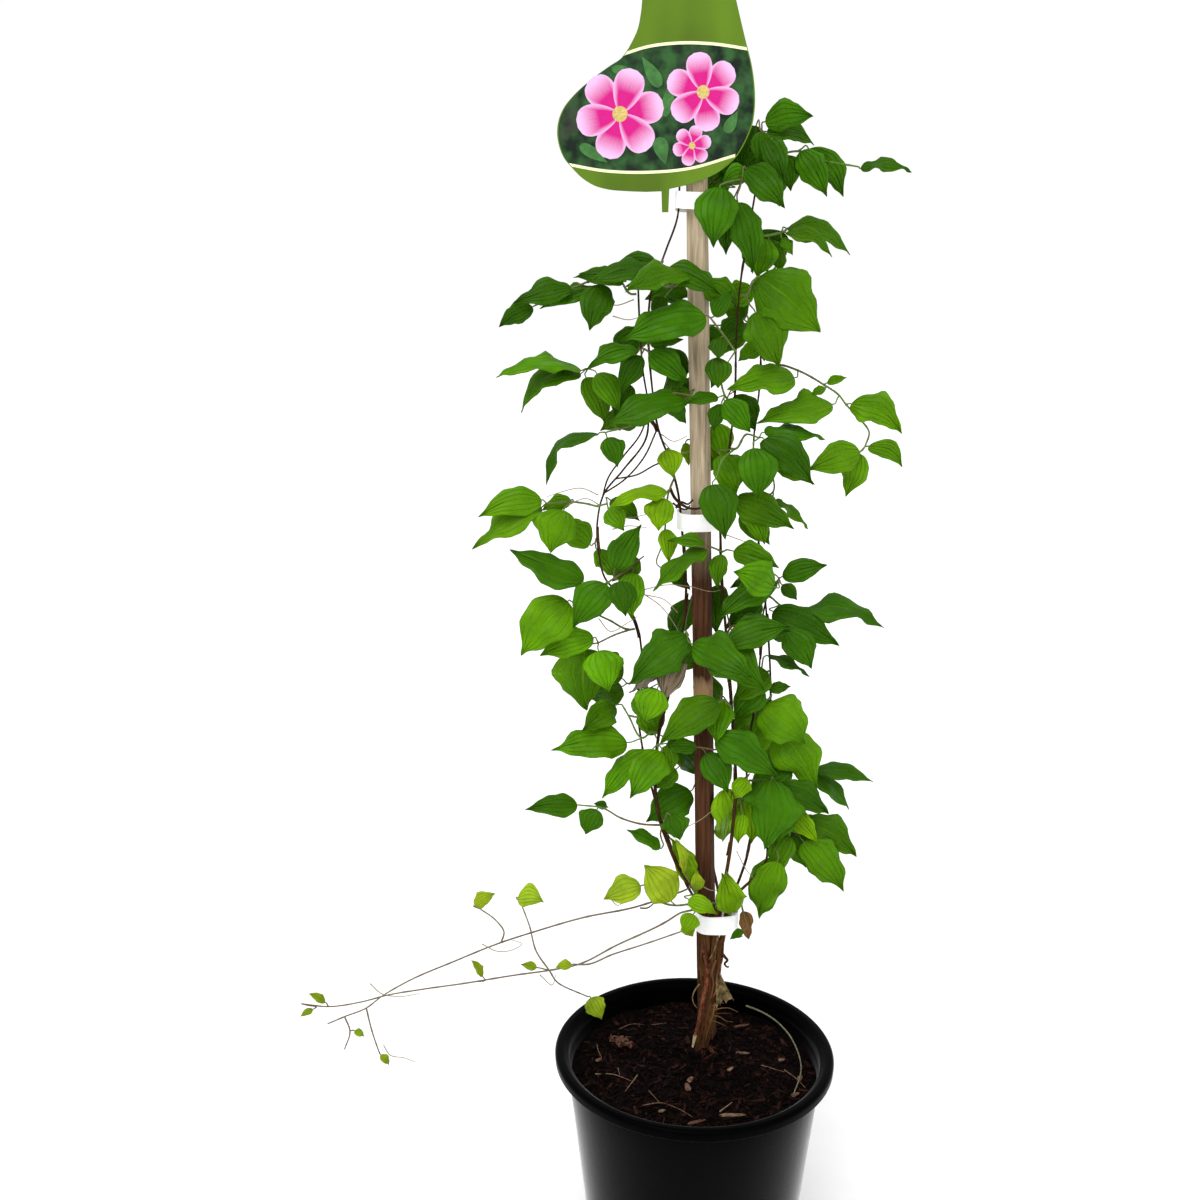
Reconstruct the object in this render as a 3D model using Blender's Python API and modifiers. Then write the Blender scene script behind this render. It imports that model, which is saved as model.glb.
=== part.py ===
"""A clematis in a nursery pot, tied to a square stake, with its label, its leafy fronds and two trailing shoots.

The tables below are in centimetres. Places of leaves were measured as x and z in the upright plane
y = READING_Y, as seen from VIEW_POINT, and each has its own depth y, so seen() slides it along the line
of sight to that depth. Stems, stake, ties and label have plain x, y, z. The origin is the middle of the
pot's underside, the viewer looks along +Y, and the scene is in metres.
"""

import math
from collections import namedtuple

import bmesh
import bpy
import numpy as np
from mathutils import Matrix, Vector, noise

CM = 0.01
GAP = 0.03  # between pieces that touch
SEED = 7
FLAT_ANGLE = 1.0  # degrees under which two faces of a fused piece count as one
MERGE_DISTANCES = [i * 1e-5 for i in range(10, 0, -1)] + [1e-6]  # metres; the first that keeps a piece closed

POT_HEIGHT = 14.05
POT_RIM_RADIUS = 8.6
POT_RIM_SKIRT = 0.65
POT_TOP_RADIUS = 7.95
POT_FOOT_RADIUS = 6.35
POT_WALL = 0.16
POT_FLOOR = 0.3
POT_STEPS = 32
DRAIN_HOLES = 8
DRAIN_HOLE_RADIUS = 0.45

SOIL_LEVEL = 12.6
SOIL_MOUND = 0.65
SOIL_ROUGHNESS = 0.16
SOIL_STEPS = 24
CHIP_COUNT = 16
TWIG_COUNT = 5

STAKE_SIDE = 1.0
STAKE_TURN = 27.0  # degrees round its own length
STAKE_FOOT = (1.39, 2.89, 3.5)
STAKE_TOP = (-0.58, 0.92, 66.5)

CROWN_CENTRE = (0.85, 0.95, 12.7)
CROWN_HALF = (1.05, 0.75, 0.75)

TIE_TAPE = 0.07
TIE_ROUNDNESS = 3.0  # exponent of the superellipse that the tape follows
TIE_STEPS = 20
Tie = namedtuple("Tie", "name x y half_x half_y low high")
TIES = (
    Tie("tie_low", 1.45, 2.05, 1.40, 1.30, 21.10, 22.38),
    Tie("tie_middle", -0.01, 1.53, 1.39, 1.18, 46.25, 47.34),
    Tie("tie_top", -0.77, 0.99, 1.00, 0.93, 63.90, 64.88),
)

LABEL_THICKNESS = 0.08
LABEL_Y = 0.21
# The card's outline, x and z, clockwise from its lowest point
LABEL_OUTLINE = (
    (-3.35, 64.80), (-4.40, 64.84), (-5.40, 64.93), (-6.10, 65.12), (-6.75, 65.50), (-7.30, 66.02),
    (-7.75, 66.55), (-8.00, 67.15), (-8.10, 67.80), (-8.00, 68.50), (-7.72, 69.10), (-7.30, 69.60),
    (-6.70, 70.15), (-6.00, 70.68), (-5.30, 71.15), (-4.70, 71.53), (-4.42, 71.87), (-4.10, 72.40),
    (-3.84, 72.95), (-3.68, 73.70), (-3.55, 75.00), (-3.30, 76.30), (-2.80, 77.40), (-2.05, 78.15),
    (-1.15, 78.40), (-0.20, 78.15), (0.50, 77.40), (0.90, 76.30), (1.15, 75.00), (1.45, 73.85),
    (1.85, 72.40), (2.20, 71.20), (2.38, 70.10), (2.42, 69.10), (2.30, 68.20), (1.98, 67.40),
    (1.45, 66.55), (0.75, 65.95), (-0.20, 65.45), (-1.10, 65.16), (-2.08, 64.95), (-2.12, 63.75),
    (-2.46, 63.75), (-2.50, 64.83),
)

STEM_TIP_RADIUS = 0.07
STEM_SIDES = 4
# Each woody stem: its radius at the crown, and the points that it runs through
STEMS = {
    "left": (0.22, (
        (0.50, 0.85, 12.7), (0.42, 1.10, 15.0), (0.50, 1.35, 18.0), (0.68, 1.32, 20.9),
        (0.66, 1.32, 22.5), (0.20, 1.25, 23.6), (-0.75, 1.10, 25.0), (-1.60, 1.00, 26.9),
        (-2.20, 1.20, 28.6), (-2.50, 1.50, 31.0), (-2.30, 1.70, 33.6), (-1.65, 1.80, 36.4),
        (-1.12, 1.70, 38.8), (-0.84, 1.55, 41.0), (-0.80, 1.50, 43.6), (-0.98, 1.42, 45.4),
        (-1.12, 1.36, 46.8), (-1.28, 1.28, 48.2), (-1.75, 1.10, 50.0), (-2.55, 1.00, 52.2),
        (-2.90, 1.00, 54.5), (-3.10, 0.90, 57.0), (-3.00, 0.70, 59.5), (-2.20, 0.72, 61.8),
        (-1.58, 0.82, 63.6), (-1.50, 0.85, 65.1), (-1.45, 1.00, 66.2))),
    "back": (0.14, (
        (1.25, 1.25, 12.7), (2.12, 2.45, 15.4), (1.68, 3.02, 18.0), (1.72, 2.92, 20.9),
        (1.70, 2.90, 22.5), (1.30, 3.20, 24.5), (0.80, 3.35, 28.5), (0.35, 3.20, 34.0),
        (0.05, 2.95, 40.0), (0.00, 2.55, 45.6), (0.00, 2.52, 47.6), (0.00, 2.60, 52.0),
        (-0.45, 2.30, 58.0), (-0.85, 1.76, 63.5), (-0.87, 1.73, 65.2), (-0.95, 1.90, 66.4))),
    "right_inner": (0.20, (
        (0.95, 0.80, 12.7), (1.02, 1.00, 15.0), (1.08, 1.18, 18.0), (1.32, 1.12, 20.9),
        (1.42, 1.10, 22.5), (1.70, 1.00, 23.8), (1.95, 0.90, 25.5), (2.20, 0.90, 28.0),
        (2.35, 1.00, 30.5), (2.20, 1.10, 33.5), (2.00, 1.20, 36.0), (1.75, 1.20, 38.5),
        (1.40, 1.10, 42.0), (1.15, 1.12, 45.6), (1.12, 1.10, 47.6), (1.40, 0.90, 50.0),
        (1.75, 0.70, 54.0), (1.75, 0.60, 57.0), (1.90, 0.60, 60.0), (2.40, 0.60, 63.5),
        (2.75, 0.50, 66.5), (2.70, 0.40, 68.0))),
    "right_outer": (0.15, (
        (1.32, 0.95, 12.7), (1.58, 1.30, 15.0), (1.68, 1.62, 18.0), (1.95, 1.55, 20.9),
        (2.10, 1.62, 22.5), (2.75, 1.85, 23.4), (3.60, 1.90, 24.3), (4.42, 1.80, 25.6),
        (4.40, 1.80, 26.9), (3.80, 2.00, 28.4), (3.20, 2.30, 30.5), (3.30, 2.50, 33.0),
        (3.60, 2.60, 35.5), (3.80, 2.60, 38.0), (3.90, 2.40, 41.0), (4.30, 2.10, 43.2))),
    "right_back": (0.13, (
        (1.50, 1.10, 12.7), (1.95, 1.75, 15.0), (2.02, 2.25, 18.0), (2.20, 2.30, 20.9),
        (2.32, 2.45, 22.5), (2.90, 2.85, 23.8), (3.40, 3.10, 25.3), (3.80, 3.50, 28.0),
        (4.40, 3.90, 31.5), (4.70, 4.00, 35.0), (4.50, 4.00, 39.0), (4.00, 3.80, 43.0),
        (3.40, 3.40, 47.0), (3.15, 3.00, 51.0), (3.40, 2.70, 55.0), (3.30, 2.40, 58.5),
        (3.60, 2.20, 61.0))),
    "bow": (0.12, (
        (0.25, 1.00, 12.7), (0.05, 1.35, 15.0), (0.02, 1.72, 18.0), (0.31, 1.76, 20.9),
        (0.29, 1.74, 22.5), (-0.45, 2.12, 23.9), (-1.70, 2.75, 27.0), (-2.90, 3.20, 31.0),
        (-3.50, 3.20, 35.0), (-3.30, 2.90, 38.5), (-3.70, 2.50, 40.6), (-4.50, 2.10, 42.1),
        (-5.50, 1.80, 43.3), (-5.90, 1.60, 45.0), (-5.95, 1.50, 46.8), (-5.60, 1.40, 48.3),
        (-4.50, 1.30, 49.7), (-3.15, 1.50, 51.6), (-3.05, 1.70, 53.0), (-3.40, 1.75, 55.5),
        (-3.60, 1.60, 58.0), (-3.70, 1.40, 60.0))),
}
TWINING_RADIUS = 0.055
# Bare leaf stalks that twine from stem to stem above the bow
TWINING = (
    ((-5.70, 1.43, 48.0), (-5.35, 1.60, 49.2), (-4.50, 1.75, 50.4), (-3.50, 1.80, 51.7), (-3.08, 1.70, 52.8)),
    ((-5.50, 1.40, 48.4), (-4.40, 1.00, 49.2), (-3.30, 0.85, 50.5), (-2.60, 1.00, 52.0)),
    ((-4.90, 1.33, 49.2), (-3.70, 0.75, 49.5), (-2.60, 0.70, 50.1), (-1.85, 1.08, 50.3)),
)

VIEW_POINT = (-5.8, -70.2, 57.3)
READING_Y = 1.8

STALK_RADIUS = 0.08
STALK_END_RADIUS = 0.06
STALK_STUB = 0.25
STALK_SIDES = 3
LEAF_STALK_RADIUS = 0.07
LEAF_THICKNESS = 0.075
LEAF_FULLNESS = 1.1
LEAF_WIDTH_SHARE = 0.48
LEAF_ARCH = 0.12
LEAF_BOW = 0.05
LEAF_FOLD = 0.34
LEAF_CURL = 0.42
LEAF_WAVE = 0.16
LEAF_WAVES = 1.6
LARGE_LEAF = 4.0
SMALL_LEAF = 2.3
LEAF_ROWS = {"large": (0.12, 0.42, 0.76), "middle": (0.18, 0.60), "small": (0.38,)}

BLADE_CLEARANCE = 0.27
STALK_CLEARANCE = 0.24
BEND_STEP = 0.4
BEND_STEPS = 6

TINTS = {
    "dark": (0.045, 0.130, 0.018),
    "mid": (0.075, 0.200, 0.022),
    "light": (0.130, 0.300, 0.035),
    "lime": (0.260, 0.420, 0.035),
    "dead": (0.110, 0.075, 0.045),
}

# A frond: its tint, the stem that bears it, the x and z of its root there, the side of the stem that
# it leaves from, its stalk's branches as (x, z, depth), and its leaves as
# (x and z of the stalk end, x and z of the tip, width as seen, depth of the stalk end, depth of the tip,
# and, where it isn't the usual one, the share of its length that the midrib bows up as seen)
Frond = namedtuple("Frond", "name tint stem root side branches leaves")
FRONDS = (
    Frond("frond_top_crown", "dark", "right_inner", (2.72, 67.3), "", [[(3.0, 68.0, 0.1)]], [
        (3.2, 68.6, 5.8, 68.9, 1.5, 0.0, -0.5, 0.12),
        (3.3, 68.1, 5.9, 67.4, 0.9, 0.3, 0.9, 0.12),
        (3.2, 67.7, 4.3, 65.6, 1.3, -0.2, -1.0),
        (3.0, 68.1, 3.0, 66.3, 1.1, 0.6, 0.9)]),
    Frond("frond_top_right", "dark", "right_inner", (2.75, 66.4), "",
          [[(4.0, 66.9, 0.8), (5.0, 67.1, 1.0), (6.6, 66.6, 1.3), (8.3, 66.3, 1.3)]], [
        (5.2, 67.1, 6.7, 64.7, 1.5, 0.9, 0.2),
        (5.6, 67.2, 7.6, 64.7, 1.5, 1.4, 1.9, 0.12),
        (8.5, 66.2, 11.3, 66.0, 0.6, 1.3, 1.0, 0.08),
        (4.2, 66.9, 4.7, 65.0, 1.3, 0.8, 1.1)]),
    Frond("frond_top_front", "mid", "right_inner", (2.55, 64.9), "front",
          [[(2.0, 65.6, -0.3), (1.2, 65.5, -0.8)]], [
        (2.2, 66.2, 4.4, 64.1, 1.6, -0.5, -1.2),
        (0.8, 65.2, 0.5, 62.0, 2.1, -1.0, -1.6),
        (1.8, 64.4, 2.7, 60.6, 1.6, -0.6, -1.1),
        (1.5, 64.2, 1.2, 61.6, 1.2, -0.2, 0.1),
        (2.3, 66.0, 0.9, 65.5, 1.1, 0.6, 0.7)]),
    Frond("frond_upper_tiers", "mid", "right_inner", (2.35, 63.0), "",
          [[(2.9, 62.8, 0.8), (4.2, 62.8, 1.3)]], [
        (3.2, 62.5, 3.0, 60.4, 1.9, 0.9, 0.3),
        (4.5, 62.8, 7.1, 61.5, 0.7, 1.1, 0.7, 0.14),
        (4.6, 63.0, 8.1, 61.6, 1.1, 1.6, 2.4, 0.14),
        (4.3, 62.5, 4.9, 61.6, 0.6, 1.1, 0.8),
        (3.6, 62.4, 4.3, 60.6, 1.0, 1.4, 1.7)]),
    Frond("frond_upper_broad", "light", "right_inner", (1.85, 59.4), "",
          [[(2.7, 60.2, 0.2)], [(2.6, 58.9, 0.1)]], [
        (3.1, 60.4, 6.6, 57.4, 3.0, 0.0, -0.8),
        (2.9, 58.5, 4.3, 55.5, 2.2, -0.2, -0.9)]),
    Frond("frond_right_bridge", "light", "right_back", (3.4, 55.6), "",
          [[(4.4, 55.6, 2.2), (5.4, 55.3, 1.8), (6.9, 54.5, 1.9), (7.8, 53.9, 1.9), (8.2, 53.4, 1.9),
            (9.0, 52.6, 2.1), (9.6, 51.8, 2.1), (9.4, 51.0, 1.9)]], [
        (5.2, 54.9, 1.4, 54.2, 1.6, 1.2, -0.4, 0.02),
        (7.1, 54.6, 8.2, 54.9, 0.5, 1.8, 1.5),
        (7.0, 54.3, 6.2, 53.9, 0.5, 1.8, 1.7),
        (7.4, 53.4, 3.1, 52.3, 1.5, 1.6, 0.6, 0.02),
        (8.5, 53.4, 11.5, 51.7, 1.7, 1.8, 1.2, 0.15),
        (9.6, 51.0, 11.6, 49.8, 1.1, 1.9, 2.3, 0.2),
        (9.1, 50.7, 6.1, 49.6, 1.7, 1.5, 1.0),
        (9.1, 50.6, 8.4, 48.1, 1.5, 1.9, 1.7, -0.04)]),
    Frond("frond_right_front", "dark", "right_inner", (1.75, 53.4), "front",
          [[(1.3, 53.9, -0.1), (0.9, 55.4, -0.3)]], [
        (1.3, 53.6, 2.8, 51.8, 1.4, -0.4, -0.9),
        (0.8, 56.0, 0.9, 54.3, 1.4, -0.4, -0.8),
        (0.9, 53.8, -1.0, 53.4, 0.7, -0.3, -0.6),
        (1.1, 53.4, 0.7, 51.9, 0.9, -0.2, -0.3)]),
    Frond("frond_right_dark", "dark", "right_inner", (1.5, 51.0), "",
          [[(2.6, 51.7, 0.3), (3.3, 51.5, 0.1)], [(1.2, 50.2, -0.1), (0.9, 49.2, -0.3)]], [
        (3.6, 51.8, 7.1, 51.4, 0.7, 0.3, 0.9, 0.02),
        (3.6, 51.4, 6.5, 48.8, 1.8, 0.0, -0.6, 0.1),
        (3.0, 50.9, 3.3, 48.0, 2.1, -0.3, -1.0),
        (0.7, 48.8, 1.5, 45.6, 2.0, -0.5, -1.2)]),
    Frond("frond_right_middle", "mid", "right_back", (3.3, 47.8), "",
          [[(2.9, 48.1, 2.4), (2.3, 48.0, 1.7)], [(4.2, 48.4, 2.9), (4.1, 49.6, 2.7)],
           [(2.8, 47.3, 3.3)]], [
        (2.0, 47.9, 5.5, 46.2, 1.8, 1.3, 0.3),
        (4.3, 47.9, 6.3, 46.2, 0.5, 2.8, 2.6, 0.02),
        (4.2, 50.2, 6.6, 48.8, 1.2, 2.5, 1.8),
        (2.4, 47.1, 4.1, 45.3, 1.5, 3.1, 2.7)]),
    Frond("frond_behind_stake", "lime", "back", (0.0, 51.4), "",
          [[(0.7, 52.1, 3.2)], [(-0.8, 51.4, 3.1)]], [
        (0.9, 52.0, 1.1, 49.5, 1.2, 3.3, 3.7),
        (-0.9, 51.2, -0.7, 49.9, 0.7, 3.2, 3.4)]),
    Frond("frond_left_top", "mid", "left", (-2.45, 61.3), "front",
          [[(-2.4, 61.0, 0.2)], [(-2.0, 60.4, 0.2), (-1.7, 59.9, 1.2)]], [
        (-2.7, 61.2, -5.0, 61.1, 1.0, 0.3, 0.9),
        (-2.0, 60.9, 1.0, 59.4, 1.3, -0.2, -0.9),
        (-2.6, 60.8, -6.5, 60.1, 1.1, 0.0, -0.8, 0.04),
        (-2.0, 59.8, -0.8, 59.3, 1.0, 1.6, 1.9),
        (-2.2, 59.3, -2.9, 58.3, 0.9, 1.3, 1.0),
        (-2.8, 60.1, -4.4, 59.9, 0.7, 1.1, 1.5)]),
    Frond("frond_left_top_far", "dark", "bow", (-3.7, 59.5), "",
          [[(-4.8, 60.4, 1.5), (-7.2, 59.9, 1.6), (-9.4, 58.9, 1.8)]], [
        (-5.1, 60.5, -7.0, 60.6, 0.6, 1.6, 2.3, 0.02),
        (-7.4, 59.8, -10.7, 59.0, 1.3, 1.5, 0.9, 0.02),
        (-5.6, 60.0, -6.4, 57.5, 1.8, 1.2, 0.6),
        (-9.6, 58.8, -11.5, 57.7, 1.1, 1.8, 1.6),
        (-6.3, 59.8, -9.2, 58.7, 0.8, 1.9, 2.3, 0.02)]),
    Frond("frond_left_long", "mid", "right_inner", (1.8, 56.4), "front",
          [[(1.2, 57.2, -0.3), (0.4, 58.2, -0.6)]], [
        (0.1, 58.3, -4.7, 56.9, 1.9, -0.8, -1.4),
        (1.0, 57.1, 0.9, 55.9, 1.0, -0.3, -0.5),
        (0.6, 58.3, 1.6, 59.7, 1.0, -0.5, -0.3)]),
    Frond("frond_left_middle", "dark", "left", (-3.08, 56.4), "front", [[(-3.3, 56.5, 0.3)]], [
        (-3.7, 56.4, -6.6, 55.3, 1.0, 0.2, -0.4, 0.1),
        (-3.0, 56.3, -0.8, 54.5, 1.4, 0.0, -0.5),
        (-3.5, 56.1, -4.6, 54.1, 1.3, 0.3, 0.4),
        (-3.0, 56.8, -1.1, 57.0, 0.8, 0.5, 0.8)]),
    Frond("frond_left_far", "mid", "bow", (-3.5, 55.9), "",
          [[(-4.9, 55.9, 1.8), (-6.5, 55.4, 1.7)]], [
        (-6.9, 55.3, -11.7, 54.9, 0.8, 1.5, 0.8, 0.08),
        (-6.9, 55.1, -10.3, 52.9, 1.1, 1.9, 2.5, 0.2),
        (-6.0, 55.1, -4.7, 53.0, 1.4, 1.3, 0.9),
        (-6.6, 54.9, -5.5, 52.3, 1.5, 2.1, 2.3)]),
    Frond("frond_left_across", "mid", "left", (-2.75, 53.3), "front",
          [[(-1.8, 54.0, -0.1), (-0.6, 53.9, -0.4)], [(-3.6, 52.4, 0.6), (-5.5, 51.8, 1.2)]], [
        (-1.0, 53.7, -5.5, 52.1, 1.6, -0.6, -1.2),
        (-5.9, 51.7, -8.9, 48.8, 0.7, 1.2, 0.5, 0.2),
        (-5.4, 51.5, -4.8, 49.8, 1.3, 1.1, 0.8),
        (-3.7, 52.3, -5.2, 52.3, 0.8, 1.1, 1.9),
        (-1.9, 53.6, -0.9, 52.3, 0.9, 0.3, 0.6),
        (-1.7, 54.4, -0.8, 55.2, 0.7, 0.1, 0.3)]),
    Frond("frond_left_lower", "lime", "left", (-1.6, 49.4), "front",
          [[(-1.9, 50.9, 0.5)], [(-1.8, 48.5, 0.6), (-2.0, 46.5, 0.9)]], [
        (-2.0, 50.8, -1.6, 49.2, 1.3, 0.4, -0.1),
        (-1.95, 48.4, -5.4, 47.4, 0.8, 0.6, 0.2),
        (-2.1, 48.0, -2.4, 46.1, 1.6, 0.3, -0.1),
        (-2.0, 46.2, -1.8, 44.2, 1.0, 0.9, 0.7)]),
    Frond("frond_bow_far", "light", "bow", (-5.8, 47.6), "front",
          [[(-6.6, 47.7, 1.9), (-7.3, 47.8, 2.0), (-8.9, 47.7, 2.0)], [(-5.4, 47.7, 1.0)]], [
        (-9.2, 47.9, -12.9, 46.9, 1.6, 1.9, 1.2, 0.1),
        (-9.2, 47.5, -13.3, 45.0, 1.4, 1.8, 0.9, 0.02),
        (-7.5, 47.9, -9.2, 47.3, 0.9, 2.4, 3.0),
        (-7.9, 47.3, -8.7, 44.8, 2.4, 1.7, 1.3),
        (-5.3, 47.4, -4.4, 46.1, 1.2, 0.9, 0.6)]),
    Frond("frond_bow_pair", "dark", "bow", (-5.4, 43.2), "front",
          [[(-6.3, 43.0, 1.4)], [(-5.0, 43.3, 1.1)]], [
        (-6.8, 43.1, -11.1, 45.0, 1.7, 1.3, 0.6, -0.03),
        (-4.9, 43.9, -3.4, 46.5, 1.6, 1.0, 0.5),
        (-4.7, 43.1, -4.3, 41.0, 1.6, 0.9, 0.3),
        (-5.4, 42.9, -7.4, 40.3, 2.0, 0.8, 0.3)]),
    Frond("frond_bow_pale", "light", "bow", (-3.55, 40.1), "",
          [[(-5.3, 40.8, 2.6), (-7.3, 41.8, 2.2)], [(-4.9, 39.9, 2.6), (-5.9, 39.4, 2.3)]], [
        (-7.7, 41.9, -10.5, 38.6, 2.8, 2.0, 1.5),
        (-6.2, 39.7, -9.4, 38.6, 1.7, 2.2, 1.8),
        (-5.9, 38.9, -5.3, 36.4, 2.2, 1.7, 1.2),
        (-6.7, 39.0, -6.6, 35.2, 3.0, 2.6, 3.0)]),
    Frond("frond_low_left_pair", "mid", "left", (-2.25, 33.9), "",
          [[(-3.2, 33.5, 1.4), (-4.1, 34.9, 2.0), (-4.5, 35.6, 2.2)],
           [(-3.4, 34.9, 0.9), (-3.5, 36.4, 0.9)]], [
        (-4.2, 33.2, -8.8, 32.7, 1.9, 1.3, 0.5),
        (-4.9, 35.5, -6.9, 33.9, 1.6, 2.2, 1.9),
        (-3.2, 36.6, -2.4, 34.2, 2.0, 0.8, 0.3)]),
    Frond("frond_stake_high", "mid", "left", (-1.0, 39.8), "front", [[(-0.7, 40.1, 0.6)]], [
        (-0.6, 39.8, -4.1, 36.8, 2.2, 0.4, -0.5)]),
    Frond("dead_leaf_hanging", "dead", "left", (-1.2, 38.7), "", [[(-0.9, 38.6, 1.0)]], [
        (-1.1, 38.4, -2.0, 35.9, 1.7, 0.8, 0.5),
        (-1.4, 38.2, -4.0, 36.3, 1.0, 1.1, 1.3)]),
    Frond("frond_stake_pale", "light", "right_inner", (2.0, 35.8), "front", [[(1.6, 35.9, 0.3)]], [
        (1.3, 35.7, -2.2, 33.1, 2.0, 0.0, -0.9)]),
    Frond("frond_left_hanging", "mid", "left", (-2.4, 32.4), "front", [[(-2.3, 33.1, 0.8)]], [
        (-2.8, 32.6, -5.7, 29.6, 1.5, 0.8, 0.3),
        (-2.1, 32.6, -4.0, 29.6, 2.0, 0.5, -0.3),
        (-1.8, 33.0, -1.7, 31.0, 1.0, 0.8, 0.9)]),
    Frond("frond_dark_low", "dark", "back", (0.65, 30.3), "", [[(-0.1, 30.4, 2.7)]], [
        (-0.3, 30.1, -3.0, 28.1, 2.1, 2.2, 0.4)]),
    Frond("frond_low_left", "dark", "left", (-2.1, 28.3), "front",
          [[(-1.7, 28.7, 0.5)], [(-3.4, 28.0, 1.3), (-4.6, 28.4, 1.6), (-5.6, 29.0, 1.7), (-7.0, 29.2, 1.8)],
           [(-2.1, 27.4, 0.5), (-1.9, 26.6, 0.6)]], [
        (-1.5, 28.5, -0.9, 26.9, 1.5, 0.3, 0.0),
        (-7.2, 29.2, -10.4, 28.9, 1.3, 1.8, 1.2, 0.04),
        (-6.0, 28.9, -6.7, 27.3, 1.5, 1.6, 1.2),
        (-5.4, 29.1, -6.2, 29.3, 0.5, 1.9, 2.2),
        (-2.1, 26.4, -4.2, 27.6, 0.8, 0.6, 0.9)]),
    Frond("frond_lime_low_left", "lime", "left", (-0.1, 23.4), "front",
          [[(-1.1, 22.6, 0.7), (-2.6, 23.2, 0.8), (-3.0, 24.0, 0.8)], [(0.15, 23.4, 0.7)],
           [(-0.5, 24.6, 0.6)]], [
        (-1.4, 22.9, -3.1, 25.3, 2.2, 0.6, 0.1),
        (-3.3, 23.9, -5.6, 23.0, 1.6, 0.8, 0.4),
        (0.2, 23.6, 0.1, 24.9, 0.8, 0.7, 0.5),
        (-0.6, 24.8, -1.2, 27.0, 0.6, 0.6, 0.4)]),
    Frond("frond_lime_low_right", "lime", "right_inner", (1.65, 23.1), "front",
          [[(1.9, 22.8, 0.4)], [(1.2, 22.8, 0.4)]], [
        (2.1, 22.9, 2.0, 24.9, 1.1, 0.3, 0.0),
        (1.0, 22.6, -0.4, 22.6, 0.7, 0.4, 0.2)]),
    Frond("dried_leaf_low", "dead", "right_outer", (2.8, 23.1), "front", [[(3.0, 22.6, 1.1)]], [
        (3.05, 22.2, 3.5, 20.3, 0.8, 0.9, 0.6)]),
    Frond("frond_right_lime", "lime", "right_outer", (3.5, 34.7), "",
          [[(3.9, 35.5, 2.2)], [(4.7, 34.4, 3.0)]], [
        (4.0, 35.4, 6.6, 33.1, 2.9, 1.9, 1.6),
        (5.0, 34.0, 7.4, 30.2, 2.6, 3.0, 2.6)]),
    Frond("frond_right_dark_far", "dark", "right_back", (4.4, 31.4), "",
          [[(5.5, 31.6, 4.4), (7.0, 31.4, 4.4)]], [
        (7.2, 31.4, 10.8, 30.7, 1.0, 4.3, 3.9),
        (7.2, 31.1, 9.4, 28.9, 1.0, 4.5, 4.9)]),
    Frond("frond_right_low", "mid", "right_outer", (4.3, 27.1), "",
          [[(5.0, 28.2, 2.6), (6.3, 27.4, 2.4)], [(5.3, 26.5, 3.2), (5.9, 28.0, 3.6)]], [
        (6.6, 28.1, 10.0, 25.8, 2.0, 2.3, 1.9, 0.1),
        (6.7, 26.8, 9.3, 23.5, 2.1, 2.1, 1.6),
        (5.8, 27.2, 4.9, 24.7, 1.5, 2.0, 1.7),
        (6.2, 28.4, 7.4, 26.9, 1.4, 3.6, 3.4),
        (5.0, 25.8, 4.1, 21.7, 2.2, 3.0, 2.6)]),
    Frond("frond_right_deep", "dark", "right_outer", (3.25, 30.6), "",
          [[(4.2, 30.8, 1.8), (4.9, 30.6, 1.6)]], [
        (4.9, 30.2, 5.0, 26.6, 2.3, 1.4, 0.8),
        (5.2, 30.4, 8.2, 28.6, 1.7, 1.6, 1.2)]),
    Frond("frond_right_over", "mid", "right_inner", (2.25, 32.9), "front",
          [[(1.5, 33.8, 0.4)], [(1.3, 32.8, 0.4), (0.3, 32.9, 0.3)]], [
        (1.2, 33.6, 4.9, 31.1, 2.1, 0.2, -0.6),
        (0.0, 32.9, -1.8, 32.9, 0.9, 0.3, 0.2),
        (0.6, 32.5, 2.0, 30.0, 1.7, 0.1, -0.5)]),
    Frond("frond_lime_inner", "lime", "right_inner", (2.35, 29.9), "",
          [[(2.9, 30.9, 1.4)], [(2.8, 29.0, 1.4)], [(1.9, 30.2, 1.9)]], [
        (3.1, 30.9, 2.4, 29.6, 1.1, 1.1, 0.6),
        (2.9, 28.6, 2.7, 26.7, 1.1, 1.4, 1.1),
        (1.8, 30.1, 1.7, 28.0, 0.9, 2.3, 2.6)]),
    Frond("frond_right_behind", "dark", "right_outer", (3.75, 37.4), "",
          [[(3.9, 38.5, 1.9)], [(4.1, 36.8, 1.9)]], [
        (4.2, 38.6, 6.7, 37.3, 0.5, 1.8, 1.3, 0.02),
        (3.9, 36.6, 2.2, 34.7, 1.7, 1.7, 1.3),
        (4.3, 36.5, 5.6, 36.7, 0.7, 1.9, 1.8)]),
    Frond("frond_right_shelf", "mid", "right_inner", (1.62, 39.9), "front",
          [[(0.8, 39.8, 0.3)], [(1.9, 40.3, 0.6), (3.6, 40.5, 0.9), (5.0, 40.3, 0.9)]], [
        (0.6, 39.5, 4.1, 36.4, 2.4, 0.1, -1.1),
        (2.1, 40.1, 5.5, 40.1, 1.7, 0.4, -0.4),
        (2.2, 40.5, 3.9, 40.9, 0.9, 0.9, 1.4),
        (5.3, 40.1, 6.8, 37.8, 1.8, 0.9, 0.4, 0.1)]),
    Frond("frond_right_wing", "dark", "right_back", (4.15, 41.8), "",
          [[(4.8, 41.7, 3.1), (5.9, 41.4, 2.9)]], [
        (4.4, 41.3, 8.4, 39.2, 1.9, 2.4, 1.8),
        (6.2, 41.3, 11.0, 40.3, 1.3, 2.9, 2.2, 0.1)]),
    Frond("frond_right_crest", "dark", "right_outer", (4.25, 42.9), "", [[(4.7, 43.3, 1.6)]], [
        (4.5, 43.1, 1.2, 40.9, 1.6, 1.2, 0.2),
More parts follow.
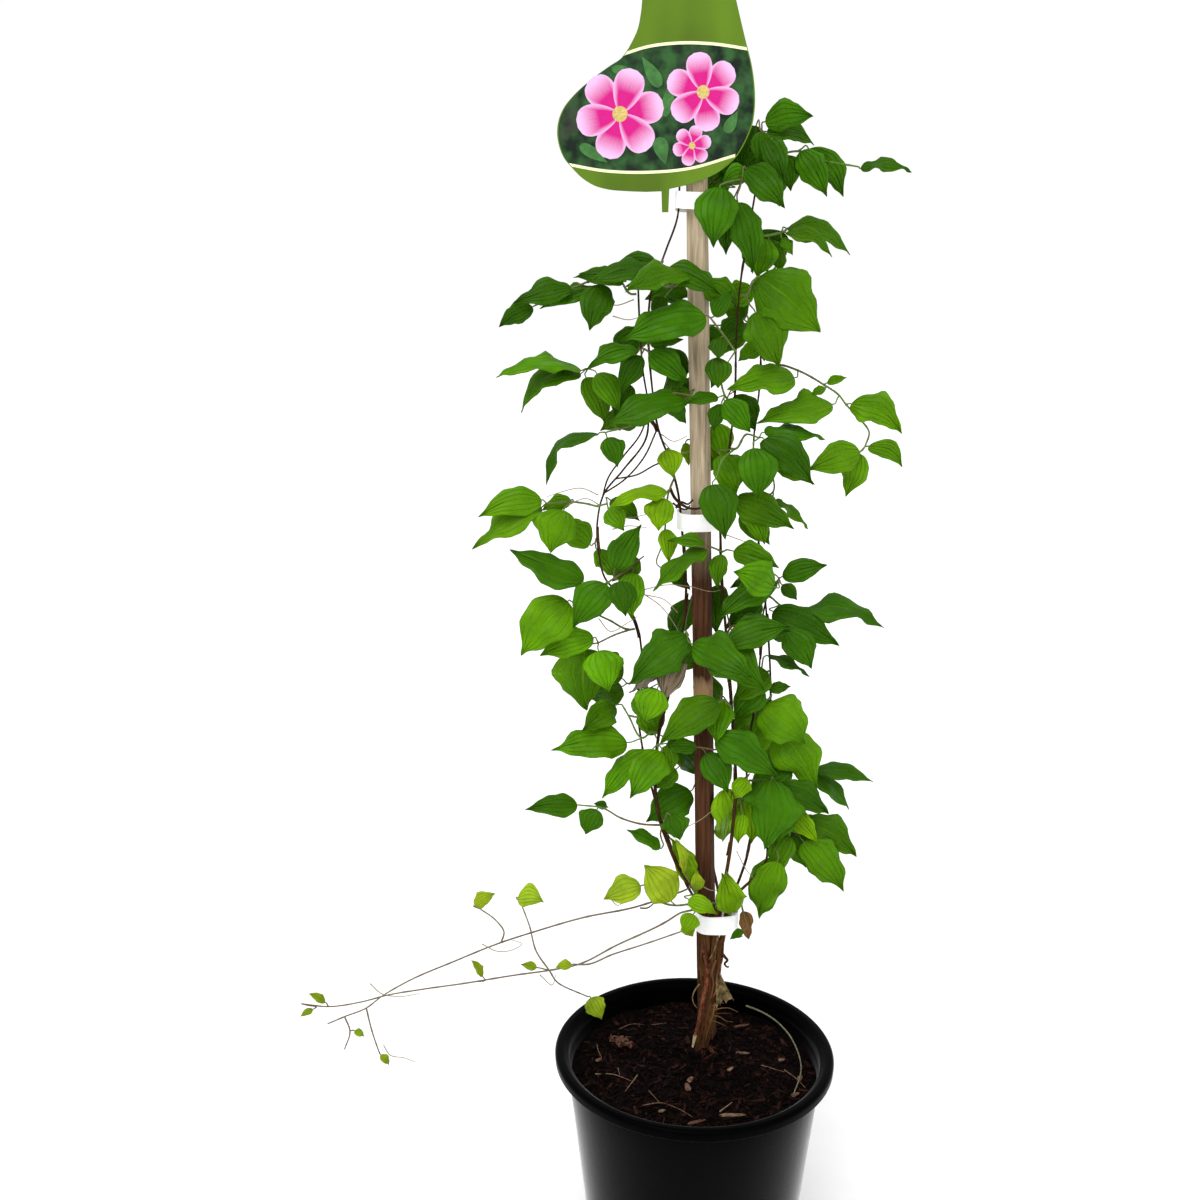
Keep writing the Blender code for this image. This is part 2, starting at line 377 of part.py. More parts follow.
        (4.9, 42.9, 5.8, 42.0, 0.8, 1.4, 1.0),
        (4.9, 43.4, 7.5, 44.1, 1.3, 1.6, 1.2),
        (4.3, 43.5, 1.8, 42.7, 1.0, 1.8, 2.0)]),
    Frond("frond_stake_band", "mid", "right_inner", (1.18, 45.0), "front",
          [[(1.6, 45.0, 0.4)], [(0.6, 45.2, 0.3)]], [
        (2.0, 44.9, 4.7, 43.9, 1.4, 0.3, -0.3),
        (1.3, 44.7, 1.1, 42.7, 1.0, 0.2, 0.0),
        (0.4, 45.0, -2.7, 42.5, 1.0, 0.2, -0.4),
        (0.3, 45.3, -1.9, 45.5, 0.7, 0.3, 0.2)]),
    Frond("frond_back_top", "dark", "back", (-0.93, 66.1), "", [[(-1.1, 66.6, 2.7)]], [
        (-1.4, 66.7, -3.6, 67.6, 1.6, 2.9, 4.0),
        (-0.8, 66.7, 1.3, 67.2, 1.5, 2.8, 3.8),
        (-0.9, 66.3, -0.3, 64.5, 1.3, 2.7, 3.1)]),
    Frond("frond_back_right_top", "mid", "right_back", (3.55, 60.6), "", [[(4.0, 61.0, 3.5)]], [
        (4.3, 60.8, 5.8, 58.6, 1.8, 3.8, 5.4),
        (3.9, 60.7, 3.4, 58.4, 1.7, 3.7, 5.0)]),
    Frond("frond_back_inner", "mid", "right_back", (3.2, 57.6), "", [[(2.6, 57.9, 2.9)]], [
        (2.4, 57.8, 1.0, 56.1, 1.4, 2.8, 3.2),
        (2.3, 58.1, 0.9, 59.6, 1.4, 2.8, 3.3),
        (2.9, 57.6, 3.5, 55.8, 1.3, 3.0, 3.6)]),
    Frond("frond_back_left_top", "mid", "bow", (-3.6, 58.0), "", [[(-3.4, 58.0, 2.9)]], [
        (-3.1, 58.0, -0.9, 57.7, 1.5, 3.1, 4.6),
        (-3.5, 57.7, -4.3, 55.9, 1.4, 3.1, 4.4)]),
    Frond("frond_back_bow", "light", "bow", (-5.92, 45.6), "", [[(-6.1, 45.4, 2.7)]], [
        (-6.4, 45.3, -8.3, 46.6, 1.6, 3.0, 4.6),
        (-6.0, 45.0, -5.0, 43.4, 1.2, 3.0, 4.4)]),
    Frond("frond_back_left_low", "mid", "bow", (-3.45, 36.4), "", [[(-4.2, 36.9, 4.2)]], [
        (-4.5, 37.2, -6.6, 38.6, 1.9, 4.4, 5.8),
        (-4.5, 36.7, -6.4, 35.9, 1.7, 4.4, 5.9)]),
    Frond("frond_back_right_low", "light", "right_back", (4.6, 33.4), "", [[(5.0, 33.4, 4.9)]], [
        (5.2, 33.2, 6.2, 31.2, 2.0, 5.1, 6.4),
        (5.1, 33.7, 5.0, 35.3, 1.6, 5.1, 6.5),
        (4.8, 33.1, 4.2, 31.0, 1.7, 5.2, 6.0)]),
    Frond("frond_back_right_middle", "mid", "right_back", (4.3, 40.6), "", [[(4.1, 40.6, 4.8)]], [
        (3.8, 40.5, 2.2, 40.0, 1.5, 4.9, 6.2),
        (4.3, 40.4, 6.0, 39.9, 1.6, 5.0, 6.2)]),
    Frond("frond_back_centre", "mid", "back", (0.2, 36.8), "", [[(0.3, 37.8, 4.1)]], [
        (0.6, 38.0, 2.7, 38.2, 1.7, 4.2, 5.6),
        (0.0, 38.2, -2.3, 38.7, 1.6, 4.2, 5.6),
        (0.3, 37.4, 0.9, 34.8, 1.6, 4.3, 5.4)]),
    Frond("shoot_lower", "light", "left", (0.2, 22.95), "front",
          [[(-0.8, 22.1, 0.4), (-1.7, 21.5, 0.5), (-4.8, 19.9, 0.8), (-7.2, 18.6, 1.0),
            (-9.0, 18.2, 1.0), (-11.0, 17.9, 1.0), (-14.4, 17.3, 1.2), (-17.0, 16.9, 1.4),
            (-19.2, 16.5, 1.5), (-21.0, 16.0, 1.4), (-23.0, 15.7, 1.2), (-24.7, 15.9, 1.0)],
           [(-6.7, 18.6, 0.9), (-5.0, 19.3, 0.6), (-3.0, 20.0, 0.4), (-0.6, 20.9, 0.3)],
           [(-9.8, 19.5, 1.2), (-10.2, 21.2, 1.4), (-10.7, 22.7, 1.5)],
           [(-8.4, 17.3, 2.8), (-6.6, 16.4, 4.4)]], [
        (-0.5, 21.4, 0.0, 20.5, 0.9, 0.2, 0.0),
        (-10.9, 23.1, -9.3, 22.8, 1.3, 1.5, 1.2, 0.2),
        (-6.4, 16.3, -5.7, 14.8, 1.3, 4.5, 3.5),
        (-7.6, 18.6, -8.6, 18.4, 0.6, 0.8, 0.6),
        (-9.8, 18.4, -10.8, 18.6, 0.5, 0.9, 0.7),
        (-13.2, 17.8, -13.9, 18.9, 0.5, 1.1, 1.0),
        (-23.2, 16.0, -24.2, 16.6, 0.5, 1.1, 1.0),
        (-24.0, 15.5, -24.8, 15.0, 0.4, 1.1, 0.9)]),
    Frond("shoot_upper", "light", "bow", (-0.35, 23.6), "",
          [[(-2.4, 22.9, 2.6), (-3.6, 22.5, 2.8), (-6.8, 21.8, 3.0), (-10.0, 20.8, 3.2),
            (-12.0, 20.1, 3.2), (-15.0, 18.8, 3.2), (-18.0, 17.4, 3.0), (-19.6, 16.4, 2.8),
            (-20.6, 15.6, 2.6), (-22.0, 15.0, 2.4), (-23.1, 14.5, 2.2)],
           [(-11.8, 20.8, 3.2), (-12.3, 21.6, 3.2), (-13.3, 22.4, 3.1)],
           [(-20.3, 14.0, 2.4), (-19.9, 12.5, 2.2)],
           [(-21.7, 14.0, 2.2), (-22.1, 12.7, 2.0)]], [
        (-13.6, 22.6, -12.3, 23.4, 0.9, 3.0, 2.8),
        (-19.8, 12.3, -19.3, 11.6, 0.5, 2.2, 2.1),
        (-21.4, 14.0, -20.8, 13.6, 0.45, 2.1, 1.9)]),
)

Leaf = namedtuple("Leaf", "hub base tip normal bow width phase")


def seen(x, z, depth):
    """The point at this depth on the line of sight through x and z of the reading plane."""
    eye = np.array(VIEW_POINT)
    share = (depth - eye[1]) / (READING_Y - eye[1])
    return eye + share * (np.array((x, READING_Y, z)) - eye)


def unit(vector):
    return vector / max(np.linalg.norm(vector), 1e-9)


def stem_radii(name, share):
    """The stem thins quickly above the crown and slowly from there on."""
    return STEM_TIP_RADIUS + (STEMS[name][0] - STEM_TIP_RADIUS) * (1 - share) ** 1.8


def stem_line(name):
    """Points close together along a stem, and its radius at each."""
    points = np.array(STEMS[name][1])
    marks = np.arange(0, len(points) - 1 + 1e-6, 1 / 20)
    route = np.stack([np.interp(marks, np.arange(len(points)), points[:, i]) for i in range(3)], axis=1)
    return route, stem_radii(name, marks / (len(points) - 1))


def leaf_outline(u):
    """Half width over its greatest value: round at the stalk, widest at a third, drawn out to the tip."""
    u = np.clip(u, 0.0, 1.0)
    return u ** 0.55 * (1 - u) ** 1.1 / 0.3497


def leaf_stance(base, tip, width_seen):
    """Which way the blade faces, which way its midrib bows, and its true width.

    A blade seen narrow has turned up towards the sky.
    """
    along = unit(tip - base)
    sight = unit(np.array(VIEW_POINT) - (base + tip) / 2)
    facing = unit(sight - along * (sight @ along))
    upward = np.cross(along, facing)
    outward = (base + tip) / 2 * (1, 1, 0)
    if upward[2] + 0.02 * (upward @ outward) < 0:
        upward = -upward
    width = max(width_seen, LEAF_WIDTH_SHARE * np.linalg.norm(tip - base))
    turn = min(math.acos(width_seen / width), math.radians(72))
    return unit(facing * math.cos(turn) + upward * math.sin(turn)), upward, width


def blade_points(leaf, u, v):
    """Points of the blade's middle surface on a grid.

    u runs from the leaf's stalk to its tip and v from one edge to the other, -1 to 1. The midrib arches
    off the straight line, the halves fold up from it and curl down again, and the edges wave.
    """
    u = np.asarray(u, float)[:, None]
    v = np.asarray(v, float)[None, :]
    along = leaf.tip - leaf.base
    length = np.linalg.norm(along)
    side = np.cross(leaf.normal, along / length)
    half = leaf.width / 2 * leaf_outline(u)
    rise = LEAF_ARCH * length * np.sin(math.pi * u ** 0.85)
    wave = LEAF_WAVE * np.abs(v) * np.sin(2 * math.pi * LEAF_WAVES * u + leaf.phase + 1.3 * np.sign(v))
    off = half * (LEAF_FOLD * np.abs(v) - LEAF_CURL * v ** 2 + wave)
    middle = leaf.base + u[..., None] * along + rise[..., None] * leaf.normal
    middle = middle + np.sin(math.pi * u)[..., None] * leaf.bow
    return middle + (v * half)[..., None] * side + off[..., None] * leaf.normal


class Crowd:
    """What already stands in the way: points with the name of what they belong to and how near others may come."""

    def __init__(self):
        self.points = np.empty((0, 3))
        self.owners = np.empty(0, int)
        self.room = np.empty(0)

    def add(self, points, owner, room):
        self.points = np.vstack([self.points, points])
        self.owners = np.append(self.owners, np.full(len(points), owner))
        self.room = np.append(self.room, np.full(len(points), room))

    def shortfall(self, points, owner, reach):
        """How far the points are too near to what others own, and none where it is zero."""
        low = points.min(0) - reach
        high = points.max(0) + reach
        near = np.all((self.points > low) & (self.points < high), axis=1) & (self.owners != owner)
        if not near.any():
            return 0.0
        apart = np.linalg.norm(points[:, None, :] - self.points[near][None, :, :], axis=2)
        short = np.clip(self.room[near][None, :] - apart, 0, None)
        return float(short.sum())


def root_of(frond):
    """Where the frond leaves its stem: the stem's nearest point, and the direction out of its side."""
    route, radii = stem_line(frond.stem)
    first = seen(*frond.branches[0][0])
    nearest = int(np.argmin(np.hypot(route[:, 0] - frond.root[0], route[:, 2] - frond.root[1])))
    nearest = min(max(nearest, 2), len(route) - 3)
    run = unit(route[nearest + 2] - route[nearest - 2])
    out = first - route[nearest]
    if frond.side == "front":
        out = unit(out) + np.array((0, -2.0, 0))
    out = unit(out - run * (out @ run))
    start = route[nearest] + out * (radii[nearest] + GAP + 0.01)
    return start, start + out * STALK_STUB


def thick_points(route, step):
    """Points along a route at about this step."""
    found = [route[:1]]
    for start, end in zip(route[:-1], route[1:]):
        count = max(1, int(math.ceil(np.linalg.norm(end - start) / step)))
        found.append(start + (end - start) * (np.arange(1, count + 1) / count)[:, None])
    return np.vstack(found)


def stalk_routes(frond, shift):
    """The frond's branches, all but their root slid by this depth.

    The first starts at the stem, and each other at the nearest point of those before it.
    """
    start, stub = root_of(frond)
    routes = []
    for branch in frond.branches:
        points = [seen(x, z, depth + shift) for x, z, depth in branch]
        if routes:
            known = np.vstack([route[1:] for route in routes])
            joint = known[int(np.argmin(np.linalg.norm(known - points[0], axis=1)))]
            points = [joint - 0.03 * unit(points[0] - joint)] + points
        else:
            points = [start, stub] + points
        routes.append(np.array(points))
    return routes


def bends():
    """Pairs of depth shifts for a leaf's tip and its stalk end, the smallest first."""
    steps = [BEND_STEP * i for i in range(-BEND_STEPS, BEND_STEPS + 1)]
    pairs = [(tip, base) for tip in steps for base in steps if abs(base) <= 2 * BEND_STEP + 1e-6]
    return sorted(pairs, key=lambda pair: (round(abs(pair[0]) + 1.7 * abs(pair[1]), 6), pair))


def leaf_at(row, hubs, tip_shift, base_shift, phase):
    base = seen(row[0], row[1], row[5] + base_shift)
    tip = seen(row[2], row[3], row[6] + tip_shift)
    normal, upward, width = leaf_stance(base, tip, row[4] * LEAF_FULLNESS)
    bow = (row[7] if len(row) > 7 else LEAF_BOW) * np.linalg.norm(tip - base) * upward
    hub = hubs[int(np.argmin(np.linalg.norm(hubs - base, axis=1)))]
    return Leaf(hub, base, tip, normal, bow, width, phase)


def leaf_samples(leaf):
    blade = blade_points(leaf, np.linspace(0, 1, 13), np.linspace(-1, 1, 7)).reshape(-1, 3)
    return np.vstack([blade, thick_points(np.array([leaf.hub, leaf.base]), 0.25)])


def stake_axis():
    return np.array(STAKE_FOOT), np.array(STAKE_TOP)


def made_things(crowd):
    """Puts the stake, the ties, the label and the pot's rim into the crowd."""
    foot, top = stake_axis()
    crowd.add(thick_points(np.array([foot, top]), 0.3), 1001, STAKE_SIDE * 0.7 + 0.14)
    turn = np.linspace(0, 2 * math.pi, 48, endpoint=False)
    for tie in TIES:
        for z in np.linspace(tie.low, tie.high, 5):
            band = np.stack([tie.x + tie.half_x * power(np.cos(turn)),
                             tie.y + tie.half_y * power(np.sin(turn)), 0 * turn + z], axis=1)
            crowd.add(band, 1002, BLADE_CLEARANCE)
    x, z = np.meshgrid(np.linspace(-7.6, 2.2, 34), np.linspace(65.2, 76, 36))
    crowd.add(np.stack([x, 0 * x + LABEL_Y, z], axis=2).reshape(-1, 3), 1003, BLADE_CLEARANCE)
    turn = np.linspace(0, 2 * math.pi, 180, endpoint=False)
    rim = np.stack([8.2 * np.cos(turn), 8.2 * np.sin(turn), 0 * turn + POT_HEIGHT], axis=1)
    crowd.add(rim, 1004, 0.5)


def power(value):
    return np.sign(value) * np.abs(value) ** (2 / TIE_ROUNDNESS)


def laid_out():
    """For each frond its branch routes and its leaves, each bent along the line of sight until it is clear."""
    crowd = Crowd()
    made_things(crowd)
    for name in STEMS:
        crowd.add(stem_line(name)[0], 1000, 0.32)
    for route in TWINING:
        crowd.add(thick_points(np.array(route), 0.2), 1000, 0.25)
    shifts = [0.0] + [sign * BEND_STEP * i / 2 for i in range(1, 7) for sign in (-1, 1)]
    stalks = {}
    for owner, frond in enumerate(FRONDS):
        best = None
        for shift in shifts:
            routes = stalk_routes(frond, shift)
            points = np.vstack([thick_points(route[1:], 0.25) for route in routes])
            short = crowd.shortfall(points, owner, 0.9)
            if best is None or short < best[0] - 1e-9:
                best = (short, routes, points)
            if short == 0:
                break
        stalks[frond.name] = best[1]
        crowd.add(best[2], owner, STALK_CLEARANCE)
    leaves = {}
    draw = np.random.default_rng(SEED)
    tries = bends()
    for owner, frond in enumerate(FRONDS):
        hubs = np.vstack([route[1:] for route in stalks[frond.name]])
        leaves[frond.name] = []
        mine = Crowd()
        for row in frond.leaves:
            phase = draw.uniform(0, 2 * math.pi)
            best = None
            for tip_shift, base_shift in tries:
                leaf = leaf_at(row, hubs, tip_shift, base_shift, phase)
                points = leaf_samples(leaf)
                short = crowd.shortfall(points, owner, 0.9)
                short += mine.shortfall(points[21:91], -1, 0.9)
                if best is None or short < best[0] - 1e-9:
                    best = (short, leaf, points)
                if short == 0:
                    break
            leaves[frond.name].append(best[1])
            crowd.add(best[2], owner, BLADE_CLEARANCE)
            mine.add(best[2][21:91], 0, 0.2)
    return stalks, leaves


def clear_scene():
    for obj in list(bpy.data.objects):
        bpy.data.objects.remove(obj, do_unlink=True)


def new_collection(name):
    made = bpy.data.collections.new(name)
    bpy.context.scene.collection.children.link(made)
    return made


def new_material(name, colour, roughness, metallic=0.0):
    material = bpy.data.materials.new(name)
    material.use_nodes = True
    shader = material.node_tree.nodes["Principled BSDF"]
    shader.inputs["Base Color"].default_value = (*colour, 1.0)
    shader.inputs["Roughness"].default_value = roughness
    shader.inputs["Metallic"].default_value = metallic
    material.diffuse_color = (*colour, 1.0)
    return material


def new_mesh_object(name, vertices, faces, collection):
    """An object from points in centimetres, with its faces pointing out."""
    mesh = bpy.data.meshes.new(name)
    mesh.from_pydata([tuple(np.asarray(v, float) * CM) for v in vertices], [], faces)
    shape = bmesh.new()
    shape.from_mesh(mesh)
    bmesh.ops.recalc_face_normals(shape, faces=shape.faces)
    shape.to_mesh(mesh)
    shape.free()
    made = bpy.data.objects.new(name, mesh)
    collection.objects.link(made)
    return made


def evaluated_mesh(obj):
    bpy.context.view_layer.update()
    graph = bpy.context.evaluated_depsgraph_get()
    return bpy.data.meshes.new_from_object(obj.evaluated_get(graph))


def applied(obj):
    """The object with its modifiers made part of its mesh."""
    mesh = evaluated_mesh(obj)
    obj.modifiers.clear()
    obj.data = mesh
    return obj


def ring_of(sides, collection):
    """A closed flat curve of radius 1 cm with this many corners."""
    curve = bpy.data.curves.new("ring", "CURVE")
    curve.dimensions = "2D"
    spline = curve.splines.new("POLY")
    spline.use_cyclic_u = True
    spline.points.add(sides - 1)
    for i, point in enumerate(spline.points):
        turn = 2 * math.pi * i / sides
        point.co = (math.cos(turn) * CM, math.sin(turn) * CM, 0.0, 1.0)
    ring = bpy.data.objects.new("ring", curve)
    collection.objects.link(ring)
    return ring


def tube(name, route, radii, sides, collection):
    """A rod with closed ends and this many sides along a route in centimetres, as a mesh."""
    curve = bpy.data.curves.new(name, "CURVE")
    curve.dimensions = "3D"
    curve.bevel_mode = "OBJECT"
    curve.bevel_object = ring_of(sides, collection)
    curve.use_fill_caps = True
    spline = curve.splines.new("POLY")
    spline.points.add(len(route) - 1)
    for point, place, radius in zip(spline.points, route, radii):
        point.co = (*(place * CM), 1.0)
        point.radius = radius
    guide = bpy.data.objects.new(name + "_guide", curve)
    collection.objects.link(guide)
    mesh = evaluated_mesh(guide)
    bpy.data.objects.remove(curve.bevel_object, do_unlink=True)
    bpy.data.objects.remove(guide, do_unlink=True)
    shape = bmesh.new()
    shape.from_mesh(mesh)
    bmesh.ops.remove_doubles(shape, verts=shape.verts, dist=1e-6)
    bmesh.ops.recalc_face_normals(shape, faces=shape.faces)
    shape.to_mesh(mesh)
    shape.free()
    made = bpy.data.objects.new(name, mesh)
    collection.objects.link(made)
    return made


def largest_shell(mesh):
    """Keeps the one shell with the most room in it, so a sealed hollow is filled and loose scrap dropped."""
    shape = bmesh.new()
    shape.from_mesh(mesh)
    bmesh.ops.triangulate(shape, faces=shape.faces)
    unseen = set(shape.faces)
    shells = []
    while unseen:
        shell = {unseen.pop()}
        edge_of_shell = list(shell)
        while edge_of_shell:
            face = edge_of_shell.pop()
            for edge in face.edges:
                for other in edge.link_faces:
                    if other in unseen:
                        unseen.discard(other)
                        shell.add(other)
                        edge_of_shell.append(other)
        shells.append(shell)
    shells.sort(key=lambda shell: -room_in(shell))
    spare = [face for shell in shells[1:] for face in shell]
    if spare:
        bmesh.ops.delete(shape, geom=spare, context="FACES")
    loose = [vertex for vertex in shape.verts if not vertex.link_faces]
    bmesh.ops.delete(shape, geom=loose, context="VERTS")
    for distance in MERGE_DISTANCES:
        tidied = shape.copy()
        bmesh.ops.remove_doubles(tidied, verts=tidied.verts, dist=distance)
        bmesh.ops.dissolve_limit(
            tidied, angle_limit=math.radians(FLAT_ANGLE), verts=tidied.verts, edges=tidied.edges)
        bmesh.ops.triangulate(tidied, faces=tidied.faces)
        closed = all(len(edge.link_faces) == 2 for edge in tidied.edges)
        if closed:
            tidied.to_mesh(mesh)
        tidied.free()
        if closed:
            break
    else:
        shape.to_mesh(mesh)
    shape.free()


def room_in(shell):
    """The volume inside a closed set of triangles."""
    total = 0.0
    for face in shell:
        a, b, c = (vertex.co for vertex in face.verts)
        total += a.dot(b.cross(c)) / 6
    return total


def fused(first, rest, solver="MANIFOLD"):
    """Joins the rest into the first with one Boolean on their collection, applies it, and removes them."""
    group = new_collection(first.name + "_repeats")
    for piece in rest:
        for holder in list(piece.users_collection):
            holder.objects.unlink(piece)
        group.objects.link(piece)
    join = first.modifiers.new("fuse", "BOOLEAN")
    join.operation = "UNION"
    join.operand_type = "COLLECTION"
    join.collection = group
    join.solver = solver
    applied(first)
    for piece in rest:
        bpy.data.objects.remove(piece, do_unlink=True)
    bpy.data.collections.remove(group)
    largest_shell(first.data)
    return first


def cut(obj, cutter, cutters):
    """Takes the cutter out of the object with a live Boolean."""
    for holder in list(cutter.users_collection):
        holder.objects.unlink(cutter)
    cutters.objects.link(cutter)
    cutter.hide_render = True
    cutter.display_type = "WIRE"
    hole = obj.modifiers.new(cutter.name, "BOOLEAN")
    hole.operation = "DIFFERENCE"
    hole.object = cutter


def turned(name, profile, steps, collection):
    """A round piece from its profile of radius and height, down its outer side first."""
    mesh = bpy.data.meshes.new(name)
    points = [(r * CM, 0.0, z * CM) for r, z in profile]
    mesh.from_pydata(points, [(i, i + 1) for i in range(len(points) - 1)], [])
    made = bpy.data.objects.new(name, mesh)
    collection.objects.link(made)
    turn = made.modifiers.new("turn", "SCREW")
    turn.steps = steps
    turn.render_steps = steps
    turn.use_merge_vertices = True
    turn.merge_threshold = 1e-5
    return made


def pot_inner_radius(z):
    """The inside of the tapered wall."""
    share = (z - POT_FLOOR) / (POT_HEIGHT - POT_FLOOR)
    return POT_FOOT_RADIUS - POT_WALL + share * (POT_TOP_RADIUS - POT_FOOT_RADIUS)


def make_pot(parts, cutters):
    """The tapered pot with its turned-down rim, thick floor and drain holes round the foot."""
    skirt = POT_HEIGHT - POT_RIM_SKIRT
    profile = [
        (0.0, POT_FLOOR),
        (POT_FOOT_RADIUS - 0.45, POT_FLOOR),
        (pot_inner_radius(POT_FLOOR + 0.4), POT_FLOOR + 0.4),
        (pot_inner_radius(POT_HEIGHT - 0.3), POT_HEIGHT - 0.3),
        (POT_TOP_RADIUS + 0.14, POT_HEIGHT),
        (POT_RIM_RADIUS - 0.14, POT_HEIGHT),
        (POT_RIM_RADIUS, POT_HEIGHT - 0.16),
        (POT_RIM_RADIUS - 0.03, skirt),
        (POT_RIM_RADIUS - 0.28, skirt),
        (POT_TOP_RADIUS, skirt + 0.1),
        (POT_TOP_RADIUS - 0.14, skirt - 0.42),
        (POT_FOOT_RADIUS, 0.3),
        (POT_FOOT_RADIUS - 0.15, 0.0),
        (0.0, 0.0),
    ]
    pot = turned("pot", profile, POT_STEPS, parts)
    for i in range(DRAIN_HOLES):
        bpy.ops.mesh.primitive_cylinder_add(vertices=8, radius=DRAIN_HOLE_RADIUS * CM, depth=1.6 * CM)
        hole = bpy.context.object
        hole.name = f"drain_cutter_{i}"
        angle = 2 * math.pi * (i + 0.5) / DRAIN_HOLES
        reach = (POT_FOOT_RADIUS - 0.1) * CM
        hole.rotation_euler = (0, math.radians(62), angle)
        hole.location = (reach * math.cos(angle), reach * math.sin(angle), 0.62 * CM)
        cut(pot, hole, cutters)
    return pot


def soil_height(x, y):
    """Level, with a low mound at the stems and lumps all over."""
    mound = SOIL_MOUND * math.exp(-((x - 0.9) ** 2 + (y - 1.5) ** 2) / 9.0)
    lumps = noise.noise(Vector((x * 0.9, y * 0.9, 3.1))) + 0.5 * noise.noise(Vector((x * 2.1, y * 2.1, 8.4)))
    return SOIL_LEVEL + mound + SOIL_ROUGHNESS * lumps


def make_soil(parts, cutters):
    """Bark mix that fills the pot, with chips and twigs fused into its top."""
    rings = 6
    top_radius = pot_inner_radius(SOIL_LEVEL) - GAP - 0.02
    profile = [(top_radius * i / rings, SOIL_LEVEL) for i in range(rings + 1)]
    profile += [
        (pot_inner_radius(POT_FLOOR + 0.6) - GAP, POT_FLOOR + 0.6),
        (POT_FOOT_RADIUS - 0.6, POT_FLOOR + GAP),
        (0.0, POT_FLOOR + GAP),
    ]
    soil = applied(turned("soil", profile, SOIL_STEPS, parts))
    for vertex in soil.data.vertices:
        if vertex.co.z > (SOIL_LEVEL - 0.01) * CM:
            x, y = vertex.co.x / CM, vertex.co.y / CM
            edge = min(1.0, (top_radius - math.hypot(x, y)) / 0.5)
            vertex.co.z = (SOIL_LEVEL + edge * (soil_height(x, y) - SOIL_LEVEL)) * CM
    draw = np.random.default_rng(SEED)
    bits = []
    while len(bits) < CHIP_COUNT + TWIG_COUNT:
        reach = 6.8 * math.sqrt(draw.uniform(0.05, 1.0))
        turn = draw.uniform(0, 2 * math.pi)
        x, y = reach * math.cos(turn), reach * math.sin(turn)
        twig = len(bits) >= CHIP_COUNT
        length = draw.uniform(1.2, 2.2) if twig else draw.uniform(0.7, 1.5)
        width = 0.14 if twig else draw.uniform(0.3, 0.55)
        heading, tilt, roll = draw.uniform(0, math.pi), draw.uniform(-0.25, 0.25), draw.uniform(-0.5, 0.5)
        if math.hypot(x - 1.0, y - 1.8) < 2.6:
            continue
        bpy.ops.mesh.primitive_cube_add(size=1.0)
        bit = bpy.context.object
        bit.name = f"bark_{len(bits)}"
        bit.scale = (length * CM, width * CM, (0.14 if twig else 0.24) * CM)
        bit.rotation_euler = (roll, tilt, heading)
        bit.location = (x * CM, y * CM, (soil_height(x, y) + 0.04) * CM)
        bits.append(bit)
    fused(soil, bits)
    stake_hole = stake_block("stake_hole_cutter", STAKE_SIDE + 2 * GAP, 2 * GAP)
    cut(soil, stake_hole, cutters)
    bpy.ops.mesh.primitive_cylinder_add(vertices=20, radius=1.0, depth=3.0 * CM)
    crown_hole = bpy.context.object
    crown_hole.name = "crown_hole_cutter"
    crown_hole.scale = ((CROWN_HALF[0] + 0.06) * CM, (CROWN_HALF[1] + 0.06) * CM, 1.0)
    bottom = CROWN_CENTRE[2] - CROWN_HALF[2] - GAP
    crown_hole.location = (CROWN_CENTRE[0] * CM, CROWN_CENTRE[1] * CM, (bottom + 1.5) * CM)
    cut(soil, crown_hole, cutters)
    return soil


def stake_block(name, side, longer):
    """The stake's square bar, turned on its length and leaning from foot to top."""
    foot, top = stake_axis()
    run = unit(top - foot)
    foot, top = foot - run * longer, top + run * longer
    bpy.ops.mesh.primitive_cube_add(size=1.0)
    bar = bpy.context.object
    bar.name = name
    lean = Vector(run).to_track_quat("Z", "Y").to_matrix()
    spin = Matrix.Rotation(math.radians(STAKE_TURN), 3, "Z")
    size = Matrix.Diagonal((side * CM, side * CM, float(np.linalg.norm(top - foot)) * CM))
    bar.data.transform((lean @ spin @ size).to_4x4())
    bar.location = Vector((foot + top) / 2 * CM)
    return bar


def make_stake(parts):
    stake = stake_block("stake", STAKE_SIDE, 0.0)
    for holder in list(stake.users_collection):
        holder.objects.unlink(stake)
    parts.objects.link(stake)
    edges = stake.modifiers.new("worn_edges", "BEVEL")
    edges.width = 0.07 * CM
    edges.segments = 1
    return stake


def make_tie(tie, parts):
    """A closed band of flat tape: a superellipse wall, thickened."""
    count = TIE_STEPS
    turn = np.linspace(0, 2 * math.pi, count, endpoint=False)
    ring = np.stack([tie.x + (tie.half_x - TIE_TAPE / 2) * power(np.cos(turn)),
                     tie.y + (tie.half_y - TIE_TAPE / 2) * power(np.sin(turn))], axis=1)
    points = [(x, y, z) for z in (tie.low, tie.high) for x, y in ring]
    faces = [(i, (i + 1) % count, count + (i + 1) % count, count + i) for i in range(count)]
    band = new_mesh_object(tie.name, points, faces, parts)
    tape = band.modifiers.new("tape", "SOLIDIFY")
    tape.thickness = TIE_TAPE * CM
    tape.offset = 0.0
    return band


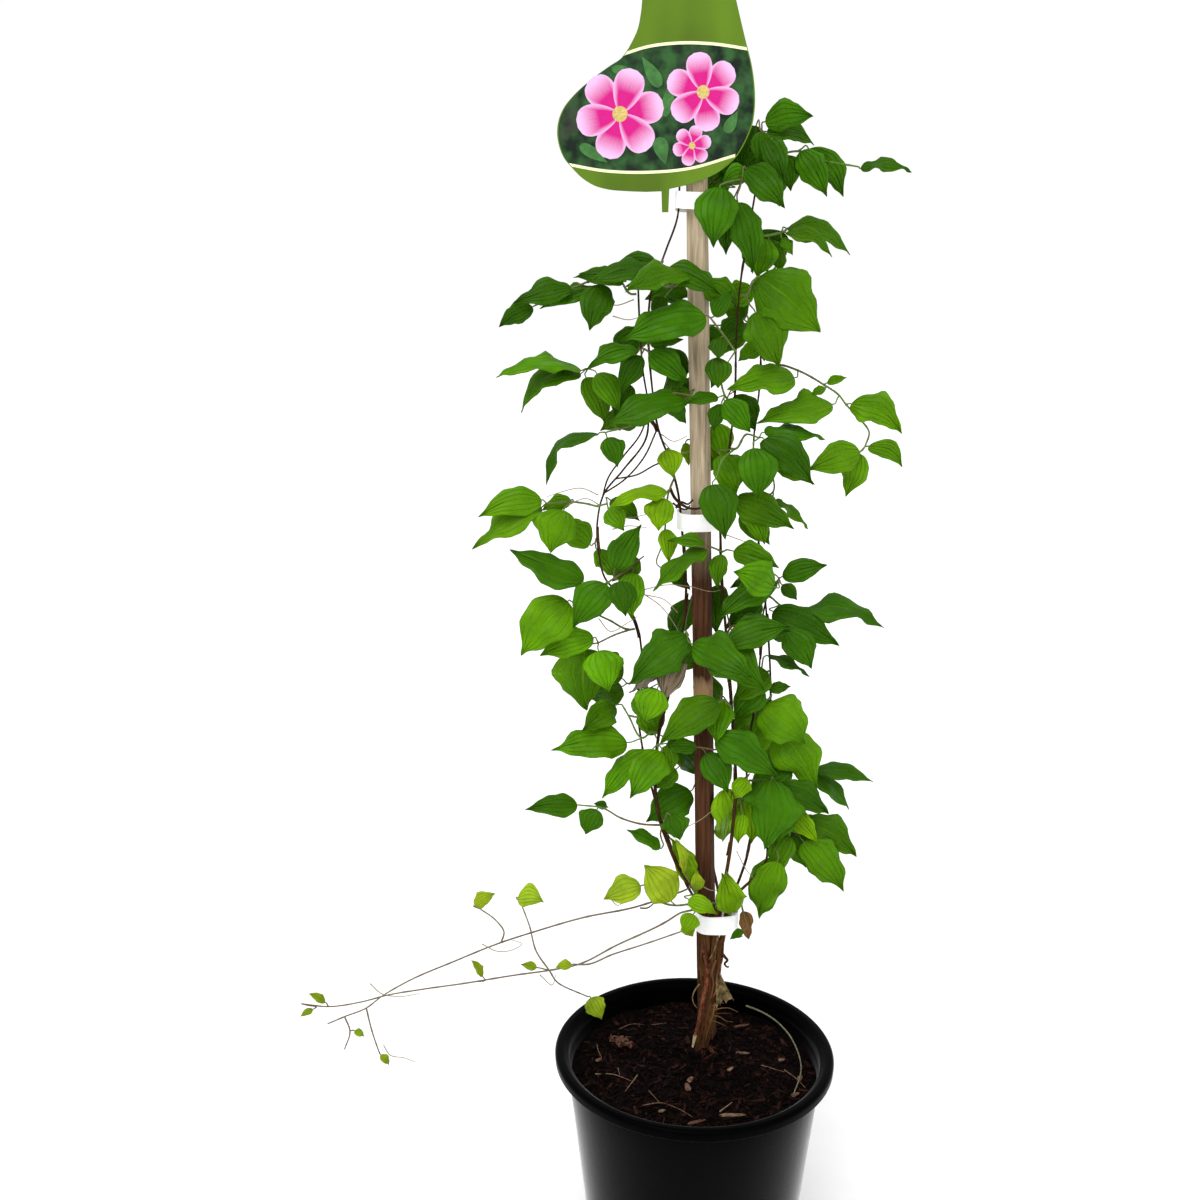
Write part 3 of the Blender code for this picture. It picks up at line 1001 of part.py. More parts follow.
def make_label(parts):
    """The printed card: a filled flat outline with a tab that points down beside the tie."""
    curve = bpy.data.curves.new("label", "CURVE")
    curve.dimensions = "2D"
    curve.fill_mode = "BOTH"
    curve.extrude = LABEL_THICKNESS / 2 * CM
    spline = curve.splines.new("POLY")
    spline.use_cyclic_u = True
    spline.points.add(len(LABEL_OUTLINE) - 1)
    for point, (x, z) in zip(spline.points, LABEL_OUTLINE):
        point.co = (x * CM, z * CM, 0.0, 1.0)
    guide = bpy.data.objects.new("label_guide", curve)
    parts.objects.link(guide)
    mesh = evaluated_mesh(guide)
    bpy.data.objects.remove(guide, do_unlink=True)
    shape = bmesh.new()
    shape.from_mesh(mesh)
    bmesh.ops.remove_doubles(shape, verts=shape.verts, dist=1e-6)
    bmesh.ops.recalc_face_normals(shape, faces=shape.faces)
    shape.to_mesh(mesh)
    shape.free()
    label = bpy.data.objects.new("label", mesh)
    parts.objects.link(label)
    label.rotation_euler = (math.pi / 2, 0, 0)
    label.location = (0, LABEL_Y * CM, 0)
    return label


def make_stems(parts):
    """The six woody stems and the crown that they grow from, as one plant."""
    bpy.ops.mesh.primitive_uv_sphere_add(segments=10, ring_count=6, radius=CM)
    crown = bpy.context.object
    crown.name = "stems"
    crown.data.transform(Matrix.Diagonal((*CROWN_HALF, 1.0)))
    crown.data.transform(Matrix.Translation(Vector(CROWN_CENTRE) * CM))
    for holder in list(crown.users_collection):
        holder.objects.unlink(crown)
    parts.objects.link(crown)
    rods = []
    for name in STEMS:
        route = np.array(STEMS[name][1])
        radii = stem_radii(name, np.linspace(0, 1, len(route)))
        rods.append(tube("stem_" + name, route, radii, STEM_SIDES, parts))
    for i, route in enumerate(TWINING):
        route = np.array(route)
        rods.append(tube(f"twining_{i}", route, np.full(len(route), TWINING_RADIUS), STALK_SIDES, parts))
    return fused(crown, rods)


def leaf_size(leaf):
    length = np.linalg.norm(leaf.tip - leaf.base)
    if length > LARGE_LEAF:
        return "large"
    return "small" if length < SMALL_LEAF else "middle"


def blade_object(name, leaf, collection):
    """One leaf: a three-sided stalk that opens into a thin blade with a midrib, loft by loft.

    The blade's upper and lower faces have the same triangles, one thickness apart.
    """
    rows = LEAF_ROWS[leaf_size(leaf)]
    along = unit(leaf.tip - leaf.base)
    reach = leaf.base - leaf.hub
    if np.linalg.norm(reach) < 0.12:
        reach = along * 0.2
    run = unit(reach)
    vertices = []
    for place, heading in ((leaf.base - reach - run * 0.05, run), (leaf.base, unit(0.5 * run + along))):
        across = unit(np.cross(leaf.normal, heading))
        up = np.cross(heading, across)
        for s, t in ((0.0, 1.0), (0.87, -0.5), (-0.87, -0.5)):
            vertices.append(place + LEAF_STALK_RADIUS * (s * across + t * up))
    grid = blade_points(leaf, rows, (-1, 0, 1))
    nearby = blade_points(leaf, np.array(rows) + 0.02, (-1, 0, 1))
    for row, ahead in zip(grid, nearby):
        out = unit(np.cross(ahead[1] - row[1], row[0] - row[2]))
        half = out * LEAF_THICKNESS / 2 * (1 if out @ leaf.normal > 0 else -1)
        vertices += [row[0] + half, row[1] + half, row[2] + half]
        vertices += [row[2] - half, row[1] - half, row[0] - half]
    end = blade_points(leaf, (1.0,), (0,))[0, 0]
    vertices += [end + half, end - half]
    faces = [(0, 1, 2)]
    faces += [(i, (i + 1) % 3, 3 + (i + 1) % 3, 3 + i) for i in range(3)]
    top, right, left = 3, 4, 5
    first = 6
    faces += [(top, first, first + 1), (top, first + 1, first + 2), (top, first + 2, right)]
    faces += [(right, first + 2, first + 3), (right, first + 3, first + 4), (right, first + 4, left)]
    faces += [(left, first + 4, first + 5), (left, first + 5, first), (left, first, top)]
    for i in range(len(rows) - 1):
        a = first + 6 * i
        b = a + 6
        for j, k in ((0, 1), (1, 2)):
            faces += [(a + j, a + k, b + k), (a + j, b + k, b + j)]
            faces += [(a + 5 - j, a + 5 - k, b + 5 - k), (a + 5 - j, b + 5 - k, b + 5 - j)]
        faces += [(a + 2, a + 3, b + 3), (a + 2, b + 3, b + 2)]
        faces += [(a, a + 5, b + 5), (a, b + 5, b)]
    a = first + 6 * (len(rows) - 1)
    high, low = a + 6, a + 7
    faces += [(a, a + 1, high), (a + 1, a + 2, high), (a + 5, a + 4, low), (a + 4, a + 3, low)]
    faces += [(a + 2, a + 3, low, high), (a, a + 5, low, high)]
    return new_mesh_object(name, vertices, faces, collection)


def make_frond(frond, routes, leaves, parts):
    """The frond's stalk with its branches and leaves, fused into one."""
    pieces = []
    for i, route in enumerate(routes):
        radii = np.linspace(STALK_RADIUS * (1.0 if i == 0 else 0.93), STALK_END_RADIUS, len(route))
        pieces.append(tube(f"{frond.name}_stalk_{i}", route, radii, STALK_SIDES, parts))
    for i, leaf in enumerate(leaves):
        pieces.append(blade_object(f"{frond.name}_leaf_{i}", leaf, parts))
    first = pieces[0]
    fused(first, pieces[1:])
    first.name = frond.name
    return first


def dress(obj, material, smooth_angle=None):
    obj.data.materials.clear()
    obj.data.materials.append(material)
    if smooth_angle:
        obj.data.shade_smooth()
        obj.data.set_sharp_from_angle(angle=math.radians(smooth_angle))


def main():
    clear_scene()
    parts = new_collection("potted_clematis")
    cutters = new_collection("cutters")
    plastic = new_material("pot_plastic", (0.012, 0.013, 0.014), 0.38)
    earth = new_material("bark_mix", (0.030, 0.017, 0.010), 0.95)
    wood = new_material("stake_wood", (0.36, 0.27, 0.18), 0.80)
    tape = new_material("tie_plastic", (0.85, 0.85, 0.83), 0.45)
    card = new_material("label_card", (0.10, 0.23, 0.03), 0.35)
    bark = new_material("stem_bark", (0.110, 0.055, 0.030), 0.85)
    greens = {name: new_material("leaf_" + name, colour, 0.50) for name, colour in TINTS.items()}
    dress(make_pot(parts, cutters), plastic, 40)
    dress(make_soil(parts, cutters), earth)
    dress(make_stake(parts), wood)
    for tie in TIES:
        dress(make_tie(tie, parts), tape, 40)
    dress(make_label(parts), card)
    dress(make_stems(parts), bark, 60)
    stalks, leaves = laid_out()
    for frond in FRONDS:
        made = make_frond(frond, stalks[frond.name], leaves[frond.name], parts)
        dress(made, greens[frond.tint], 50)
    for cutter in cutters.objects:
        cutter.hide_viewport = False


main()
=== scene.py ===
"""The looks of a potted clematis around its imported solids, laid out as a Blender add-on and run as a script.

Every piece is a surface worked out with numpy in centimetres and put into its mesh in metres. The leaves
stand where the part's source puts them: places of leaves were measured as x and z in the upright plane
y = READING_Y, as seen from VIEW_POINT, and seen() slides each along its line of sight to its own depth.
"""

import math
from collections import namedtuple

import bpy
import numpy as np
from bpy.props import FloatProperty, FloatVectorProperty, IntProperty, PointerProperty
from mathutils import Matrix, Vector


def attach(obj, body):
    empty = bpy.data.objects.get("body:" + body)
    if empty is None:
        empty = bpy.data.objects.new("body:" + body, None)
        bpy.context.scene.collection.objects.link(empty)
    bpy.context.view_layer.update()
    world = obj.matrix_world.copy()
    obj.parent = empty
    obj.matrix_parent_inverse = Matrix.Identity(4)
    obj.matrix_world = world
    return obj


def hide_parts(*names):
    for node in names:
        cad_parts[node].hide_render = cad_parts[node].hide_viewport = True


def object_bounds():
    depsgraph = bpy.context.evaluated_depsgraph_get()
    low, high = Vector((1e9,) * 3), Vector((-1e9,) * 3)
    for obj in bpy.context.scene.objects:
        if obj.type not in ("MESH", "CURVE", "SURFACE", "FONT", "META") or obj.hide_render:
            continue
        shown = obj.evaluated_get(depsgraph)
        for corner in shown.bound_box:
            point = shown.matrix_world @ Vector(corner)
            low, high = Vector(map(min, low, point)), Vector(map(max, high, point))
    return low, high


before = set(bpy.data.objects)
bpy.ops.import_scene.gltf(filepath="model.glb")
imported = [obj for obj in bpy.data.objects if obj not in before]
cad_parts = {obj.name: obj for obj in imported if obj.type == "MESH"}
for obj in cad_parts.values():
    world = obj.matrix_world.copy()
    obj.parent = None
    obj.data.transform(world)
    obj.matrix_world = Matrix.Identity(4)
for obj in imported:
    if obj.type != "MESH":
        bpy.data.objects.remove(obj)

bl_info = {
    "name": "Potted clematis",
    "version": (1, 0, 0),
    "blender": (4, 5, 0),
    "location": "View3D > Sidebar > Clematis",
    "description": "Adds the leaves, stems, pot and other looks of a potted clematis",
    "category": "Add Mesh",
}

FRAME_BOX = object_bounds()
CM = 0.01
SEED = 7
BODY = "root"

GAP = 0.03  # between pieces that touch


def table(text):
    """The rows of a table, one to a line: what ends in a digit becomes a number, any other word stays."""
    return [[float(word) if word[-1].isdigit() else word for word in line.split()]
            for line in text.strip().splitlines()]


def in_rows(values, size=3):
    """One row of numbers as rows of this many, such as points."""
    return np.array(values, float).reshape(-1, size)


POT_HEIGHT = 14.05
POT_RIM_RADIUS = 8.6
POT_RIM_SKIRT = 0.65
POT_TOP_RADIUS = 7.95
POT_FOOT_RADIUS = 6.35
POT_WALL = 0.16
POT_FLOOR = 0.3
DRAIN_HOLES = 8

SOIL_LEVEL = 12.6
SOIL_MOUND = 0.65

STAKE_SIDE = 1.0
STAKE_FOOT = (1.39, 2.89, 3.5)
STAKE_TOP = (-0.58, 0.92, 66.5)

CROWN_CENTRE = (0.85, 0.95, 12.7)
CROWN_HALF = (1.05, 0.75, 0.75)

TIE_TAPE = 0.07
TIE_ROUNDNESS = 3.0  # exponent of the superellipse that the tape follows
TIE_SEAM = 0.9  # how far round to the front the tape's two ends lap
Tie = namedtuple("Tie", "name x y half_x half_y low high")
TIES = (
    Tie("tie_low", 1.45, 2.05, 1.40, 1.30, 21.10, 22.38),
    Tie("tie_middle", -0.01, 1.53, 1.39, 1.18, 46.25, 47.34),
    Tie("tie_top", -0.77, 0.99, 1.00, 0.93, 63.90, 64.88),
)

LABEL_THICKNESS = 0.08
LABEL_Y = 0.21
# The card's outline, x and z, clockwise from its lowest point
LABEL_OUTLINE = in_rows("""
-3.35 64.8 -4.4 64.84 -5.4 64.93 -6.1 65.12 -6.75 65.5 -7.3 66.02 -7.75 66.55 -8 67.15 -8.1 67.8 -8 68.5 \
-7.72 69.1 -7.3 69.6 -6.7 70.15 -6 70.68 -5.3 71.15 -4.7 71.53 -4.42 71.87 -4.1 72.4 -3.84 72.95 -3.68 73.7 \
-3.55 75 -3.3 76.3 -2.8 77.4 -2.05 78.15 -1.15 78.4 -.2 78.15 .5 77.4 .9 76.3 1.15 75 1.45 73.85 1.85 72.4 \
2.2 71.2 2.38 70.1 2.42 69.1 2.3 68.2 1.98 67.4 1.45 66.55 .75 65.95 -.2 65.45 -1.1 65.16 -2.08 64.95 -2.12 \
63.75 -2.46 63.75 -2.5 64.83
""".split(), 2)

STEM_TIP_RADIUS = 0.07
# Each woody stem: its name, its radius at the crown, and the points that it runs through
STEMS = {name: (radius, in_rows(route)) for name, radius, *route in table("""
left .22 .5 .85 12.7 .42 1.1 15 .5 1.35 18 .68 1.32 20.9 .66 1.32 22.5 .2 1.25 23.6 -.75 1.1 25 -1.6 1 26.9 \
-2.2 1.2 28.6 -2.5 1.5 31 -2.3 1.7 33.6 -1.65 1.8 36.4 -1.12 1.7 38.8 -.84 1.55 41 -.8 1.5 43.6 -.98 1.42 \
45.4 -1.12 1.36 46.8 -1.28 1.28 48.2 -1.75 1.1 50 -2.55 1 52.2 -2.9 1 54.5 -3.1 .9 57 -3 .7 59.5 -2.2 .72 \
61.8 -1.58 .82 63.6 -1.5 .85 65.1 -1.45 1 66.2
back .14 1.25 1.25 12.7 2.12 2.45 15.4 1.68 3.02 18 1.72 2.92 20.9 1.7 2.9 22.5 1.3 3.2 24.5 .8 3.35 28.5 \
.35 3.2 34 .05 2.95 40 0 2.55 45.6 0 2.52 47.6 0 2.6 52 -.45 2.3 58 -.85 1.76 63.5 -.87 1.73 65.2 -.95 1.9 \
66.4
right_inner .2 .95 .8 12.7 1.02 1 15 1.08 1.18 18 1.32 1.12 20.9 1.42 1.1 22.5 1.7 1 23.8 1.95 .9 25.5 2.2 \
.9 28 2.35 1 30.5 2.2 1.1 33.5 2 1.2 36 1.75 1.2 38.5 1.4 1.1 42 1.15 1.12 45.6 1.12 1.1 47.6 1.4 .9 50 \
1.75 .7 54 1.75 .6 57 1.9 .6 60 2.4 .6 63.5 2.75 .5 66.5 2.7 .4 68
right_outer .15 1.32 .95 12.7 1.58 1.3 15 1.68 1.62 18 1.95 1.55 20.9 2.1 1.62 22.5 2.75 1.85 23.4 3.6 1.9 \
24.3 4.42 1.8 25.6 4.4 1.8 26.9 3.8 2 28.4 3.2 2.3 30.5 3.3 2.5 33 3.6 2.6 35.5 3.8 2.6 38 3.9 2.4 41 4.3 \
2.1 43.2
right_back .13 1.5 1.1 12.7 1.95 1.75 15 2.02 2.25 18 2.2 2.3 20.9 2.32 2.45 22.5 2.9 2.85 23.8 3.4 3.1 \
25.3 3.8 3.5 28 4.4 3.9 31.5 4.7 4 35 4.5 4 39 4 3.8 43 3.4 3.4 47 3.15 3 51 3.4 2.7 55 3.3 2.4 58.5 3.6 \
2.2 61
bow .12 .25 1 12.7 .05 1.35 15 .02 1.72 18 .31 1.76 20.9 .29 1.74 22.5 -.45 2.12 23.9 -1.7 2.75 27 -2.9 3.2 \
31 -3.5 3.2 35 -3.3 2.9 38.5 -3.7 2.5 40.6 -4.5 2.1 42.1 -5.5 1.8 43.3 -5.9 1.6 45 -5.95 1.5 46.8 -5.6 1.4 \
48.3 -4.5 1.3 49.7 -3.15 1.5 51.6 -3.05 1.7 53 -3.4 1.75 55.5 -3.6 1.6 58 -3.7 1.4 60
""")}
TWINING_RADIUS = 0.055
# Bare leaf stalks that twine from stem to stem above the bow
TWINING = [in_rows(route) for route in table("""
-5.7 1.43 48 -5.35 1.6 49.2 -4.5 1.75 50.4 -3.5 1.8 51.7 -3.08 1.7 52.8
-5.5 1.4 48.4 -4.4 1 49.2 -3.3 .85 50.5 -2.6 1 52
-4.9 1.33 49.2 -3.7 .75 49.5 -2.6 .7 50.1 -1.85 1.08 50.3
""")]

VIEW_POINT = (-5.8, -70.2, 57.3)
READING_Y = 1.8

STALK_RADIUS = 0.08
STALK_END_RADIUS = 0.06
STALK_STUB = 0.25
LEAF_FULLNESS = 1.1
LEAF_WIDTH_SHARE = 0.48
LEAF_ARCH = 0.12
LEAF_BOW = 0.05
LEAF_FOLD = 0.34
LEAF_CURL = 0.42
LEAF_WAVE = 0.16
LEAF_WAVES = 1.6

BLADE_CLEARANCE = 0.27
STALK_CLEARANCE = 0.24
REACH = 0.9  # no further than this do points get in each other's way
RIM_CIRCLE = 8.2  # the circle of the pot's rim that leaves keep clear of
CARD_X, CARD_Z = (-7.6, 2.2), (65.2, 76)  # the card's part that leaves keep clear of
BEND_STEP = 0.4
BEND_STEPS = 6

Frond = namedtuple("Frond", "name tint stem side root colour tones branches leaves")


def read_fronds(text):
    """The fronds of a table.

    A frond's first line gives its name, its tint, the stem that bears it, the side of the stem that it
    leaves from and the x and z of its root there, and where they aren't the usual ones the tint that it
    is shown in and how light its leaves are within it, from and to. A line after a colon is a branch of
    its stalk, as x, z and depth. Any other line is a leaf: x and z of the stalk end, x and z of the tip,
    width as seen, depth of the stalk end, depth of the tip, and, where it isn't the usual one, the share
    of its length that the midrib bows up as seen.
    """
    fronds = []
    for first, *rest in table(text):
        if first == ":":
            fronds[-1].branches.append(in_rows(rest))
        elif isinstance(first, str):
            tint, stem, side, x, z, *shown = rest
            colour, *tones = shown or (tint, 0.0, 1.0)
            fronds.append(Frond(first, tint, stem, side, (x, z), colour, tones, [], []))
        else:
            fronds[-1].leaves.append([first, *rest])
    return fronds


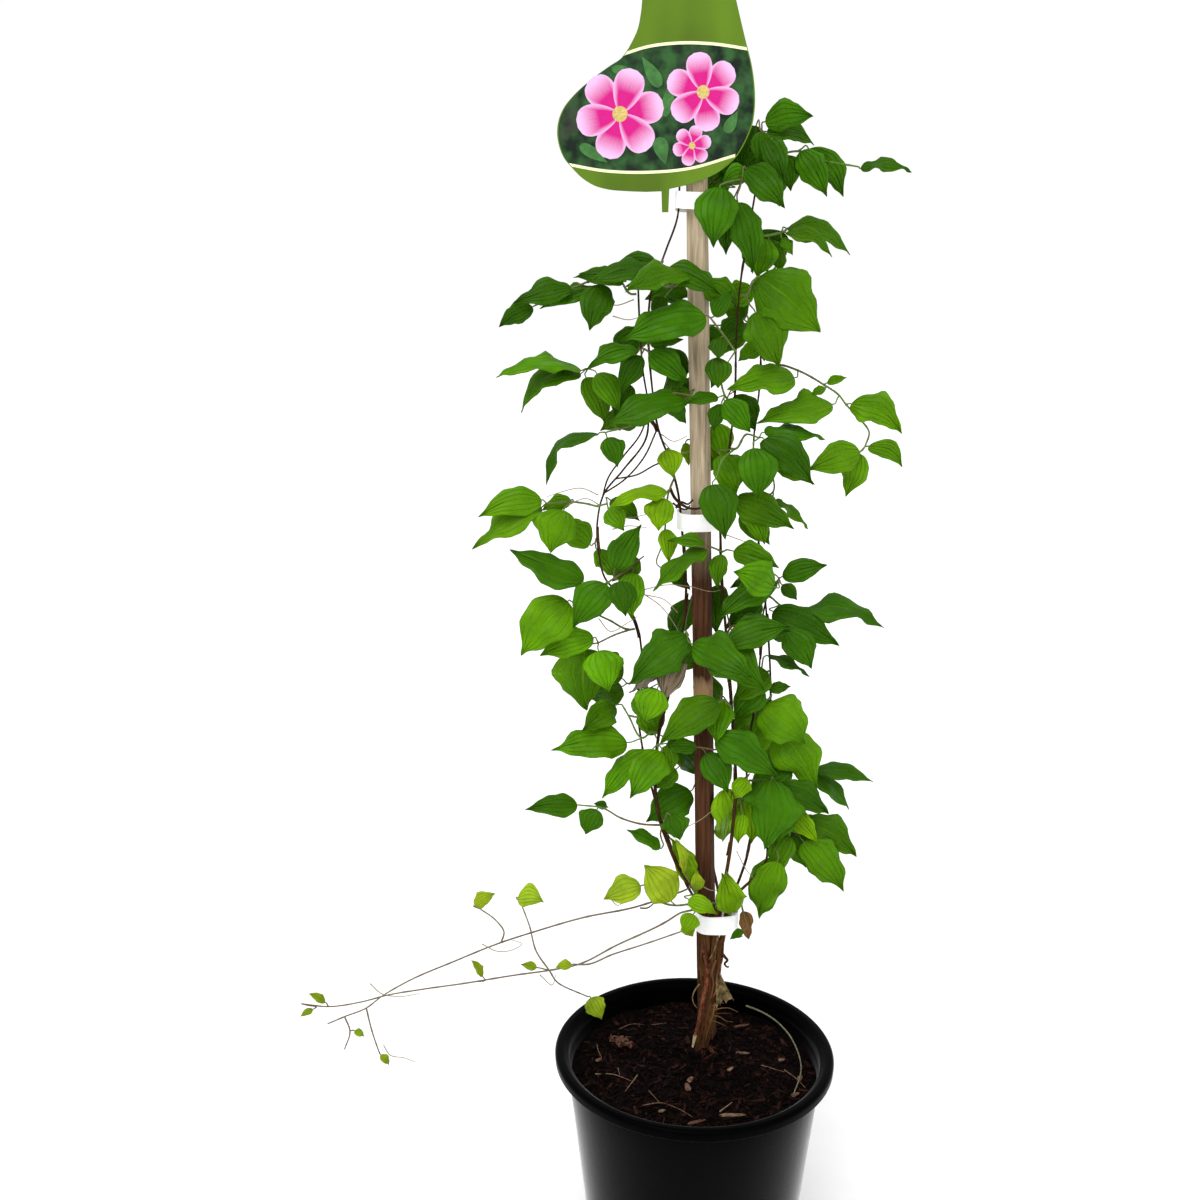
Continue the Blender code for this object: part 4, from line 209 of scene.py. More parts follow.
FRONDS = read_fronds("""
frond_top_crown dark right_inner side 2.72 67.3
: 3 68 .1
3.2 68.6 5.8 68.9 1.5 0 -.5 .12
3.3 68.1 5.9 67.4 .9 .3 .9 .12
3.2 67.7 4.3 65.6 1.3 -.2 -1
3 68.1 3 66.3 1.1 .6 .9
frond_top_right dark right_inner side 2.75 66.4
: 4 66.9 .8 5 67.1 1 6.6 66.6 1.3 8.3 66.3 1.3
5.2 67.1 6.7 64.7 1.5 .9 .2
5.6 67.2 7.6 64.7 1.5 1.4 1.9 .12
8.5 66.2 11.3 66 .6 1.3 1 .08
4.2 66.9 4.7 65 1.3 .8 1.1
frond_top_front mid right_inner front 2.55 64.9 dark 0 1
: 2 65.6 -.3 1.2 65.5 -.8
2.2 66.2 4.4 64.1 1.6 -.5 -1.2
.8 65.2 .5 62 2.1 -1 -1.6
1.8 64.4 2.7 60.6 1.6 -.6 -1.1
1.5 64.2 1.2 61.6 1.2 -.2 .1
2.3 66 .9 65.5 1.1 .6 .7
frond_upper_tiers mid right_inner side 2.35 63
: 2.9 62.8 .8 4.2 62.8 1.3
3.2 62.5 3 60.4 1.9 .9 .3
4.5 62.8 7.1 61.5 .7 1.1 .7 .14
4.6 63 8.1 61.6 1.1 1.6 2.4 .14
4.3 62.5 4.9 61.6 .6 1.1 .8
3.6 62.4 4.3 60.6 1 1.4 1.7
frond_upper_broad light right_inner side 1.85 59.4 mid .05 .25
: 2.7 60.2 .2
: 2.6 58.9 .1
3.1 60.4 6.6 57.4 3 0 -.8
2.9 58.5 4.3 55.5 2.2 -.2 -.9
frond_right_bridge light right_back side 3.4 55.6 light 0 .3
: 4.4 55.6 2.2 5.4 55.3 1.8 6.9 54.5 1.9 7.8 53.9 1.9 8.2 53.4 1.9 9 52.6 2.1 9.6 51.8 2.1 9.4 51 1.9
5.2 54.9 1.4 54.2 1.6 1.2 -.4 .02
7.1 54.6 8.2 54.9 .5 1.8 1.5
7 54.3 6.2 53.9 .5 1.8 1.7
7.4 53.4 3.1 52.3 1.5 1.6 .6 .02
8.5 53.4 11.5 51.7 1.7 1.8 1.2 .15
9.6 51 11.6 49.8 1.1 1.9 2.3 .2
9.1 50.7 6.1 49.6 1.7 1.5 1
9.1 50.6 8.4 48.1 1.5 1.9 1.7 -.04
frond_right_front dark right_inner front 1.75 53.4
: 1.3 53.9 -.1 .9 55.4 -.3
1.3 53.6 2.8 51.8 1.4 -.4 -.9
.8 56 .9 54.3 1.4 -.4 -.8
.9 53.8 -1 53.4 .7 -.3 -.6
1.1 53.4 .7 51.9 .9 -.2 -.3
frond_right_dark dark right_inner side 1.5 51
: 2.6 51.7 .3 3.3 51.5 .1
: 1.2 50.2 -.1 .9 49.2 -.3
3.6 51.8 7.1 51.4 .7 .3 .9 .02
3.6 51.4 6.5 48.8 1.8 0 -.6 .1
3 50.9 3.3 48 2.1 -.3 -1
.7 48.8 1.5 45.6 2 -.5 -1.2
frond_right_middle mid right_back side 3.3 47.8
: 2.9 48.1 2.4 2.3 48 1.7
: 4.2 48.4 2.9 4.1 49.6 2.7
: 2.8 47.3 3.3
2 47.9 5.5 46.2 1.8 1.3 .3
4.3 47.9 6.3 46.2 .5 2.8 2.6 .02
4.2 50.2 6.6 48.8 1.2 2.5 1.8
2.4 47.1 4.1 45.3 1.5 3.1 2.7
frond_behind_stake lime back side 0 51.4
: .7 52.1 3.2
: -.8 51.4 3.1
.9 52 1.1 49.5 1.2 3.3 3.7
-.9 51.2 -.7 49.9 .7 3.2 3.4
frond_left_top mid left front -2.45 61.3 dark 0 .3
: -2.4 61 .2
: -2 60.4 .2 -1.7 59.9 1.2
-2.7 61.2 -5 61.1 1 .3 .9
-2 60.9 1 59.4 1.3 -.2 -.9
-2.6 60.8 -6.5 60.1 1.1 0 -.8 .04
-2 59.8 -.8 59.3 1 1.6 1.9
-2.2 59.3 -2.9 58.3 .9 1.3 1
-2.8 60.1 -4.4 59.9 .7 1.1 1.5
frond_left_top_far dark bow side -3.7 59.5
: -4.8 60.4 1.5 -7.2 59.9 1.6 -9.4 58.9 1.8
-5.1 60.5 -7 60.6 .6 1.6 2.3 .02
-7.4 59.8 -10.7 59 1.3 1.5 .9 .02
-5.6 60 -6.4 57.5 1.8 1.2 .6
-9.6 58.8 -11.5 57.7 1.1 1.8 1.6
-6.3 59.8 -9.2 58.7 .8 1.9 2.3 .02
frond_left_long mid right_inner front 1.8 56.4 dark 0 1
: 1.2 57.2 -.3 .4 58.2 -.6
.1 58.3 -4.7 56.9 1.9 -.8 -1.4
1 57.1 .9 55.9 1 -.3 -.5
.6 58.3 1.6 59.7 1 -.5 -.3
frond_left_middle dark left front -3.08 56.4
: -3.3 56.5 .3
-3.7 56.4 -6.6 55.3 1 .2 -.4 .1
-3 56.3 -.8 54.5 1.4 0 -.5
-3.5 56.1 -4.6 54.1 1.3 .3 .4
-3 56.8 -1.1 57 .8 .5 .8
frond_left_far mid bow side -3.5 55.9
: -4.9 55.9 1.8 -6.5 55.4 1.7
-6.9 55.3 -11.7 54.9 .8 1.5 .8 .08
-6.9 55.1 -10.3 52.9 1.1 1.9 2.5 .2
-6 55.1 -4.7 53 1.4 1.3 .9
-6.6 54.9 -5.5 52.3 1.5 2.1 2.3
frond_left_across mid left front -2.75 53.3 dark .3 .8
: -1.8 54 -.1 -.6 53.9 -.4
: -3.6 52.4 .6 -5.5 51.8 1.2
-1 53.7 -5.5 52.1 1.6 -.6 -1.2
-5.9 51.7 -8.9 48.8 .7 1.2 .5 .2
-5.4 51.5 -4.8 49.8 1.3 1.1 .8
-3.7 52.3 -5.2 52.3 .8 1.1 1.9
-1.9 53.6 -.9 52.3 .9 .3 .6
-1.7 54.4 -.8 55.2 .7 .1 .3
frond_left_lower lime left front -1.6 49.4
: -1.9 50.9 .5
: -1.8 48.5 .6 -2 46.5 .9
-2 50.8 -1.6 49.2 1.3 .4 -.1
-1.95 48.4 -5.4 47.4 .8 .6 .2
-2.1 48 -2.4 46.1 1.6 .3 -.1
-2 46.2 -1.8 44.2 1 .9 .7
frond_bow_far light bow front -5.8 47.6 light 0 .45
: -6.6 47.7 1.9 -7.3 47.8 2 -8.9 47.7 2
: -5.4 47.7 1
-9.2 47.9 -12.9 46.9 1.6 1.9 1.2 .1
-9.2 47.5 -13.3 45 1.4 1.8 .9 .02
-7.5 47.9 -9.2 47.3 .9 2.4 3
-7.9 47.3 -8.7 44.8 2.4 1.7 1.3
-5.3 47.4 -4.4 46.1 1.2 .9 .6
frond_bow_pair dark bow front -5.4 43.2
: -6.3 43 1.4
: -5 43.3 1.1
-6.8 43.1 -11.1 45 1.7 1.3 .6 -.03
-4.9 43.9 -3.4 46.5 1.6 1 .5
-4.7 43.1 -4.3 41 1.6 .9 .3
-5.4 42.9 -7.4 40.3 2 .8 .3
frond_bow_pale light bow side -3.55 40.1
: -5.3 40.8 2.6 -7.3 41.8 2.2
: -4.9 39.9 2.6 -5.9 39.4 2.3
-7.7 41.9 -10.5 38.6 2.8 2 1.5
-6.2 39.7 -9.4 38.6 1.7 2.2 1.8
-5.9 38.9 -5.3 36.4 2.2 1.7 1.2
-6.7 39 -6.6 35.2 3 2.6 3
frond_low_left_pair mid left side -2.25 33.9
: -3.2 33.5 1.4 -4.1 34.9 2 -4.5 35.6 2.2
: -3.4 34.9 .9 -3.5 36.4 .9
-4.2 33.2 -8.8 32.7 1.9 1.3 .5
-4.9 35.5 -6.9 33.9 1.6 2.2 1.9
-3.2 36.6 -2.4 34.2 2 .8 .3
frond_stake_high mid left front -1 39.8 dark .3 .7
: -.7 40.1 .6
-.6 39.8 -4.1 36.8 2.2 .4 -.5
dead_leaf_hanging dead left side -1.2 38.7 dead .3 .9
: -.9 38.6 1
-1.1 38.4 -2 35.9 1.7 .8 .5
-1.4 38.2 -4 36.3 1 1.1 1.3
frond_stake_pale light right_inner front 2 35.8 mid 0 .3
: 1.6 35.9 .3
1.3 35.7 -2.2 33.1 2 0 -.9
frond_left_hanging mid left front -2.4 32.4
: -2.3 33.1 .8
-2.8 32.6 -5.7 29.6 1.5 .8 .3
-2.1 32.6 -4 29.6 2 .5 -.3
-1.8 33 -1.7 31 1 .8 .9
frond_dark_low dark back side .65 30.3
: -.1 30.4 2.7
-.3 30.1 -3 28.1 2.1 2.2 .4
frond_low_left dark left front -2.1 28.3
: -1.7 28.7 .5
: -3.4 28 1.3 -4.6 28.4 1.6 -5.6 29 1.7 -7 29.2 1.8
: -2.1 27.4 .5 -1.9 26.6 .6
-1.5 28.5 -.9 26.9 1.5 .3 0
-7.2 29.2 -10.4 28.9 1.3 1.8 1.2 .04
-6 28.9 -6.7 27.3 1.5 1.6 1.2
-5.4 29.1 -6.2 29.3 .5 1.9 2.2
-2.1 26.4 -4.2 27.6 .8 .6 .9
frond_lime_low_left lime left front -.1 23.4 young .5 1
: -1.1 22.6 .7 -2.6 23.2 .8 -3 24 .8
: .15 23.4 .7
: -.5 24.6 .6
-1.4 22.9 -3.1 25.3 2.2 .6 .1
-3.3 23.9 -5.6 23 1.6 .8 .4
.2 23.6 .1 24.9 .8 .7 .5
-.6 24.8 -1.2 27 .6 .6 .4
frond_lime_low_right lime right_inner front 1.65 23.1 young .1 .5
: 1.9 22.8 .4
: 1.2 22.8 .4
2.1 22.9 2 24.9 1.1 .3 0
1 22.6 -.4 22.6 .7 .4 .2
dried_leaf_low dead right_outer front 2.8 23.1 dead 0 .15
: 3 22.6 1.1
3.05 22.2 3.5 20.3 .8 .9 .6
frond_right_lime lime right_outer side 3.5 34.7 light .25 .45
: 3.9 35.5 2.2
: 4.7 34.4 3
4 35.4 6.6 33.1 2.9 1.9 1.6
5 34 7.4 30.2 2.6 3 2.6
frond_right_dark_far dark right_back side 4.4 31.4
: 5.5 31.6 4.4 7 31.4 4.4
7.2 31.4 10.8 30.7 1 4.3 3.9
7.2 31.1 9.4 28.9 1 4.5 4.9
frond_right_low mid right_outer side 4.3 27.1
: 5 28.2 2.6 6.3 27.4 2.4
: 5.3 26.5 3.2 5.9 28 3.6
6.6 28.1 10 25.8 2 2.3 1.9 .1
6.7 26.8 9.3 23.5 2.1 2.1 1.6
5.8 27.2 4.9 24.7 1.5 2 1.7
6.2 28.4 7.4 26.9 1.4 3.6 3.4
5 25.8 4.1 21.7 2.2 3 2.6
frond_right_deep dark right_outer side 3.25 30.6
: 4.2 30.8 1.8 4.9 30.6 1.6
4.9 30.2 5 26.6 2.3 1.4 .8
5.2 30.4 8.2 28.6 1.7 1.6 1.2
frond_right_over mid right_inner front 2.25 32.9 dark .3 .9
: 1.5 33.8 .4
: 1.3 32.8 .4 .3 32.9 .3
1.2 33.6 4.9 31.1 2.1 .2 -.6
0 32.9 -1.8 32.9 .9 .3 .2
.6 32.5 2 30 1.7 .1 -.5
frond_lime_inner lime right_inner side 2.35 29.9 lime .4 1
: 2.9 30.9 1.4
: 2.8 29 1.4
: 1.9 30.2 1.9
3.1 30.9 2.4 29.6 1.1 1.1 .6
2.9 28.6 2.7 26.7 1.1 1.4 1.1
1.8 30.1 1.7 28 .9 2.3 2.6
frond_right_behind dark right_outer side 3.75 37.4
: 3.9 38.5 1.9
: 4.1 36.8 1.9
4.2 38.6 6.7 37.3 .5 1.8 1.3 .02
3.9 36.6 2.2 34.7 1.7 1.7 1.3
4.3 36.5 5.6 36.7 .7 1.9 1.8
frond_right_shelf mid right_inner front 1.62 39.9 dark .5 .9
: .8 39.8 .3
: 1.9 40.3 .6 3.6 40.5 .9 5 40.3 .9
.6 39.5 4.1 36.4 2.4 .1 -1.1
2.1 40.1 5.5 40.1 1.7 .4 -.4
2.2 40.5 3.9 40.9 .9 .9 1.4
5.3 40.1 6.8 37.8 1.8 .9 .4 .1
frond_right_wing dark right_back side 4.15 41.8
: 4.8 41.7 3.1 5.9 41.4 2.9
4.4 41.3 8.4 39.2 1.9 2.4 1.8
6.2 41.3 11 40.3 1.3 2.9 2.2 .1
frond_right_crest dark right_outer side 4.25 42.9
: 4.7 43.3 1.6
4.5 43.1 1.2 40.9 1.6 1.2 .2
4.9 42.9 5.8 42 .8 1.4 1
4.9 43.4 7.5 44.1 1.3 1.6 1.2
4.3 43.5 1.8 42.7 1 1.8 2
frond_stake_band mid right_inner front 1.18 45 mid 0 .4
: 1.6 45 .4
: .6 45.2 .3
2 44.9 4.7 43.9 1.4 .3 -.3
1.3 44.7 1.1 42.7 1 .2 0
.4 45 -2.7 42.5 1 .2 -.4
.3 45.3 -1.9 45.5 .7 .3 .2
frond_back_top dark back side -.93 66.1
: -1.1 66.6 2.7
-1.4 66.7 -3.6 67.6 1.6 2.9 4
-.8 66.7 1.3 67.2 1.5 2.8 3.8
-.9 66.3 -.3 64.5 1.3 2.7 3.1
frond_back_right_top mid right_back side 3.55 60.6
: 4 61 3.5
4.3 60.8 5.8 58.6 1.8 3.8 5.4
3.9 60.7 3.4 58.4 1.7 3.7 5
frond_back_inner mid right_back side 3.2 57.6
: 2.6 57.9 2.9
2.4 57.8 1 56.1 1.4 2.8 3.2
2.3 58.1 .9 59.6 1.4 2.8 3.3
2.9 57.6 3.5 55.8 1.3 3 3.6
frond_back_left_top mid bow side -3.6 58
: -3.4 58 2.9
-3.1 58 -.9 57.7 1.5 3.1 4.6
-3.5 57.7 -4.3 55.9 1.4 3.1 4.4
frond_back_bow light bow side -5.92 45.6
: -6.1 45.4 2.7
-6.4 45.3 -8.3 46.6 1.6 3 4.6
-6 45 -5 43.4 1.2 3 4.4
frond_back_left_low mid bow side -3.45 36.4
: -4.2 36.9 4.2
-4.5 37.2 -6.6 38.6 1.9 4.4 5.8
-4.5 36.7 -6.4 35.9 1.7 4.4 5.9
frond_back_right_low light right_back side 4.6 33.4
: 5 33.4 4.9
5.2 33.2 6.2 31.2 2 5.1 6.4
5.1 33.7 5 35.3 1.6 5.1 6.5
4.8 33.1 4.2 31 1.7 5.2 6
frond_back_right_middle mid right_back side 4.3 40.6
: 4.1 40.6 4.8
3.8 40.5 2.2 40 1.5 4.9 6.2
4.3 40.4 6 39.9 1.6 5 6.2
frond_back_centre mid back side .2 36.8
: .3 37.8 4.1
.6 38 2.7 38.2 1.7 4.2 5.6
0 38.2 -2.3 38.7 1.6 4.2 5.6
.3 37.4 .9 34.8 1.6 4.3 5.4
shoot_lower light left front .2 22.95 young 0 1
: -.8 22.1 .4 -1.7 21.5 .5 -4.8 19.9 .8 -7.2 18.6 1 -9 18.2 1 -11 17.9 1 -14.4 17.3 1.2 -17 16.9 1.4 -19.2 \
16.5 1.5 -21 16 1.4 -23 15.7 1.2 -24.7 15.9 1
: -6.7 18.6 .9 -5 19.3 .6 -3 20 .4 -.6 20.9 .3
: -9.8 19.5 1.2 -10.2 21.2 1.4 -10.7 22.7 1.5
: -8.4 17.3 2.8 -6.6 16.4 4.4
-.5 21.4 0 20.5 .9 .2 0
-10.9 23.1 -9.3 22.8 1.3 1.5 1.2 .2
-6.4 16.3 -5.7 14.8 1.3 4.5 3.5
-7.6 18.6 -8.6 18.4 .6 .8 .6
-9.8 18.4 -10.8 18.6 .5 .9 .7
-13.2 17.8 -13.9 18.9 .5 1.1 1
-23.2 16 -24.2 16.6 .5 1.1 1
-24 15.5 -24.8 15 .4 1.1 .9
shoot_upper light bow side -.35 23.6 young 0 1
: -2.4 22.9 2.6 -3.6 22.5 2.8 -6.8 21.8 3 -10 20.8 3.2 -12 20.1 3.2 -15 18.8 3.2 -18 17.4 3 -19.6 16.4 2.8 \
-20.6 15.6 2.6 -22 15 2.4 -23.1 14.5 2.2
: -11.8 20.8 3.2 -12.3 21.6 3.2 -13.3 22.4 3.1
: -20.3 14 2.4 -19.9 12.5 2.2
: -21.7 14 2.2 -22.1 12.7 2
-13.6 22.6 -12.3 23.4 .9 3 2.8
-19.8 12.3 -19.3 11.6 .5 2.2 2.1
-21.4 14 -20.8 13.6 .45 2.1 1.9
""")

Leaf = namedtuple("Leaf", "hub base tip normal bow width phase")


def seen(x, z, depth):
    """The point at this depth on the line of sight through x and z of the reading plane."""
    eye = np.array(VIEW_POINT)
    share = (depth - eye[1]) / (READING_Y - eye[1])
    return eye + share * (np.array((x, READING_Y, z)) - eye)


def unit(vector):
    return vector / max(np.linalg.norm(vector), 1e-9)


def around(steps):
    """Angles evenly round a circle."""
    return np.linspace(0, 2 * math.pi, steps, endpoint=False)


def joined(*coordinates):
    """Points from their coordinates, each spread over the whole grid."""
    return np.stack(np.broadcast_arrays(*coordinates), axis=-1)


def nearest(places, point):
    """The number of the place nearest to a point."""
    return int(np.argmin(np.linalg.norm(places - point, axis=1)))


def stem_radii(name, share):
    """The stem thins quickly above the crown and slowly from there on."""
    return STEM_TIP_RADIUS + (STEMS[name][0] - STEM_TIP_RADIUS) * (1 - share) ** 1.8


def stem_line(name):
    """Points close together along a stem, and its radius at each."""
    way = STEMS[name][1]
    marks = np.arange(0, len(way) - 1 + 1e-6, 1 / 20)
    route = np.stack([np.interp(marks, np.arange(len(way)), way[:, i]) for i in range(3)], axis=1)
    return route, stem_radii(name, marks / (len(way) - 1))


def leaf_outline(u):
    """Half width over its greatest value: round at the stalk, widest at a third, drawn out to the tip."""
    u = np.clip(u, 0.0, 1.0)
    return u ** 0.55 * (1 - u) ** 1.1 / 0.3497


def leaf_stance(base, tip, width_seen):
    """Which way the blade faces, which way its midrib bows, and its true width.

    A blade seen narrow has turned up towards the sky.
    """
    along = unit(tip - base)
    sight = unit(np.array(VIEW_POINT) - (base + tip) / 2)
    facing = unit(sight - along * (sight @ along))
    upward = np.cross(along, facing)
    outward = (base + tip) / 2 * (1, 1, 0)
    if upward[2] + 0.02 * (upward @ outward) < 0:
        upward = -upward
    width = max(width_seen, LEAF_WIDTH_SHARE * np.linalg.norm(tip - base))
    turn = min(math.acos(width_seen / width), math.radians(72))
    return unit(facing * math.cos(turn) + upward * math.sin(turn)), upward, width


def blade_points(leaf, u, v):
    """Points of the blade's middle surface on a grid.

    u runs from the leaf's stalk to its tip and v from one edge to the other, -1 to 1. The midrib arches
    off the straight line, the halves fold up from it and curl down again, and the edges wave.
    """
    u = np.asarray(u, float)[:, None]
    v = np.asarray(v, float)[None, :]
    along = leaf.tip - leaf.base
    length = np.linalg.norm(along)
    side = np.cross(leaf.normal, along / length)
    half = leaf.width / 2 * leaf_outline(u)
    rise = LEAF_ARCH * length * np.sin(math.pi * u ** 0.85)
    wave = LEAF_WAVE * np.abs(v) * np.sin(2 * math.pi * LEAF_WAVES * u + leaf.phase + 1.3 * np.sign(v))
    off = half * (LEAF_FOLD * np.abs(v) - LEAF_CURL * v ** 2 + wave)
    middle = leaf.base + u[..., None] * along + rise[..., None] * leaf.normal
    middle = middle + np.sin(math.pi * u)[..., None] * leaf.bow
    return middle + (v * half)[..., None] * side + off[..., None] * leaf.normal


# What owns the points of things that aren't fronds, whose own numbers count from 0
STEM_OWNER, STAKE_OWNER, TIE_OWNER, CARD_OWNER, RIM_OWNER = range(1000, 1005)


class Crowd:
    """What already stands in the way: points, what each belongs to, and how near others may come to it."""

    def __init__(self):
        self.points = np.empty((0, 3))
        self.owners = np.empty(0, int)
        self.room = np.empty(0)

    def add(self, points, owner, room):
        self.points = np.vstack([self.points, points])
        self.owners = np.append(self.owners, np.full(len(points), owner))
        self.room = np.append(self.room, np.full(len(points), room))

    def shortfall(self, points, owner, reach):
        """How far the points are too near to what others own, and none where it is zero."""
        low = points.min(0) - reach
        high = points.max(0) + reach
        near = np.all((self.points > low) & (self.points < high), axis=1) & (self.owners != owner)
        if not near.any():
            return 0.0
        apart = np.linalg.norm(points[:, None, :] - self.points[near][None, :, :], axis=2)
        short = np.clip(self.room[near][None, :] - apart, 0, None)
        return float(short.sum())


def root_of(frond):
    """Where the frond leaves its stem: the stem's nearest point, and the direction out of its side."""
    route, radii = stem_line(frond.stem)
    first = seen(*frond.branches[0][0])
    at = min(max(nearest(route[:, ::2], frond.root), 2), len(route) - 3)
    run = unit(route[at + 2] - route[at - 2])
    out = first - route[at]
    if frond.side == "front":
        out = unit(out) + np.array((0, -2.0, 0))
    out = unit(out - run * (out @ run))
    start = route[at] + out * (radii[at] + GAP + 0.01)
    return start, start + out * STALK_STUB


def thick_points(route, step):
    """Points along a route at about this step."""
    found = [route[:1]]
    for start, end in zip(route[:-1], route[1:]):
        count = max(1, int(math.ceil(np.linalg.norm(end - start) / step)))
        found.append(start + (end - start) * (np.arange(1, count + 1) / count)[:, None])
    return np.vstack(found)


def stalk_routes(frond, shift):
    """The frond's branches, all but their root slid by this depth.

    The first starts at the stem, and each other at the nearest point of those before it.
    """
    start, stub = root_of(frond)
    routes = []
    for branch in frond.branches:
        way = [seen(x, z, depth + shift) for x, z, depth in branch]
        if routes:
            known = np.vstack([route[1:] for route in routes])
            joint = known[nearest(known, way[0])]
            way = [joint - 0.03 * unit(way[0] - joint)] + way
        else:
            way = [start, stub] + way
        routes.append(np.array(way))
    return routes


def bends():
    """Pairs of depth shifts for a leaf's tip and its stalk end, the smallest first."""
    steps = [BEND_STEP * i for i in range(-BEND_STEPS, BEND_STEPS + 1)]
    pairs = [(tip, base) for tip in steps for base in steps if abs(base) <= 2 * BEND_STEP + 1e-6]
    return sorted(pairs, key=lambda pair: (round(abs(pair[0]) + 1.7 * abs(pair[1]), 6), pair))


def leaf_at(row, hubs, tip_shift, base_shift, phase):
    base = seen(row[0], row[1], row[5] + base_shift)
    tip = seen(row[2], row[3], row[6] + tip_shift)
    normal, upward, width = leaf_stance(base, tip, row[4] * LEAF_FULLNESS)
    bow = (row[7] if len(row) > 7 else LEAF_BOW) * np.linalg.norm(tip - base) * upward
    return Leaf(hubs[nearest(hubs, base)], base, tip, normal, bow, width, phase)


BLADE_ROWS, BLADE_COLUMNS = 13, 7
BLADE = slice(BLADE_ROWS * BLADE_COLUMNS)
BLADE_MIDDLE = slice(3 * BLADE_COLUMNS, BLADE.stop)


def leaf_samples(leaf):
    """Points of the blade, row by row from its stalk end, and then of its stalk."""
    blade = blade_points(leaf, np.linspace(0, 1, BLADE_ROWS), np.linspace(-1, 1, BLADE_COLUMNS))
    return np.vstack([blade.reshape(-1, 3), thick_points(np.array([leaf.hub, leaf.base]), 0.25)])


def stake_axis():
    return np.array(STAKE_FOOT), np.array(STAKE_TOP)


def made_things(crowd):
    """Puts the stake, the ties, the label and the pot's rim into the crowd."""
    foot, top = stake_axis()
    crowd.add(thick_points(np.array([foot, top]), 0.3), STAKE_OWNER, STAKE_SIDE * 0.7 + 0.14)
    turn = around(48)
    for tie in TIES:
        for z in np.linspace(tie.low, tie.high, 5):
            x = tie.x + tie.half_x * power(np.cos(turn))
            crowd.add(joined(x, tie.y + tie.half_y * power(np.sin(turn)), z), TIE_OWNER, BLADE_CLEARANCE)
    x, z = np.meshgrid(np.linspace(*CARD_X, 34), np.linspace(*CARD_Z, 36))
    crowd.add(joined(x, LABEL_Y, z).reshape(-1, 3), CARD_OWNER, BLADE_CLEARANCE)
    turn = around(180)
    crowd.add(joined(RIM_CIRCLE * np.cos(turn), RIM_CIRCLE * np.sin(turn), POT_HEIGHT), RIM_OWNER, 0.5)


def power(value):
    """A cosine or sine, made that of the ties' superellipse."""
    return np.sign(value) * np.abs(value) ** (2 / TIE_ROUNDNESS)


def clearest(tries, shortfall):
    """The first of the tries whose places have no shortfall, or else the one that falls short least."""
    best = None
    for made, places in tries:
        short = shortfall(places)
        if best is None or short < best[0] - 1e-9:
            best = short, made, places
        if short == 0:
            break
    return best[1:]


def bent_leaf(row, hubs, phase, shortfall):
    """The leaf of a row, bent along the line of sight until it is clear, and its samples."""
    tries = (leaf_at(row, hubs, *bend, phase) for bend in bends())
    return clearest(((leaf, leaf_samples(leaf)) for leaf in tries), shortfall)


def laid_out():
    """Each frond's branch routes and its leaves, bent along the line of sight until they are clear."""
    crowd = Crowd()
    made_things(crowd)
    for name in STEMS:
        crowd.add(stem_line(name)[0], STEM_OWNER, 0.32)
    for route in TWINING:
        crowd.add(thick_points(route, 0.2), STEM_OWNER, 0.25)
    shifts = [0.0] + [sign * BEND_STEP * i / 2 for i in range(1, 7) for sign in (-1, 1)]
    stalks, leaves = {}, {}
    for owner, frond in enumerate(FRONDS):
        tries = (stalk_routes(frond, shift) for shift in shifts)
        tries = ((routes, np.vstack([thick_points(route[1:], 0.25) for route in routes])) for routes in tries)
        stalks[frond.name], places = clearest(tries, lambda places: crowd.shortfall(places, owner, REACH))
        crowd.add(places, owner, STALK_CLEARANCE)
    draw = np.random.default_rng(SEED)
    for owner, frond in enumerate(FRONDS):
        hubs = np.vstack([route[1:] for route in stalks[frond.name]])
        leaves[frond.name] = []
        mine = Crowd()
        for row in frond.leaves:
            leaf, places = bent_leaf(row, hubs, draw.uniform(0, 2 * math.pi), lambda places: (
                crowd.shortfall(places, owner, REACH) + mine.shortfall(places[BLADE_MIDDLE], -1, REACH)))
            leaves[frond.name].append(leaf)
            crowd.add(places, owner, BLADE_CLEARANCE)
            mine.add(places[BLADE_MIDDLE], 0, 0.2)
    return stalks, leaves


def cm(metres):
    return metres / CM


def smoothstep(low, high, value):
    """0 below low, 1 above high, and an S curve between."""
    t = np.clip((value - low) / (high - low), 0.0, 1.0)
    return t * t * (3 - 2 * t)


def lumps(points, size, seed, waves=18):
    """Smooth random relief: the sum of sine waves in random directions, each about size long."""
    draw = np.random.default_rng(seed)
    heading = draw.normal(size=(3, waves))
    heading /= np.linalg.norm(heading, axis=0)
    pace = 2 * math.pi / (size * draw.uniform(0.6, 1.5, waves))
    shift = draw.uniform(0, 2 * math.pi, waves)
    return np.sin(points @ (heading * pace) + shift).sum(-1) / math.sqrt(waves)


def flowing(points, step):
    """A smooth curve through the points, about a step apart, and how far along each of its points lies.

    Each stretch is the cubic between two points whose slopes are those of the parabola through them and
    their neighbours, over the length walked.
    """
    points = np.asarray(points, float)
    walked = np.append(0.0, np.cumsum(np.linalg.norm(np.diff(points, axis=0), axis=1)))
    slopes = np.gradient(points, walked, axis=0)
    count = max(2, int(math.ceil(walked[-1] / step)))
    marks = np.unique(np.round(np.append(np.linspace(0, walked[-1], count + 1), walked), 6))
    first = np.clip(np.searchsorted(walked, marks, side="right") - 1, 0, len(walked) - 2)
    gap = (walked[first + 1] - walked[first])[:, None]
    t = (marks - walked[first])[:, None] / gap
    route = ((2 * t ** 3 - 3 * t ** 2 + 1) * points[first] + (t ** 3 - 2 * t ** 2 + t) * gap * slopes[first]
             + (3 * t ** 2 - 2 * t ** 3) * points[first + 1] + (t ** 3 - t ** 2) * gap * slopes[first + 1])
    return route, marks / walked[-1]


